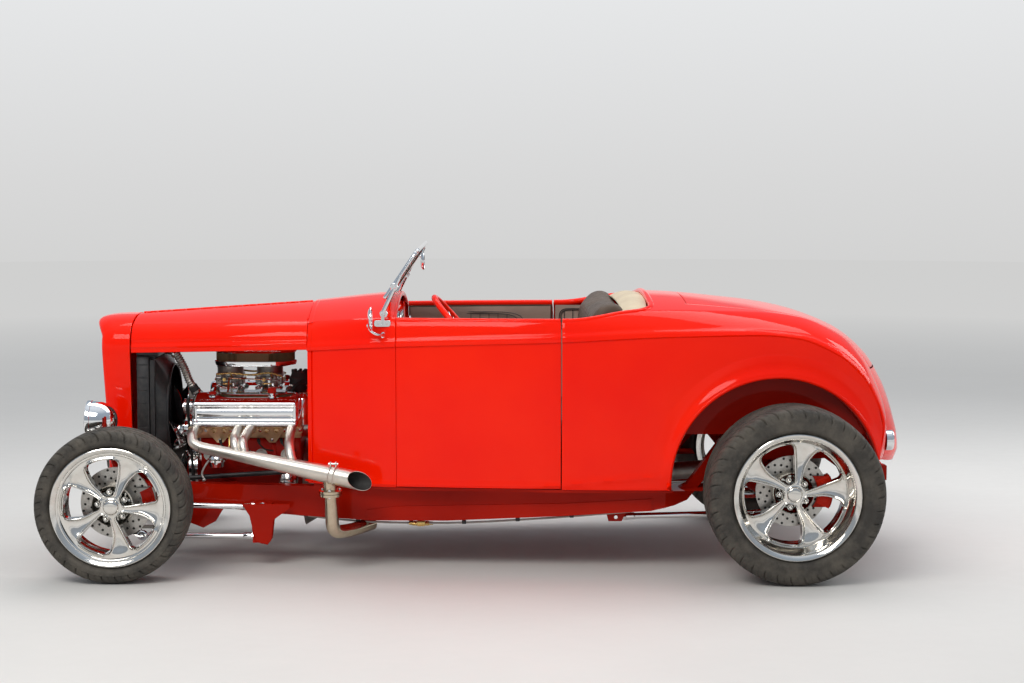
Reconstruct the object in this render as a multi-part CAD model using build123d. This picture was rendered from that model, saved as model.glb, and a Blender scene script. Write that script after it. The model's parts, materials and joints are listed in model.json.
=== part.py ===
from build123d import *
import math
import os

# Open two-seat hot rod on ladder rails, in millimetres, +X rearward, +Y to the car's right, +Z up.
# Stations are measured along X from the front axle, heights from the ground.
# Each finished piece is moved by FRONT_AXLE_X, which puts the origin midway under the car.

# Overall sizes
WHEELBASE = 2692.0
FRONT_TYRE_R = 306.0
FRONT_TYRE_W = 205.0
REAR_TYRE_R = 352.0
REAR_TYRE_W = 265.0
FRONT_HALF_TRACK = 715.0
REAR_HALF_TRACK = 748.0
REAR_OVERHANG = 552.0
FRONT_AXLE_X = (FRONT_TYRE_R - WHEELBASE - REAR_OVERHANG) / 2

# Clearances and common sheet sizes
PANEL_GAP = 5.0
SEAT_GAP = 0.3
RUN_GAP = 1.0
WALL = 50.0
SKIN = 25.0
HOOD_SHEET = 12.0

# Wheels
FRONT_LIP_R = 236.0
FRONT_WHEEL_W = 186.0
FRONT_DISH = 22.0
REAR_LIP_R = 250.0
REAR_WHEEL_W = 246.0
REAR_DISH = 96.0
RIM_WALL = 9.0
LIP_WIDTH = 13.0
SPOKES = 5
SPOKE_THICK = 24.0
WINDOW_SHARE = 0.8
WINDOW_TURN = 10.0
HUB_R = 68.0
CAP_R = 33.0
CAP_H = 16.0
BORE_R = 30.0
STUB_R = 26.0
ROTOR_R = 142.0
ROTOR_T = 12.0
LUG_CIRCLE_R = 57.0
LUG_R = 9.0
HUB_BACK = 70.0
CALIPER_REACH = 22.0
CALIPER_BITE = 40.0
CALIPER_HALF = 24.0
CALIPER_HIGH = 62.0
CALIPER_GAP = 4.0

# Frame
RAIL_TOP = 333.0
RAIL_W = 55.0
FLOOR_T = 12.0
SILL_Z = RAIL_TOP + FLOOR_T
BOLT_BORE_R = 6.5
FRONT_CROSS_HALF = 40.0
FRONT_BORE_Y = 200.0
FRONT_BORE_Z = 292.0
TAIL_CROSS_X = WHEELBASE + 358.0
TAIL_CROSS_HALF = 26.0
TAIL_BORE_Y = 250.0
TAIL_BORE_Z = 388.0
KICK_Z = REAR_TYRE_R + 100.0

# Front axle and steering
KINGPIN_Y = 590.0
ROTOR_FRONT_Y = FRONT_HALF_TRACK - 47.0
ROTOR_REAR_Y = REAR_HALF_TRACK + REAR_WHEEL_W / 2 - REAR_DISH - 90
KINGPIN_R = 11.0
AXLE_Z = 190.0
AXLE_R = 27.0
ARM = 140.0
ARM_PLATE_Z = 188.0
ARM_PLATE_T = 12.0
TIE_Z = 175.0
LINK_R = 9.0
DRAG_Z = 213.0
PITMAN_Z = 228.0
PITMAN_X = 150.0
PITMAN_Y = -262.0
BALL_R = 5.0
BAR_Y = 425.0
BAR_R = 12.0

# Steering wheel
STEER_X = 1383.0
STEER_Z = 959.0
STEER_Y = -330.0
STEER_R = 190.0
STEER_RIM_R = 13.0
STEER_TILT = 40.5
COLUMN_R = 19.0

# Body
COWL_X = 744.0
DOOR_X0 = 1113.0
DOOR_X1 = 1780.0
DOOR_TOP = 1035.0
COCKPIT_END = 2146.0
ARCH_X = WHEELBASE - 52.0
ARCH_Z = REAR_TYRE_R + 23.0
ARCH_R = 425.0
HINGE_OUT = 12.0
COWL_HALF = 440.0
COWL_TOP = 1074.0
DOOR_FRONT_HALF = 566.0
HINGE_R = 8.0
HINGE_PIN_R = 3.5
HINGE_Z = (450.0, 870.0)
HINGE_H = 60.0
LID_X0 = WHEELBASE - 390.0
LID_X1 = WHEELBASE + 416.0
LID_Z1 = 806.0
LID_HALF = 392.0
LID_T = 22.0
LID_HINGE_Z = 1101.0

# Grille shell and hood
SHELL_X1 = -16.0
SHELL_HALF = 256.0
SHELL_FOOT_HALF = 214.0
SHELL_TOP = 1018.0
SHELL_FOOT = 336.0
SHELL_BORDER = 44.0
HOOD_X0 = -10.0
HOOD_HINGE_R = 4.5
HOOD_PIN_R = 2.2
HOOD_SIDE_Z = (872.0, 899.0)

# Engine bay
ENGINE_X0 = 249.0
ENGINE_X1 = 693.0
ENGINE_HALF = 232.0
RADIATOR_HALF = SHELL_HALF - 34.0
TANK_HALF = RADIATOR_HALF + 10.0
SHROUD_HALF = RADIATOR_HALF - 8.0
FAN_R = RADIATOR_HALF - 26.0
FAN_Z = 520.0
DRIVE_Z = 268.0
HEAD_Z = 571.0
COVER_TOP = 674.0
LIGHT_X = -176.0
LIGHT_Y = 405.0
LIGHT_Z = 601.0
LIGHT_R = 84.0

# Body sections: station, height and half width of the sill, half width and height at the belt,
# half width and height at the deck crease, height of the crown
BODY_SECTIONS = [
    (COWL_X, SILL_Z, COWL_HALF - 10, COWL_HALF, 890.0, COWL_HALF - 68, 1010.0, COWL_TOP),
    (DOOR_X0, SILL_Z, 545.0, DOOR_FRONT_HALF, 917.0, 536.0, 1032.0, 1108.0),
    (DOOR_X1, SILL_Z, 615.0, 636.0, 940.0, 596.0, 1044.0, 1116.0),
    (WHEELBASE - 492, SILL_Z, 630.0, 650.0, 960.0, 560.0, 1064.0, 1108.0),
    (WHEELBASE - 132, SILL_Z, 625.0, 638.0, 966.0, 478.0, 1054.0, 1074.0),
    (WHEELBASE + 188, 400.0, 592.0, 602.0, 886.0, 420.0, 968.0, 1000.0),
    (WHEELBASE + 364, 459.0, 546.0, 552.0, 700.0, 396.0, 820.0, 884.0),
    (WHEELBASE + 468, 428.0, 446.0, 450.0, 540.0, 320.0, 640.0, 734.0),
    (WHEELBASE + REAR_OVERHANG, 392.0, 150.0, 152.0, 420.0, 80.0, 450.0, 480.0),
]


def prism(points, direction, amount):
    """A flat outline pushed straight along a direction."""
    outline = Face(Wire.make_polygon([Vector(*point) for point in points], close=True))
    return extrude(outline, amount=amount, dir=direction)


def side_prism(outline, y0, y1):
    """Outline of (x, z) points seen from the side, from y0 to y1."""
    return prism([(x, y0, z) for x, z in outline], (0, 1, 0), y1 - y0)


def plan_prism(outline, z0, z1):
    """Outline of (x, y) points seen from above, from z0 to z1."""
    return prism([(x, y, z0) for x, y in outline], (0, 0, 1), z1 - z0)


def front_prism(outline, x0, x1):
    """Outline of (y, z) points seen from the front, from x0 to x1."""
    return prism([(x0, y, z) for y, z in outline], (1, 0, 0), x1 - x0)


def block(x0, x1, y0, y1, z0, z1):
    """A plain block between two corners."""
    centre = Pos((x0 + x1) / 2, (y0 + y1) / 2, (z0 + z1) / 2)
    return centre * Box(x1 - x0, y1 - y0, z1 - z0)


def rod(start, end, radius):
    """A round bar from start to end."""
    a = Vector(*start)
    b = Vector(*end)
    return Part() + Solid.make_cylinder(radius, (b - a).length, Plane(origin=a, z_dir=b - a))


def cone(start, end, r0, r1):
    """A tapered round bar from start to end."""
    a = Vector(*start)
    b = Vector(*end)
    return Part() + Solid.make_cone(r0, r1, (b - a).length, Plane(origin=a, z_dir=b - a))


def ball(centre, radius):
    """A sphere."""
    return Pos(*centre) * Sphere(radius)


def pipe(points, radius, bend):
    """A round bar along straight runs with bends between them."""
    path = FilletPolyline(*points, radius=bend)
    return sweep(Plane(origin=path @ 0, z_dir=path % 0) * Circle(radius), path=path)


def turned(profile, centre, direction):
    """A profile of (along, radius) points turned about an axis through centre."""
    face = Face(Wire.make_polygon([Vector(radius, 0, along) for along, radius in profile], close=True))
    shape = revolve(face, axis=Axis.Z, revolution_arc=360)
    return Plane(origin=centre, z_dir=direction) * shape


def mirrored(shape):
    """The same shape on the car's other side."""
    return mirror(shape, about=Plane.XZ)


def both(shape):
    """A shape and its twin on the other side."""
    return Part() + shape.solids() + mirrored(shape).solids()


def save(name, shape):
    """Writes one node, moved from stations to the part's own origin."""
    solids = [Pos(FRONT_AXLE_X, 0, 0) * solid for solid in shape.solids()]
    result = solids[0] if len(solids) == 1 else Compound(solids)
    export_step(result, f"parts/{name}.step")


# Body shell

def body_section(row, side_inset, top_inset, station):
    """One closed cross section: sill, two sides, two shoulders and the crown."""
    _, base, sill, belt, z_belt, crease, z_crease, z_crown = row
    sill -= side_inset
    belt -= side_inset
    crease -= side_inset * 0.6
    z_belt -= top_inset * 0.4
    z_crease -= top_inset
    z_crown -= top_inset
    shoulder_y = (belt + crease) / 2 + 0.22 * (belt - crease)
    shoulder_z = (z_belt + z_crease) / 2 + 0.16 * (z_crease - z_belt)

    def p(y, z):
        return (station, y, z)

    bow = (sill + belt) / 2 + 5
    return Wire([
        Edge.make_line(p(-sill, base), p(sill, base)),
        Edge.make_three_point_arc(p(sill, base), p(bow, (base + z_belt) / 2), p(belt, z_belt)),
        Edge.make_three_point_arc(p(belt, z_belt), p(shoulder_y, shoulder_z), p(crease, z_crease)),
        Edge.make_three_point_arc(p(crease, z_crease), p(0, z_crown), p(-crease, z_crease)),
        Edge.make_three_point_arc(p(-crease, z_crease), p(-shoulder_y, shoulder_z), p(-belt, z_belt)),
        Edge.make_three_point_arc(p(-belt, z_belt), p(-bow, (base + z_belt) / 2), p(-sill, base)),
    ])


def body_loft(side_inset, top_inset, front, rear):
    """The body's form, or the space inside it."""
    wires = []
    for row in BODY_SECTIONS:
        station = min(max(row[0], front), rear)
        wires.append(body_section(row, side_inset, top_inset, station))
    return Part() + Solid.make_loft(wires, True)


def lid_outline(grow):
    """Side view of the space that the deck lid fills."""
    slope = math.radians(57)
    out = Vector(math.sin(slope), 0, math.cos(slope))
    down = Vector(math.cos(slope), 0, -math.sin(slope))
    edge = Vector(LID_X1, 0, LID_Z1) + down * grow
    high = edge + out * 420
    low = edge - out * 90
    front = LID_X0 - grow
    return [(front, 960), (front, 1200), (high.X, high.Z), (edge.X, edge.Z), (low.X, low.Z)]


TAIL_X = WHEELBASE + REAR_OVERHANG
FIREWALL_T = 20.0
outer = body_loft(0, 0, COWL_X, TAIL_X)
INNER_X0, INNER_X1 = COWL_X + FIREWALL_T, TAIL_X - 40
inner = body_loft(WALL, SKIN, INNER_X0, INNER_X1)
arch = rod((ARCH_X, -700, ARCH_Z), (ARCH_X, 700, ARCH_Z), ARCH_R)
# Cockpit opening seen from above: station, half width
cockpit_half = [
    (DOOR_X0 - PANEL_GAP, 518), (DOOR_X1, 578), (2060, 566), (COCKPIT_END - 30, 520), (COCKPIT_END, 440),
]
cockpit_plan = [(x, -y) for x, y in cockpit_half] + [(x, y) for x, y in reversed(cockpit_half)]
shell = outer - inner
shell -= plan_prism(cockpit_plan, 880, 1300)
shell -= block(DOOR_X0 - PANEL_GAP, 1930, -700, 700, DOOR_TOP, 1300)
shell -= Pos(0, 0, -60) * (inner & block(INNER_X0, INNER_X1 - 4, -700, 700, SILL_Z - 10, SILL_Z + 80))
shell -= arch


def slab(x0, x1):
    """Everything between two stations."""
    return block(x0, x1, -800, 800, 300, 1400)


hinge_y = -(DOOR_FRONT_HALF + HINGE_OUT)
hinge_leaf = 26.0
hinge_plate = 3.0


def hinge_knuckle(z0, z1, x_side, x_skin):
    """A stretch of hinge barrel on the left side with the leaf that carries it."""
    part = rod((DOOR_X0, hinge_y, z0), (DOOR_X0, hinge_y, z1), HINGE_R)
    x_low, x_high = sorted((DOOR_X0, x_side))
    part += block(x_low, x_high, hinge_y - hinge_plate, hinge_y + hinge_plate, z0, z1)
    x_low, x_high = sorted((x_skin, x_side))
    part += block(x_low, x_high, hinge_y - hinge_plate, hinge_y + HINGE_OUT + 34, z0, z1)
    return part


cowl = (shell & slab(COWL_X, DOOR_X0 - PANEL_GAP)) + (outer & slab(COWL_X, INNER_X0))
for z in HINGE_Z:
    third = HINGE_H / 6
    for low, high in ((-3 * third, -third), (third, 3 * third)):
        ear = hinge_knuckle(z + low, z + high, DOOR_X0 - hinge_leaf, DOOR_X0 - PANEL_GAP - 2)
        cowl = cowl + ear + mirrored(ear)
    pin = rod((DOOR_X0, hinge_y, z - 3 * third), (DOOR_X0, hinge_y, z + 3 * third), HINGE_PIN_R)
    cowl = cowl + pin + mirrored(pin)

door = shell & block(DOOR_X0, DOOR_X1 - 1.5 * PANEL_GAP, -700, 0, SILL_Z + PANEL_GAP, DOOR_TOP + 40)
for z in HINGE_Z:
    reach = HINGE_H / 6 - RUN_GAP
    door += hinge_knuckle(z - reach, z + reach, DOOR_X0 + hinge_leaf, DOOR_X0 + 2)
    door -= rod((DOOR_X0, hinge_y, z - 40), (DOOR_X0, hinge_y, z + 40), HINGE_PIN_R + SEAT_GAP)

rear_body = shell & slab(DOOR_X1, TAIL_X + 56)
rear_body -= side_prism(lid_outline(PANEL_GAP), -LID_HALF - PANEL_GAP, LID_HALF + PANEL_GAP)
lid_skin = outer - body_loft(WALL, LID_T, COWL_X, TAIL_X - 12)
decklid = lid_skin & side_prism(lid_outline(0), -LID_HALF, LID_HALF)

# The deck lid swings on two pins above its front edge
LID_HINGE_Y = 300.0
LID_HINGE_X = LID_X0 - 14.0
LID_EAR = 10.0
for y in (-LID_HINGE_Y, LID_HINGE_Y):
    tongue = rod((LID_HINGE_X, y - LID_EAR, LID_HINGE_Z), (LID_HINGE_X, y + LID_EAR, LID_HINGE_Z), 9)
    tongue += block(LID_HINGE_X, LID_X0 + 30, y - LID_EAR, y + LID_EAR, LID_HINGE_Z - 5, LID_HINGE_Z + 5)
    tongue += block(LID_X0 + 8, LID_X0 + 30, y - LID_EAR, y + LID_EAR, LID_HINGE_Z - 26, LID_HINGE_Z)
    tongue -= rod((LID_HINGE_X, y - 30, LID_HINGE_Z), (LID_HINGE_X, y + 30, LID_HINGE_Z), 4 + SEAT_GAP)
    decklid += tongue
    rear_body += rod((LID_HINGE_X, y - 24, LID_HINGE_Z), (LID_HINGE_X, y + 24, LID_HINGE_Z), 4)
    for side in (-1, 1):
        inner_y = y + side * (LID_EAR + RUN_GAP)
        outer_y = y + side * 24
        low, high = sorted((inner_y, outer_y))
        rear_body += rod((LID_HINGE_X, low, LID_HINGE_Z), (LID_HINGE_X, high, LID_HINGE_Z), 9)
        rear_body += block(LID_HINGE_X - 9, LID_HINGE_X + 5, low, high, LID_HINGE_Z - 40, LID_HINGE_Z)

# Floor pan, trunk floor and wheel tubs
TRUNK_X0 = WHEELBASE - 467
TRUNK_X1 = WHEELBASE + 338
floor_plan = [(INNER_X0, 428), (DOOR_X0, 540), (DOOR_X1, 610), (TRUNK_X0, 622)]
floor_outline = [(x, -y) for x, y in floor_plan] + [(x, y) for x, y in reversed(floor_plan)]
TRUNK_FLOOR_Z = KICK_Z + 108.0
floor_pan = plan_prism(floor_outline, RAIL_TOP, SILL_Z)
floor_pan += block(TRUNK_X0 - FLOOR_T, TRUNK_X0, -500, 500, SILL_Z, TRUNK_FLOOR_Z)
floor_pan += block(TRUNK_X0 - FLOOR_T, TRUNK_X1, -500, 500, TRUNK_FLOOR_Z, TRUNK_FLOOR_Z + FLOOR_T)
TUNNEL_X0 = 1884.0
TUNNEL_HALF = 62.0
TUNNEL_TOP = 412.0
floor_pan += block(TUNNEL_X0, TRUNK_X0, -TUNNEL_HALF, TUNNEL_HALF, RAIL_TOP, TUNNEL_TOP)
TUNNEL_T = 8.0
hollow = TUNNEL_HALF - TUNNEL_T
floor_pan -= block(TUNNEL_X0 + TUNNEL_T, TRUNK_X0 + 1, -hollow, hollow, RAIL_TOP - 1, TUNNEL_TOP - TUNNEL_T)
floor_pan -= block(TUNNEL_X0 - 80, TUNNEL_X0 + TUNNEL_T + 1, -hollow, hollow, RAIL_TOP - 1, SILL_Z + 1)

TUB_INNER = 520.0
TUB_OUTER = 608.0
tub = rod((ARCH_X, -TUB_OUTER, ARCH_Z), (ARCH_X, -TUB_INNER, ARCH_Z), ARCH_R - 1)
tub -= rod((ARCH_X, -TUB_OUTER - 1, ARCH_Z), (ARCH_X, -TUB_INNER - 6, ARCH_Z), ARCH_R - 7)
tub &= block(WHEELBASE - 592, TAIL_X - 44, -700, 0, SILL_Z + 60, 1000)
tub -= block(WHEELBASE - 592, TAIL_X - 44, -TUB_OUTER + 50, 0, 300, TRUNK_FLOOR_Z - 1)
wheel_tubs = both(tub)

# Frame: two rails, the crossmembers and the brackets on them

# Plan of the rail's outer face: station, half width
RAIL_PLAN = [
    (-200, 318), (0, 338), (231, 356), (985, 462), (1762, 548), (WHEELBASE - 492, 566),
    (WHEELBASE - 242, 498), (WHEELBASE + 208, 470), (WHEELBASE + 438, 400),
]
# Side view of the rail: station, underside, top
RAIL_SIDE = [
    (-200, 262, 312), (-110, 252, RAIL_TOP), (0, 250, RAIL_TOP), (231, 248, RAIL_TOP), (567, 217, RAIL_TOP),
    (985, 196, RAIL_TOP), (1314, 201, RAIL_TOP), (1762, 227, RAIL_TOP),
    (WHEELBASE - 547, 251, RAIL_TOP), (WHEELBASE - 454, 272, RAIL_TOP), (WHEELBASE - 402, 292, RAIL_TOP + 26),
    (WHEELBASE - 262, KICK_Z, KICK_Z + 84), (WHEELBASE + 168, KICK_Z, KICK_Z + 84),
    (WHEELBASE + 308, 352, 440), (WHEELBASE + 438, 350, 410),
]
rail_side = [(x, low) for x, low, _ in RAIL_SIDE] + [(x, high) for x, _, high in reversed(RAIL_SIDE)]
rail_plan = [(x, -y) for x, y in RAIL_PLAN] + [(x, RAIL_W - y) for x, y in reversed(RAIL_PLAN)]
rail = side_prism(rail_side, -700, 0) & plan_prism(rail_plan, 150, 700)
strip_plan = [(x, -y - 5) for x, y in RAIL_PLAN[3:6]] + [(x, 5 - y) for x, y in reversed(RAIL_PLAN[3:6])]
strip_low = [(x, low) for x, low, _ in RAIL_SIDE[5:9]]
strip_side = strip_low + [(WHEELBASE - 547, 300), (1802, 280), (1109, 257), (985, 240)]
rail += side_prism(strip_side, -700, 0) & plan_prism(strip_plan, 150, 340)
frame_rails = both(rail)

CROSS_Z = 262.0
DROP_Z = 176.0
cross_front = block(-FRONT_CROSS_HALF, FRONT_CROSS_HALF, -300, 300, CROSS_Z, 322)
front_bore_x = FRONT_CROSS_HALF + 10
for y in (-FRONT_BORE_Y, FRONT_BORE_Y):
    cross_front -= rod((-front_bore_x, y, FRONT_BORE_Z), (front_bore_x, y, FRONT_BORE_Z), BOLT_BORE_R)
mid_half = [(0, 200), (90, 200), (130, 300), (450, 300), (450, 250), (150, 250), (105, DROP_Z), (0, DROP_Z)]
mid_front = mid_half + [(-y, z) for y, z in reversed(mid_half[1:7])]
cross_mid = front_prism(mid_front, 1180, 1250) + block(1190, 1240, -40, 40, 199, 205.7)
cross_rear = block(WHEELBASE - 232, WHEELBASE - 182, -450, 450, KICK_Z, KICK_Z + 60)
cross_shock = block(WHEELBASE + 48, WHEELBASE + 88, -450, 450, KICK_Z + 30, KICK_Z + 70)
tail_x0, tail_x1 = TAIL_CROSS_X - TAIL_CROSS_HALF, TAIL_CROSS_X + TAIL_CROSS_HALF
cross_tail = block(tail_x0, tail_x1, -430, 430, TAIL_BORE_Z - TAIL_CROSS_HALF, TAIL_BORE_Z + TAIL_CROSS_HALF)
cross_tail += block(TAIL_CROSS_X - 30, TAIL_CROSS_X + 30, -50, 50, 354, TAIL_BORE_Z)
for y in (-TAIL_BORE_Y, TAIL_BORE_Y):
    cross_tail -= rod((tail_x0 - 10, y, TAIL_BORE_Z), (tail_x1 + 10, y, TAIL_BORE_Z), BOLT_BORE_R)
crossmembers = Part() + [cross_front, cross_mid, cross_rear, cross_shock, cross_tail]
crossmembers -= frame_rails

# Front axle: a dropped tube with eyes for the kingpins, and the plates that the locating bars hold
HUB_Z = FRONT_TYRE_R
EYE_HALF = 42.0
axle_path = [
    (0, 20 - KINGPIN_Y, HUB_Z), (0, 70 - KINGPIN_Y, HUB_Z - 6), (0, 120 - KINGPIN_Y, AXLE_Z),
    (0, KINGPIN_Y - 120, AXLE_Z), (0, KINGPIN_Y - 70, HUB_Z - 6), (0, KINGPIN_Y - 20, HUB_Z),
]
front_axle = pipe(axle_path, AXLE_R, 60)
for side in (-1, 1):
    boss = rod((0, side * KINGPIN_Y, HUB_Z - EYE_HALF), (0, side * KINGPIN_Y, HUB_Z + EYE_HALF), 25)
    plate_y = side * BAR_Y
    plate = side_prism([(-26, AXLE_Z - 34), (52, AXLE_Z - 74), (66, AXLE_Z - 60), (30, AXLE_Z),
                        (66, AXLE_Z + 68), (52, AXLE_Z + 82), (-26, AXLE_Z + 34)], plate_y - 6, plate_y + 6)
    front_axle = front_axle + boss + plate
for side in (-1, 1):
    y = side * KINGPIN_Y
    front_axle -= rod((0, y, HUB_Z - 106), (0, y, HUB_Z + 114), KINGPIN_R + SEAT_GAP)
    for z in (AXLE_Z + 68, AXLE_Z - 62):
        front_axle -= rod((56, side * BAR_Y - 20, z), (56, side * BAR_Y + 20, z), 5 + SEAT_GAP)

# Transverse spring: stacked leaves, each shorter and flatter than the one below
SPRING_LEAVES = 5
LEAF_T = 7.0
LEAF_W = 45.0
SPRING_REACH = 400.0
SPRING_DROP = 5.0
front_spring = Part()
for number in range(SPRING_LEAVES):
    share = 1 - number / (SPRING_LEAVES + 1)
    reach = SPRING_REACH * share
    drop = SPRING_DROP * share ** 2
    z = 262 - (SPRING_LEAVES - number) * LEAF_T
    leaf = [(-reach, z - drop), (0, z), (reach, z - drop), (reach, z - drop + LEAF_T), (0, z + LEAF_T),
            (-reach, z - drop + LEAF_T)]
    front_spring += front_prism(leaf, -LEAF_W / 2, LEAF_W / 2)
shackle_z = 262 - SPRING_LEAVES * LEAF_T - SPRING_DROP
for side in (-1, 1):
    y = side * (SPRING_REACH + 6)
    front_spring += rod((-30, y, shackle_z + 4), (30, y, shackle_z + 4), 7.5)
    for x in (-AXLE_R - 4, AXLE_R + SEAT_GAP):
        front_spring += block(x, x + 4 - SEAT_GAP, y - 9, y + 9, AXLE_Z - 6, shackle_z + 12)

front_radius_rods = Part()
for side in (-1, 1):
    y = side * BAR_Y
    for z0, z1 in ((AXLE_Z + 68, 246), (AXLE_Z - 62, 124)):
        bar = rod((84, y, z0), (520, y, z1), BAR_R)
        bar += rod((60, y, z0), (84, y, z0), BAR_R - 2) + rod((520, y, z1), (544, y, z1), BAR_R - 2)
        bar += rod((56, y - 12, z0), (56, y + 12, z0), 17)
        bar -= block(0, 76, y - 6 - SEAT_GAP, y + 6 + SEAT_GAP, z0 - 40, z0 + 40)
        bar += rod((56, y - 12, z0), (56, y + 12, z0), 5)
        bar += rod((552, y - 12, z1), (552, y + 12, z1), 17)
        front_radius_rods += bar

# Steering: knuckles with arms, tie rod, pitman arm and drag link. Every arm points straight
# back by the same length, so the three of them stay parallel at any angle.


def caliper_solid(x, y, z):
    """Brake caliper behind the rotor whose centre this is, open for the rotor's edge."""
    reach = ROTOR_R + CALIPER_REACH
    part = rod((x, y - CALIPER_HALF, z), (x, y + CALIPER_HALF, z), reach)
    part -= rod((x, y - CALIPER_HALF - 6, z), (x, y + CALIPER_HALF + 6, z), ROTOR_R - CALIPER_BITE)
    part &= block(x + 60, x + 200, y - 40, y + 40, z - CALIPER_HIGH, z + CALIPER_HIGH)
    slot_half = ROTOR_T / 2 + CALIPER_GAP
    return part - rod((x, y - slot_half, z), (x, y + slot_half, z), ROTOR_R + 5)


def knuckle(side):
    """Kingpin, stub axle, brake caliper and steering arm of one front wheel."""
    y = side * KINGPIN_Y
    part = rod((0, y, HUB_Z - 66), (0, y, HUB_Z + 66), KINGPIN_R)
    for low, high in ((HUB_Z - 66, HUB_Z - 43), (HUB_Z + 43, HUB_Z + 66)):
        part += rod((0, y, low), (0, y, high), 22)
        part += block(-18, 18, *sorted((y, y + side * 34)), low, high)
    part += block(-26, 26, *sorted((y + side * 28, y + side * 44)), HUB_Z - 66, HUB_Z + 66)
    part += rod((0, y + side * 40, HUB_Z), (0, side * (FRONT_HALF_TRACK + 40), HUB_Z), STUB_R)
    part += block(-16, 16, y - 14, y + 14, ARM_PLATE_Z, HUB_Z - 60)
    part += block(0, ARM, y - 9, y + 9, ARM_PLATE_Z, ARM_PLATE_Z + ARM_PLATE_T)
    part += rod((ARM, y, ARM_PLATE_Z), (ARM, y, ARM_PLATE_Z + ARM_PLATE_T), 14)
    part -= rod((ARM, y, 100), (ARM, y, 300), BALL_R + SEAT_GAP)
    rotor_y = side * ROTOR_FRONT_Y
    bridge_y = sorted((y + side * 30, rotor_y - side * 12))
    part += block(18, 120, *bridge_y, HUB_Z - 22, HUB_Z + 22)
    return part + caliper_solid(0, rotor_y, HUB_Z)


left_knuckle = knuckle(-1)
right_knuckle = knuckle(1)

tie_rod = rod((ARM, -KINGPIN_Y, TIE_Z), (ARM, KINGPIN_Y, TIE_Z), LINK_R)
for side in (-1, 1):
    tie_rod += rod((ARM, side * KINGPIN_Y, TIE_Z - 11), (ARM, side * KINGPIN_Y, TIE_Z + 11), 14)
    tie_rod += rod((ARM, side * KINGPIN_Y, TIE_Z), (ARM, side * KINGPIN_Y, ARM_PLATE_Z + 9), BALL_R)

PITMAN_T = 10.0
pitman_end = PITMAN_X + ARM
pitman_arm = block(PITMAN_X, pitman_end, PITMAN_Y - 11, PITMAN_Y + 11, PITMAN_Z, PITMAN_Z + PITMAN_T)
pitman_arm += rod((PITMAN_X, PITMAN_Y, PITMAN_Z), (PITMAN_X, PITMAN_Y, PITMAN_Z + PITMAN_T), 20)
pitman_arm += rod((pitman_end, PITMAN_Y, PITMAN_Z), (pitman_end, PITMAN_Y, PITMAN_Z + PITMAN_T), 15)
pitman_arm += rod((PITMAN_X, PITMAN_Y, PITMAN_Z), (PITMAN_X, PITMAN_Y, 290), 13)
pitman_arm -= rod((pitman_end, PITMAN_Y, 100), (pitman_end, PITMAN_Y, 300), BALL_R + SEAT_GAP)

drag_link = rod((pitman_end, PITMAN_Y, DRAG_Z), (ARM, KINGPIN_Y, DRAG_Z), LINK_R)
drag_link += rod((pitman_end, PITMAN_Y, DRAG_Z - 10), (pitman_end, PITMAN_Y, DRAG_Z + 10), 13)
drag_link += rod((pitman_end, PITMAN_Y, DRAG_Z), (pitman_end, PITMAN_Y, PITMAN_Z + 8), BALL_R)
drag_link += rod((ARM, KINGPIN_Y, DRAG_Z - 10), (ARM, KINGPIN_Y, DRAG_Z + 10), 13)

steer_box_z = 274.0
steering_box = block(110, 200, PITMAN_Y - 12, PITMAN_Y + 38, steer_box_z, 372)
steering_box -= rod((PITMAN_X, PITMAN_Y, 200), (PITMAN_X, PITMAN_Y, 296), 13 + SEAT_GAP)

tilt = math.radians(STEER_TILT)
wheel_axis = Vector(math.cos(tilt), 0, math.sin(tilt))
wheel_centre = Vector(STEER_X, STEER_Y, STEER_Z)


def on_column(distance, radius=0.0):
    """A point down the steering column from the wheel's centre."""
    point = wheel_centre - wheel_axis * distance
    return (point.X, point.Y, point.Z)


firewall_reach = (STEER_X - COWL_X + 14) / wheel_axis.X
steering_column = rod(on_column(70), on_column(firewall_reach - 40), COLUMN_R + 6)
steering_column -= rod(on_column(60), on_column(200), COLUMN_R - 4 + SEAT_GAP)
joint_point = on_column(firewall_reach + 30)
steering_column += rod(on_column(firewall_reach - 44), joint_point, 10)
steering_column += ball(joint_point, 17)
steering_column += rod(joint_point, (205, PITMAN_Y, 340), 10)
steering_column += block(200, 206, PITMAN_Y - 12, PITMAN_Y + 12, 328, 352)
steering_column += steering_box

wheel_plane = Plane(origin=wheel_centre, z_dir=wheel_axis)
steering_wheel = wheel_plane * Torus(STEER_R, STEER_RIM_R)
steering_wheel += wheel_plane * Pos(0, 0, -30) * Cylinder(34, 36)
for turn in (0, 120, 240):
    spoke = Pos(STEER_R / 2 + 8, 0, -16) * Rot(0, -8, 0) * Box(STEER_R - 30, 26, 7)
    steering_wheel += wheel_plane * Rot(0, 0, turn + 90) * spoke
steering_wheel += rod(on_column(30), on_column(180), COLUMN_R - 4)

# Wheels, tyres and brake rotors


# Corners of a wheel window: share of its outer radius, angle from the window's middle, fillet
WINDOW_CORNERS = [
    (0.23, 22.0, 13.0), (0.23, -25.0, 13.0), (0.6, -24.5, 90.0), (0.985, -20.0, 20.0), (1.02, 0.0, 90.0),
    (0.985, 21.0, 24.0), (0.6, 28.5, 90.0),
]


def window_outline(outer_r, grow):
    """One window of the wheel, in the plane of the wheel, wrapped round its lug nut at the inner end."""
    points = []
    radii = []
    for share, degrees, radius in WINDOW_CORNERS:
        angle = math.radians(degrees)
        points.append((outer_r * share * math.cos(angle), outer_r * share * math.sin(angle)))
        radii.append(radius)
    outline = FilletPolyline(*points, radius=radii, close=True)
    return offset(make_face(outline), amount=grow) if grow else make_face(outline)


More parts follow.
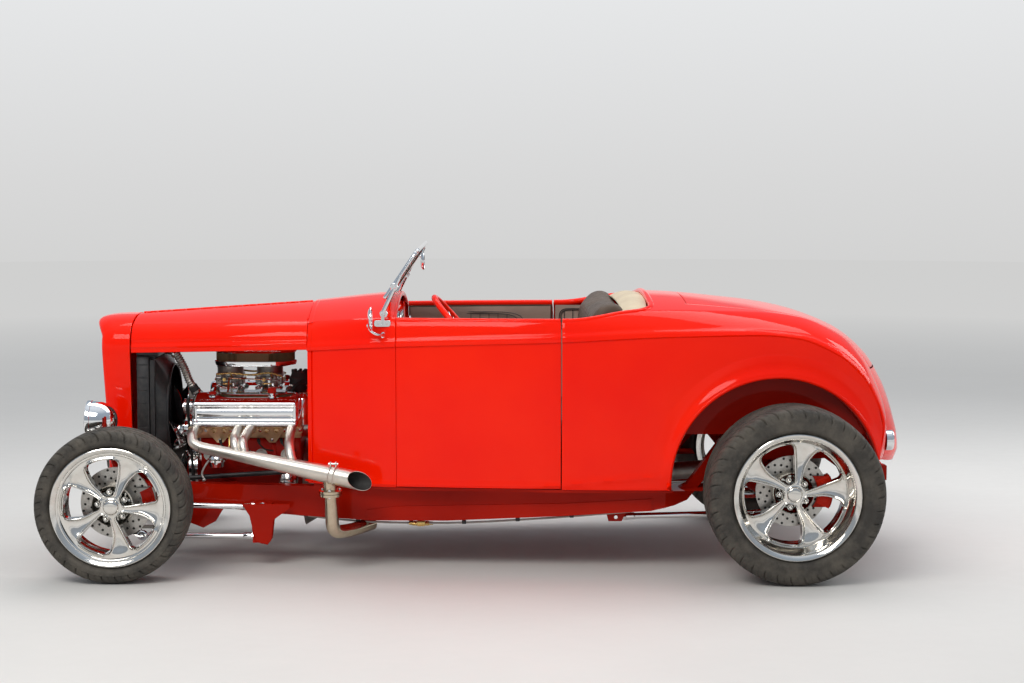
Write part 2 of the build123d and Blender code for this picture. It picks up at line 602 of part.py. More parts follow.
def wheel(centre, side, lip_r, width, dish):
    """Rim, five spokes between raised window edges, hub and centre cap, facing +Z before placing."""
    half = width / 2
    barrel = lip_r - 38
    outer_line = [
        (half, lip_r), (half - LIP_WIDTH, lip_r), (half - LIP_WIDTH, lip_r - 15), (half - 36, lip_r - 18),
        (half - 62, barrel), (-half + 50, barrel), (-half + 34, lip_r - 18), (-half + LIP_WIDTH, lip_r - 15),
        (-half + LIP_WIDTH, lip_r), (-half, lip_r),
    ]
    inner_line = [
        (-half, lip_r - 24), (-half + 32, lip_r - 27), (-half + 48, barrel - RIM_WALL),
        (half - 66, barrel - RIM_WALL), (half - 42, lip_r - 27), (half, lip_r - 20),
    ]
    face_z = half - dish
    rim = turned(outer_line + inner_line, (0, 0, 0), (0, 0, 1))
    joint_r = barrel - 4 if face_z < half - 60 else lip_r - 24
    disc = turned([(face_z, 0), (face_z, CAP_R + 8), (face_z - 16, HUB_R + 14), (face_z - 12, lip_r * 0.7),
                   (face_z, joint_r), (face_z - SPOKE_THICK, joint_r), (face_z - 42, lip_r * 0.7),
                   (face_z - 46, HUB_R), (face_z - HUB_BACK, HUB_R), (face_z - HUB_BACK, 0)],
                  (0, 0, 0), (0, 0, 1))
    window_r = min(lip_r * WINDOW_SHARE, joint_r - 14)
    for number in range(SPOKES):
        turn = Rot(0, 0, number * 360 / SPOKES + WINDOW_TURN)
        cut = extrude(Pos(0, 0, face_z - 60) * window_outline(window_r, 0), amount=100, dir=(0, 0, 1))
        ring = extrude(Pos(0, 0, face_z - 30) * window_outline(window_r, 5), amount=33, dir=(0, 0, 1))
        disc = disc + turn * ring
        disc = disc - turn * cut
    for number in range(SPOKES):
        turn = Rot(0, 0, number * 360 / SPOKES + WINDOW_TURN)
        disc += turn * Pos(LUG_CIRCLE_R, 0, face_z - 58) * Cylinder(LUG_R + 7, 24)
        disc += turn * Pos(LUG_CIRCLE_R, 0, face_z - 40) * Cylinder(LUG_R, 22)
    disc += Pos(0, 0, face_z + CAP_H / 2 - 2) * Cylinder(CAP_R, CAP_H)
    disc -= Pos(0, 0, face_z - HUB_BACK) * Cylinder(STUB_R + SEAT_GAP, 2 * 44)
    shape = rim + disc
    return Plane(origin=centre, x_dir=(side, 0, 0), z_dir=(0, side, 0)) * shape


def tyre(centre, side, tyre_r, width, lip_r, rim_width):
    """A tyre with rounded shoulders, seated on the rim's bead seats."""
    half = width / 2
    bead = rim_width / 2 - LIP_WIDTH - SEAT_GAP
    seat_r = lip_r - 14
    wall_z = half - 4
    middle = (lip_r + tyre_r) / 2
    profile = [
        (bead, seat_r), (bead, lip_r + 4), (wall_z + 1, middle - 14), (wall_z + 4, middle),
        (wall_z + 1, tyre_r - 20), (wall_z - 10, tyre_r - 7), (wall_z - 28, tyre_r - 1), (half * 0.3, tyre_r),
    ]
    mirror_side = [(-along, radius) for along, radius in reversed(profile)]
    inside = [(-bead + 14, seat_r), (-half + 16, middle), (-half + 40, tyre_r - 18), (half - 40, tyre_r - 18),
              (half - 16, middle), (bead - 14, seat_r)]
    return turned(profile + mirror_side + inside, centre, (0, side, 0))


def rotor(centre, side, hat):
    """Brake disc with its hat, which seats on the back of the wheel's hub."""
    profile = [(-ROTOR_T / 2, ROTOR_R), (-ROTOR_T / 2, 60), (hat - 6, 60), (hat - 6, STUB_R + RUN_GAP),
               (hat, STUB_R + RUN_GAP), (hat, 66), (ROTOR_T / 2, 66), (ROTOR_T / 2, ROTOR_R)]
    return turned(profile, centre, (0, side, 0))


corner_nodes = {}
# End, station, tyre radius and width, half track, lip radius, wheel width, dish, rotor's distance out
corner_table = [
    ("front", 0.0, FRONT_TYRE_R, FRONT_TYRE_W, FRONT_HALF_TRACK, FRONT_LIP_R, FRONT_WHEEL_W, FRONT_DISH,
     ROTOR_FRONT_Y),
    ("rear", WHEELBASE, REAR_TYRE_R, REAR_TYRE_W, REAR_HALF_TRACK, REAR_LIP_R, REAR_WHEEL_W, REAR_DISH,
     ROTOR_REAR_Y),
]
for end, x, tyre_r, tyre_w, half_track, lip_r, wheel_w, dish, rotor_y in corner_table:
    for name, side in (("left", -1), ("right", 1)):
        centre = (x, side * half_track, tyre_r)
        corner_nodes[f"{end}_{name}_wheel"] = wheel(centre, side, lip_r, wheel_w, dish)
        corner_nodes[f"{end}_{name}_tyre"] = tyre(centre, side, tyre_r, tyre_w, lip_r, wheel_w)
        hub_back = half_track + wheel_w / 2 - dish - HUB_BACK - SEAT_GAP
        corner_nodes[f"{end}_{name}_rotor"] = rotor((x, side * rotor_y, tyre_r), side, hub_back - rotor_y)

# Rear axle, its locating bars and shocks
axle_end = REAR_HALF_TRACK + REAR_WHEEL_W / 2 - REAR_DISH - 26
ROD_END_Z = REAR_TYRE_R - 130
ROD_Y = 440.0
SHOCK_Y = 380.0
SHOCK_LEAN = 30.0
SHOCK_Z = REAR_TYRE_R - 90
SHOCK_R = 30.0
DIFF_R = 128.0
rear_axle = rod((WHEELBASE, -600, REAR_TYRE_R), (WHEELBASE, 600, REAR_TYRE_R), 38)
rear_axle += ball((WHEELBASE, 0, REAR_TYRE_R), DIFF_R) & block(
    WHEELBASE - 192, WHEELBASE + 208, -100, 100, REAR_TYRE_R - 152, REAR_TYRE_R + 148)
rear_axle += rod((WHEELBASE - 150, 0, REAR_TYRE_R), (WHEELBASE, 0, REAR_TYRE_R), 60)
for side in (-1, 1):
    rear_axle += rod((WHEELBASE, side * 560, REAR_TYRE_R), (WHEELBASE, side * axle_end, REAR_TYRE_R), STUB_R)
    bracket_y = side * 420
    rear_axle += side_prism([(WHEELBASE - 60, ROD_END_Z - 8), (WHEELBASE - 20, ROD_END_Z - 22),
                             (WHEELBASE + 44, REAR_TYRE_R), (WHEELBASE - 44, REAR_TYRE_R)],
                            bracket_y - 8, bracket_y + 8)
    caliper_y = side * ROTOR_REAR_Y
    rear_axle += caliper_solid(WHEELBASE, caliper_y, REAR_TYRE_R)
    shock_y = side * SHOCK_Y
    shock_ear = side_prism([(WHEELBASE - 22, REAR_TYRE_R), (WHEELBASE + 22, REAR_TYRE_R),
                            (WHEELBASE + 125, SHOCK_Z), (WHEELBASE + 125, SHOCK_Z - 14),
                            (WHEELBASE + 10, SHOCK_Z - 14)], shock_y - 22, shock_y + 22)
    shock_ear -= rod((WHEELBASE + 105.6, shock_y, SHOCK_Z - 5),
                     (WHEELBASE + 68, shock_y - side * SHOCK_LEAN, SHOCK_Z + 258), SHOCK_R + 4)
    rear_axle += shock_ear
    arm_y = sorted((side * 575, caliper_y - side * 12))
    rear_axle += block(WHEELBASE - 10, WHEELBASE + 118, *arm_y, REAR_TYRE_R - 16, REAR_TYRE_R + 16)

rear_radius_rods = Part()
shocks = Part()
for side in (-1, 1):
    y = side * ROD_Y
    rear_radius_rods += rod((WHEELBASE - 672, y, 208), (WHEELBASE - 56, y, ROD_END_Z), BAR_R)
    for x, z in ((WHEELBASE - 686, 207.6), (WHEELBASE - 40, ROD_END_Z + 0.4)):
        rear_radius_rods += rod((x, y - 12, z), (x, y + 12, z), 17)
    shock_y = side * SHOCK_Y
    lower = (WHEELBASE + 105, shock_y, SHOCK_Z)
    upper = (WHEELBASE + 68, shock_y - side * SHOCK_LEAN, KICK_Z + 27)
    middle = ((lower[0] + upper[0]) / 2, (lower[1] + upper[1]) / 2, (lower[2] + upper[2]) / 2)
    shocks += rod(lower, middle, SHOCK_R)
    shocks += rod(middle, upper, 12)
for side in (-1, 1):
    y = side * ROD_Y
    ear_x = WHEELBASE - 732
    ear = side_prism([(ear_x + 16, 190), (ear_x + 70, 190), (ear_x + 100, 250), (ear_x, 250)], y - 19, y + 19)
    ear -= block(ear_x, ear_x + 120, y - 12 - SEAT_GAP, y + 12 + SEAT_GAP, 180, 232)
    ear += block(ear_x, ear_x + 100, *sorted((y, side * 510)), 244, 250)
    frame_rails += ear
    ear = side_prism([(512, 100), (580, 100), (592, 262), (524, 262)], side * BAR_Y - 22, side * BAR_Y + 22)
    ear -= block(480, 572, side * BAR_Y - 12 - SEAT_GAP, side * BAR_Y + 12 + SEAT_GAP, 80, 300)
    frame_rails += ear

# Engine, gearbox and what hangs on them
BELL_X0 = ENGINE_X1 + SEAT_GAP
BELL_X1 = BELL_X0 + 170.0
BELL_R0, BELL_R1 = 186.0, 84.0
BELL_Z = 285.0


def bell_form(grow):
    """The tapering bell housing, or the space around it."""
    return cone((BELL_X0, 0, BELL_Z), (BELL_X1, 0, BELL_Z), BELL_R0 + grow, BELL_R1 + grow)


# Half of the block's front view, from the middle of the bottom to the middle of the top
block_half = [(90, 250), (ENGINE_HALF - 60, 330), (ENGINE_HALF, 500), (ENGINE_HALF - 90, HEAD_Z + 30)]
block_front = block_half + [(-y, z) for y, z in reversed(block_half)]
engine_block = front_prism(block_front, ENGINE_X0 + 20, ENGINE_X1)
engine_block += front_prism([(-80, 172), (80, 172), (100, 262), (-100, 262)], ENGINE_X0 + 170, ENGINE_X1 - 10)
heads = Part()
# Front view of the left and right heads: distance across, height
head_line = [(120, HEAD_Z + 6), (245, HEAD_Z - 66), (292, HEAD_Z + 14), (168, HEAD_Z + 86)]
for side in (-1, 1):
    heads += front_prism([(side * y, z) for y, z in head_line], ENGINE_X0 + 6, ENGINE_X1 + 4)
engine_block -= heads
engine_mount = block(350, 410, -330, -150, 285, 312) - engine_block
frame_rails += both(engine_mount)
valve_covers = Part()
cover_line = [(168.15, HEAD_Z + 86.26), (292.15, HEAD_Z + 14.26), (330, HEAD_Z + 60), (312, COVER_TOP - 10),
              (236, COVER_TOP + 24), (196, COVER_TOP + 10)]
for side in (-1, 1):
    valve_covers += front_prism([(side * y, z) for y, z in cover_line], ENGINE_X0, ENGINE_X1)
intake = front_prism([(-118, HEAD_Z + 30.3), (118, HEAD_Z + 30.3), (90, HEAD_Z + 130), (-90, HEAD_Z + 130)],
                     ENGINE_X0 + 40, ENGINE_X1 - 40)
CARB_TOP = 790.0
for x in (ENGINE_X0 + 120, ENGINE_X0 + 290):
    intake += block(x - 60, x + 60, -70, 70, HEAD_Z + 130, CARB_TOP)
AIR_X0, AIR_X1 = 299.0, 656.0
AIR_HALF = 112.0
AIR_Z0, AIR_Z1 = CARB_TOP + SEAT_GAP, 868.0
air_cleaner = extrude(SlotOverall(AIR_X1 - AIR_X0, 2 * AIR_HALF), AIR_Z1 - AIR_Z0)
air_cleaner = Pos((AIR_X0 + AIR_X1) / 2, 0, AIR_Z0) * air_cleaner
transmission = bell_form(0)
GEARBOX_X1 = 1480.0
transmission += rod((ENGINE_X1 + 150, 0, DRIVE_Z), (GEARBOX_X1, 0, DRIVE_Z), 62)
transmission += rod((GEARBOX_X1, 0, DRIVE_Z), (WHEELBASE - 158, 0, REAR_TYRE_R - 4), 38)
fan_and_pulleys = Part()
# Pulleys: distance across, height, radius
for y, z, radius in ((0, 340, 84), (0, FAN_Z, 78), (-170, 640, 34), (150, 420, 60)):
    fan_and_pulleys += rod((ENGINE_X0 - 60, y, z), (ENGINE_X0 - 8, y, z), radius)
fan_and_pulleys += block(ENGINE_X0 - 46, ENGINE_X0 + 19.7, -118, 118, 380, 540)
fan_and_pulleys += block(ENGINE_X0 - 30, ENGINE_X0 + 6 - SEAT_GAP, -190, -150, 600, 640)
fan_and_pulleys += rod((ENGINE_X0 - 100, 0, FAN_Z), (ENGINE_X0 - 50, 0, FAN_Z), 40)
for turn in range(0, 360, 60):
    blade = Rot(turn, 0, 0) * Pos(0, 0, FAN_R - 86) * Rot(0, 0, 24) * Box(5, 62, 170)
    blade = Pos(ENGINE_X0 - 92, 0, FAN_Z) * blade
    fan_and_pulleys += blade
radiator = block(10, 76, -RADIATOR_HALF, RADIATOR_HALF, 402, 880)
radiator += block(4, 96, -TANK_HALF, TANK_HALF, 846, 912)
radiator += block(4, 96, -TANK_HALF, TANK_HALF, 366, 410)
shroud = block(76, 134, -SHROUD_HALF, SHROUD_HALF, 420, 840) - rod((60, 0, 600), (140, 0, 600), FAN_R)
radiator += shroud
radiator += block(20, 80, -60, 60, 322, 370)

# Exhaust: four primaries a side into a tapering collector
PORTS_X = (270, 442, 492, 662)
exhaust = Part()
COLLECTOR_START = (290, -446, 498)
COLLECTOR_END = (896, -606, 396)
COLLECTOR_R = 37.0
side_pipe = cone(COLLECTOR_START, COLLECTOR_END, 22, COLLECTOR_R)
side_pipe += rod(COLLECTOR_END, (1016, -636, 377), COLLECTOR_R)
cutter = prism([(916, -800, 300), (1040, -800, 300), (1040, -800, 420), (1019, -800, 420)], (0, 1, 0), 400)
side_pipe -= cutter
side_pipe += rod((888, -604, 397), (904, -608, 395), 43)
for number, port_x in enumerate(PORTS_X):
    share = (port_x + 34 - 290) / 606
    goal = (port_x + 50, -446 - 160 * share, 498 - 102 * share)
    path = [(port_x, -268, 548), (port_x, -350, 566), (port_x + 10, goal[1] + 14, goal[2] + 70), goal]
    side_pipe += pipe(path, 20, 26)
# The turned-down pipe that leaves the collector and runs under the floor
down_line = [(842, -590, 404), (846, -574, 300), (850, -560, 160), (980, -470, 160), (1080, -380, 160)]
side_pipe += pipe(down_line, 28, 50)
side_pipe += rod((845, -580, 330), (845.5, -578, 318), 48)
side_pipe -= heads
exhaust = side_pipe
exhaust += mirrored(side_pipe)

# Grille shell: an arched hoop with a rounded nose, and upright bars inside it


def shell_outline(inset, nose):
    """Front view of the shell at one inset from its outer edge."""
    half = SHELL_HALF - inset
    foot = SHELL_FOOT_HALF - inset
    top = SHELL_TOP - inset
    shoulder = 870.0
    base = SHELL_FOOT + (inset if nose else 0)

    def p(y, z):
        return (0, y, z)

    middle_y = half * 0.80
    middle_z = shoulder + (top - shoulder) * 0.66
    bow_y, bow_z = middle_y + 14, middle_z - 22
    high_y, high_z = middle_y - 34, middle_z + 22
    return Wire([
        Edge.make_line(p(-foot, base), p(foot, base)),
        Edge.make_line(p(foot, base), p(half, shoulder)),
        Edge.make_three_point_arc(p(half, shoulder), p(bow_y, bow_z), p(high_y, high_z)),
        Edge.make_three_point_arc(p(high_y, high_z), p(0, top), p(-high_y, high_z)),
        Edge.make_three_point_arc(p(-high_y, high_z), p(-bow_y, bow_z), p(-half, shoulder)),
        Edge.make_line(p(-half, shoulder), p(-foot, base)),
    ])


def shell_solid(rows):
    """A loft through outlines given by station and inset."""
    wires = [Pos(x, 0, 0) * shell_outline(inset, False) for x, inset in rows]
    return Part() + Solid.make_loft(wires, True)


grille_shell = shell_solid([(-150, 34), (-138, 14), (-110, 2), (SHELL_X1, 0)])


def shell_bore(clearance):
    """The space through the shell, which the grille fills."""
    rows = [(-190, SHELL_BORDER + 4 + clearance), (SHELL_X1 + 10, SHELL_BORDER - 20 + clearance)]
    return Pos(0, 0, -20) * shell_solid(rows)


grille_shell -= shell_bore(0)
grille_shell += block(-140, -60, -SHELL_FOOT_HALF + 4, SHELL_FOOT_HALF - 4, SHELL_FOOT, SHELL_FOOT + 30)
GRILLE_BARS = 22
grille_space = shell_bore(SEAT_GAP)
grille_bars = Part()
bar_step = 2 * (SHELL_HALF - SHELL_BORDER) / (GRILLE_BARS + 1)
for number in range(GRILLE_BARS):
    y = -SHELL_HALF + SHELL_BORDER + (number + 1) * bar_step
    bar = block(-128, -110, y - 3, y + 3, SHELL_FOOT + 31, 1000)
    grille_bars += bar & grille_space
for z in (420, 640, 860):
    grille_bars += block(-110, -104, -220, 220, z - 5, z + 5) & grille_space

# Hood top: two leaves on a rod along the crest
HOOD_X1 = COWL_X - PANEL_GAP - 1
CREST_Z = (SHELL_TOP + 1, COWL_TOP - 5)


def hood_section(station, half, z_side, shoulder, z_shoulder, z_crest, inset):
    """Right-hand half of the hood's section, as a closed band of the sheet's thickness."""
    def p(y, z):
        return (station, y, z)

    t = HOOD_SHEET
    bulge_y = (half + shoulder) / 2 + 0.2 * (half - shoulder)
    bulge_z = (z_side + z_shoulder) / 2 + 0.14 * (z_shoulder - z_side)
    crown_y, crown_z = shoulder / 2, z_shoulder + 0.76 * (z_crest - z_shoulder)
    crest_out, crest_in = p(inset, z_crest), p(inset, z_crest - t)
    turn_out, turn_in = p(shoulder, z_shoulder), p(shoulder - 0.4 * t, z_shoulder - t)
    edge_out, edge_in = p(half, z_side), p(half - t, z_side)
    return Wire([
        Edge.make_three_point_arc(crest_out, p(crown_y, crown_z), turn_out),
        Edge.make_three_point_arc(turn_out, p(bulge_y, bulge_z), edge_out),
        Edge.make_line(edge_out, edge_in),
        Edge.make_three_point_arc(edge_in, p(bulge_y - 0.8 * t, bulge_z - 0.6 * t), turn_in),
        Edge.make_three_point_arc(turn_in, p(crown_y, crown_z - t), crest_in),
        Edge.make_line(crest_in, crest_out),
    ])


# Station, half width and height of the edge, half width and height of the shoulder, crest
hood_rows = [
    (HOOD_X0, SHELL_HALF - 2, HOOD_SIDE_Z[0], SHELL_HALF - 64, SHELL_TOP - 33, CREST_Z[0]),
    (HOOD_X1, COWL_HALF, HOOD_SIDE_Z[1], COWL_HALF - 68, COWL_TOP - 66, CREST_Z[1]),
]
hood_right = Part() + Solid.make_loft([hood_section(*row, HOOD_HINGE_R + 3) for row in hood_rows], True)


def crest(x):
    """A point of the hood's hinge line at one station."""
    share = (x - HOOD_X0) / (HOOD_X1 - HOOD_X0)
    return (x, 0, CREST_Z[0] + share * (CREST_Z[1] - CREST_Z[0]))


HOOD_KNUCKLES = 12
knuckle_length = (HOOD_X1 - HOOD_X0 - 20) / HOOD_KNUCKLES
hood_left = mirrored(hood_right)
hood_rod = rod(crest(HOOD_X0 - 30), crest(COWL_X - SEAT_GAP), HOOD_PIN_R)
for number in range(HOOD_KNUCKLES):
    x0 = HOOD_X0 + 10 + number * knuckle_length
    barrel = rod(crest(x0 + RUN_GAP), crest(x0 + knuckle_length - RUN_GAP), HOOD_HINGE_R)
    side = 1 if number % 2 else -1
    tab_y = sorted((0, side * (HOOD_HINGE_R + 14)))
    z = (crest(x0)[2] + crest(x0 + knuckle_length)[2]) / 2
    barrel += block(x0 + RUN_GAP, x0 + knuckle_length - RUN_GAP, *tab_y, z - 5, z)
    barrel -= rod(crest(x0 - 5), crest(x0 + knuckle_length + 5), HOOD_PIN_R + SEAT_GAP)
    if side > 0:
        hood_right += barrel
    else:
        hood_left += barrel
grille_shell += hood_rod

# Headlights, dashboard, seat, windshield, mirrors, tail lights
# Headlight from its pointed back to its lens: distance forward, radius
headlight_profile = [
    (0, 0), (0, 30), (10, 52), (34, 74), (70, LIGHT_R - 2), (112, LIGHT_R), (118, LIGHT_R - 2),
    (124, LIGHT_R - 10), (132, 40), (134, 0),
]
headlights = Part()
for side in (-1, 1):
    lamp = turned(headlight_profile, (LIGHT_X + 62, side * LIGHT_Y, LIGHT_Z), (-1, 0, 0))
    lamp += pipe([(LIGHT_X + 20, side * LIGHT_Y, LIGHT_Z - 76), (LIGHT_X + 20, side * LIGHT_Y, LIGHT_Z - 130),
                  (-74, side * 330, 430), (-70, side * 304, 385), (-70, side * 304, RAIL_TOP)], 13, 22)
    lamp += rod((-70, side * 304, RAIL_TOP), (-70, side * 304, RAIL_TOP + 8), 22)
    headlights += lamp
dashboard = block(1060, 1104, -470, 470, 930, 1052)
dashboard &= body_loft(WALL + SEAT_GAP, SKIN + SEAT_GAP, INNER_X0, INNER_X1)
SEAT_Z = 470.0
SEAT_TOP = 600.0
SEAT_HALF = 500.0
seat_cushion = block(1500, 1900, -SEAT_HALF, SEAT_HALF, SEAT_Z, SEAT_TOP)
back_z = SEAT_TOP + SEAT_GAP
back_line = [(1860, back_z), (1925, back_z), (2060, 1095), (1985, 1117), (1930, 1075)]
seat_back = side_prism(back_line, -SEAT_HALF - 5, SEAT_HALF + 5)
seat_base = block(1540, 1880, 20 - SEAT_HALF, SEAT_HALF - 20, SILL_Z, SEAT_Z - SEAT_GAP)
WIND_X, WIND_Z = 1067.0, 1113.2
WIND_TOP_X, WIND_TOP_Z = 1197.0, 1312.0
WIND_HALF = 520.0
rake = Vector(WIND_TOP_X - WIND_X, 0, WIND_TOP_Z - WIND_Z)
WIND_TUBE_R = 9.0
top_half = WIND_HALF - 16
top_z = WIND_TOP_Z - WIND_TUBE_R
base_left, base_right = (WIND_X, -WIND_HALF, WIND_Z), (WIND_X, WIND_HALF, WIND_Z)
top_left, top_right = (WIND_TOP_X, -top_half, top_z), (WIND_TOP_X, top_half, top_z)
frame_loop = FilletPolyline(base_left, top_left, top_right, base_right, radius=[6, 34, 34, 6], close=True)
frame_start = Plane(origin=frame_loop @ 0, z_dir=frame_loop % 0)
windshield_frame = sweep(frame_start * Circle(WIND_TUBE_R), path=frame_loop)
for side in (-1, 1):
    post_line = [(WIND_X - 10, side * 544, 1004), (WIND_X - 6, side * 545, 1060),
                 (WIND_X + 64, side * 540, 1206)]
    post = pipe(post_line, WIND_TUBE_R, 40)
    post += rod((WIND_X + 40, side * 540, 1162), (WIND_X + 36, side * 510, 1162), 7)
    windshield_frame += post
GLASS_INSET = WIND_TUBE_R + SEAT_GAP
GLASS_T = 5.0
glass_normal = Vector(rake.Z, 0, -rake.X).normalized()


def glass_corner(base_point, top_point, side, at_top):
    """A corner of the glass, inside the frame's tube."""
    edge = Vector(*top_point) - Vector(*base_point)
    share = GLASS_INSET / edge.length
    point = Vector(*base_point) + edge * ((1 - share) if at_top else share)
    return point + Vector(0, -side * (GLASS_INSET + 1), 0) - glass_normal * (GLASS_T / 2)


glass_points = [glass_corner(base_left, top_left, -1, False), glass_corner(base_left, top_left, -1, True),
                glass_corner(base_right, top_right, 1, True), glass_corner(base_right, top_right, 1, False)]
glass_face = Face(Wire.make_polygon(glass_points, close=True))
windshield_glass = extrude(glass_face, amount=GLASS_T, dir=glass_normal)
glass_edges = windshield_glass.edges().filter_by(Axis(glass_points[0], glass_normal))
windshield_glass = fillet(glass_edges.sort_by(Axis.Z)[-2:], 28)
mirrors = rod((1190, 0, 1240), (1206, -8, 1240), 38)
mirrors += rod((1205, 0, 1250), (1209.7, 0, 1299), 4)
side_mirror = rod((1000, -590, 1033), (1016, -590, 1033), 50)
side_mirror += pipe([(1008, -590, 1000), (1030, -585, 970), (1061, -548.7, 965)], 6, 12)
mirrors += side_mirror
TAIL_LIGHT_X = WHEELBASE + 426.0
TAIL_LIGHT_Y = 420.0
TAIL_LIGHT_Z = 520.0
TAIL_LIGHT_R = 42.0
tail_lights = Part()
for side in (-1, 1):
    y = side * TAIL_LIGHT_Y
    tail_lights += rod((TAIL_LIGHT_X, y, TAIL_LIGHT_Z), (TAIL_LIGHT_X + 32, y, TAIL_LIGHT_Z), TAIL_LIGHT_R)
light_recess = rod(
    (TAIL_LIGHT_X - 18, -TAIL_LIGHT_Y, TAIL_LIGHT_Z), (TAIL_LIGHT_X + 42, -TAIL_LIGHT_Y, TAIL_LIGHT_Z),
    TAIL_LIGHT_R + SEAT_GAP,
)
rear_body -= both(light_recess)
firewall_hole = rod(on_column(firewall_reach - 80), on_column(firewall_reach + 60), COLUMN_R + 6 + SEAT_GAP)
cowl -= firewall_hole

bell_bore = bell_form(8)
floor_pan -= bell_bore
floor_pan += (bell_form(16) - bell_form(8)) & block(COWL_X + 20, BELL_X1, -260, 260, RAIL_TOP, 800)
cowl -= bell_form(16 + SEAT_GAP)

NODES = {
    "frame_rails": frame_rails, "crossmembers": crossmembers, "front_axle": front_axle,
    "front_spring": front_spring, "front_radius_rods": front_radius_rods, "rear_axle": rear_axle,
    "rear_radius_rods": rear_radius_rods, "rear_shocks": shocks, "engine_block": engine_block,
    "cylinder_heads": heads, "valve_covers": valve_covers, "intake": intake, "air_cleaner": air_cleaner,
    "exhaust": exhaust, "transmission": transmission, "fan_and_pulleys": fan_and_pulleys,
    "radiator": radiator, "steering_column": steering_column, "grille_shell": grille_shell,
    "grille_bars": grille_bars, "headlights": headlights, "cowl": cowl, "dashboard": dashboard,
    "floor_pan": floor_pan, "rear_body": rear_body, "wheel_tubs": wheel_tubs, "seat_base": seat_base,
    "seat_cushion": seat_cushion, "seat_back": seat_back, "windshield_frame": windshield_frame,
    "windshield_glass": windshield_glass, "mirrors": mirrors, "tail_lights": tail_lights,
    "left_door": door, "right_door": mirrored(door), "decklid": decklid, "hood_left": hood_left,
    "hood_right": hood_right, "steering_wheel": steering_wheel, "left_knuckle": left_knuckle,
    "right_knuckle": right_knuckle, "tie_rod": tie_rod, "pitman_arm": pitman_arm, "drag_link": drag_link,
    **corner_nodes,
}
os.makedirs("parts", exist_ok=True)
for name, shape in NODES.items():
    save(name, shape)
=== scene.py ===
"""Looks of an open two-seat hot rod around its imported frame.

Shapes are worked out in millimetres, with stations measured along X from the front axle, sides along Y
and heights from the floor, and Form turns them into metres in the frame's own axes.
"""

import json
import logging
import math
from dataclasses import dataclass
from enum import Enum

import bmesh
import bpy
import numpy as np
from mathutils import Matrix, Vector


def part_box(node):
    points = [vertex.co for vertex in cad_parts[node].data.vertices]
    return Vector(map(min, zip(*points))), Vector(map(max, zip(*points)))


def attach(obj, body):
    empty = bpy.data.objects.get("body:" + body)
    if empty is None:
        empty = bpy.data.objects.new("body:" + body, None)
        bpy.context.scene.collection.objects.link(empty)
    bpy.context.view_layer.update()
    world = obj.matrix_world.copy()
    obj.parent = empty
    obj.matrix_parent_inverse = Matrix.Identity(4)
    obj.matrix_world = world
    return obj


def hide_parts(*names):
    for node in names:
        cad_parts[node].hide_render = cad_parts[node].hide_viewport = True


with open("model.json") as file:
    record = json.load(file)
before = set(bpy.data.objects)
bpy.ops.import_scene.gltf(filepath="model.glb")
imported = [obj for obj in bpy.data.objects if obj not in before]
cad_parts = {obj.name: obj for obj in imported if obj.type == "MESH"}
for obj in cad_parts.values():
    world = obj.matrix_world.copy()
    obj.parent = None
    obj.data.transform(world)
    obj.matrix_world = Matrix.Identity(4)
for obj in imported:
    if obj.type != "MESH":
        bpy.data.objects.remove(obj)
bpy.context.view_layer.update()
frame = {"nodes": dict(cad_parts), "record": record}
log = logging.getLogger("hot_rod")

MM = 0.001
AXLE_X = sum(corner.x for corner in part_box("front_left_tyre")) / 2
REAR_X = sum(corner.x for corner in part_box("rear_left_tyre")) / 2
WHEELBASE = (REAR_X - AXLE_X) / MM
LEFT, RIGHT = -1, 1
SIDES = {"left": LEFT, "right": RIGHT}
# A turned profile closes in a pole where it comes nearer to its axis than this, in millimetres
POLE_LIMIT = 0.3
POLE_RADIUS = 0.001
# Points nearer to each other than this become one, in metres
MERGE_GAP = 0.00002
WALL_TONE = (0.63, 0.63, 0.625)


def to_frame(points: np.ndarray) -> np.ndarray:
    """Station millimetres to the frame's metres."""
    return points * MM + np.array([AXLE_X, 0.0, 0.0])


def vec(*values: float) -> np.ndarray:
    """A float array from its numbers."""
    return np.array(values, float)


def unit(v: np.ndarray) -> np.ndarray:
    """Vectors scaled to length one along the last axis."""
    return v / np.maximum(np.linalg.norm(v, axis=-1, keepdims=True), 1e-12)


def smoothstep(low: float, high: float, value: np.ndarray) -> np.ndarray:
    """A soft step from 0 at low to 1 at high: t squared times three minus twice t."""
    t = np.clip((value - low) / (high - low), 0.0, 1.0)
    return t * t * (3 - 2 * t)


def bump(value: np.ndarray, centre: float, width: float) -> np.ndarray:
    """A bell of height one around centre: e to the minus square of the distance over width."""
    return np.exp(-(((value - centre) / width) ** 2))


def pchip(knots: np.ndarray, values: np.ndarray, at: np.ndarray) -> np.ndarray:
    """Smooth curve through table rows that doesn't overshoot them.

    A cubic between each two knots, whose slope at a knot is the harmonic mean of the slopes beside
    it, or zero where they change sign.

    Args:
        knots: rising positions of the rows.
        values: one row of numbers for each knot.
        at: positions to read.

    Returns:
        One row of numbers for each position.
    """
    values = values.reshape(len(knots), -1)
    step = np.diff(knots)[:, None]
    slope = np.diff(values, axis=0) / step
    a, b = slope[:-1], slope[1:]
    same = a * b > 0
    inner = np.where(same, 2 * a * b / np.where(same, a + b, 1.0), 0.0)
    tangents = np.vstack([slope[:1], inner, slope[-1:]])
    at = np.clip(np.asarray(at, float), knots[0], knots[-1])
    k = np.clip(np.searchsorted(knots, at, side="right") - 1, 0, len(knots) - 2)
    h = step[k]
    t = ((at - knots[k]) / h[:, 0])[:, None]
    h00 = 2 * t**3 - 3 * t**2 + 1
    h10 = t**3 - 2 * t**2 + t
    h01 = 3 * t**2 - 2 * t**3
    h11 = t**3 - t**2
    return h00 * values[k] + h10 * h * tangents[k] + h01 * values[k + 1] + h11 * h * tangents[k + 1]


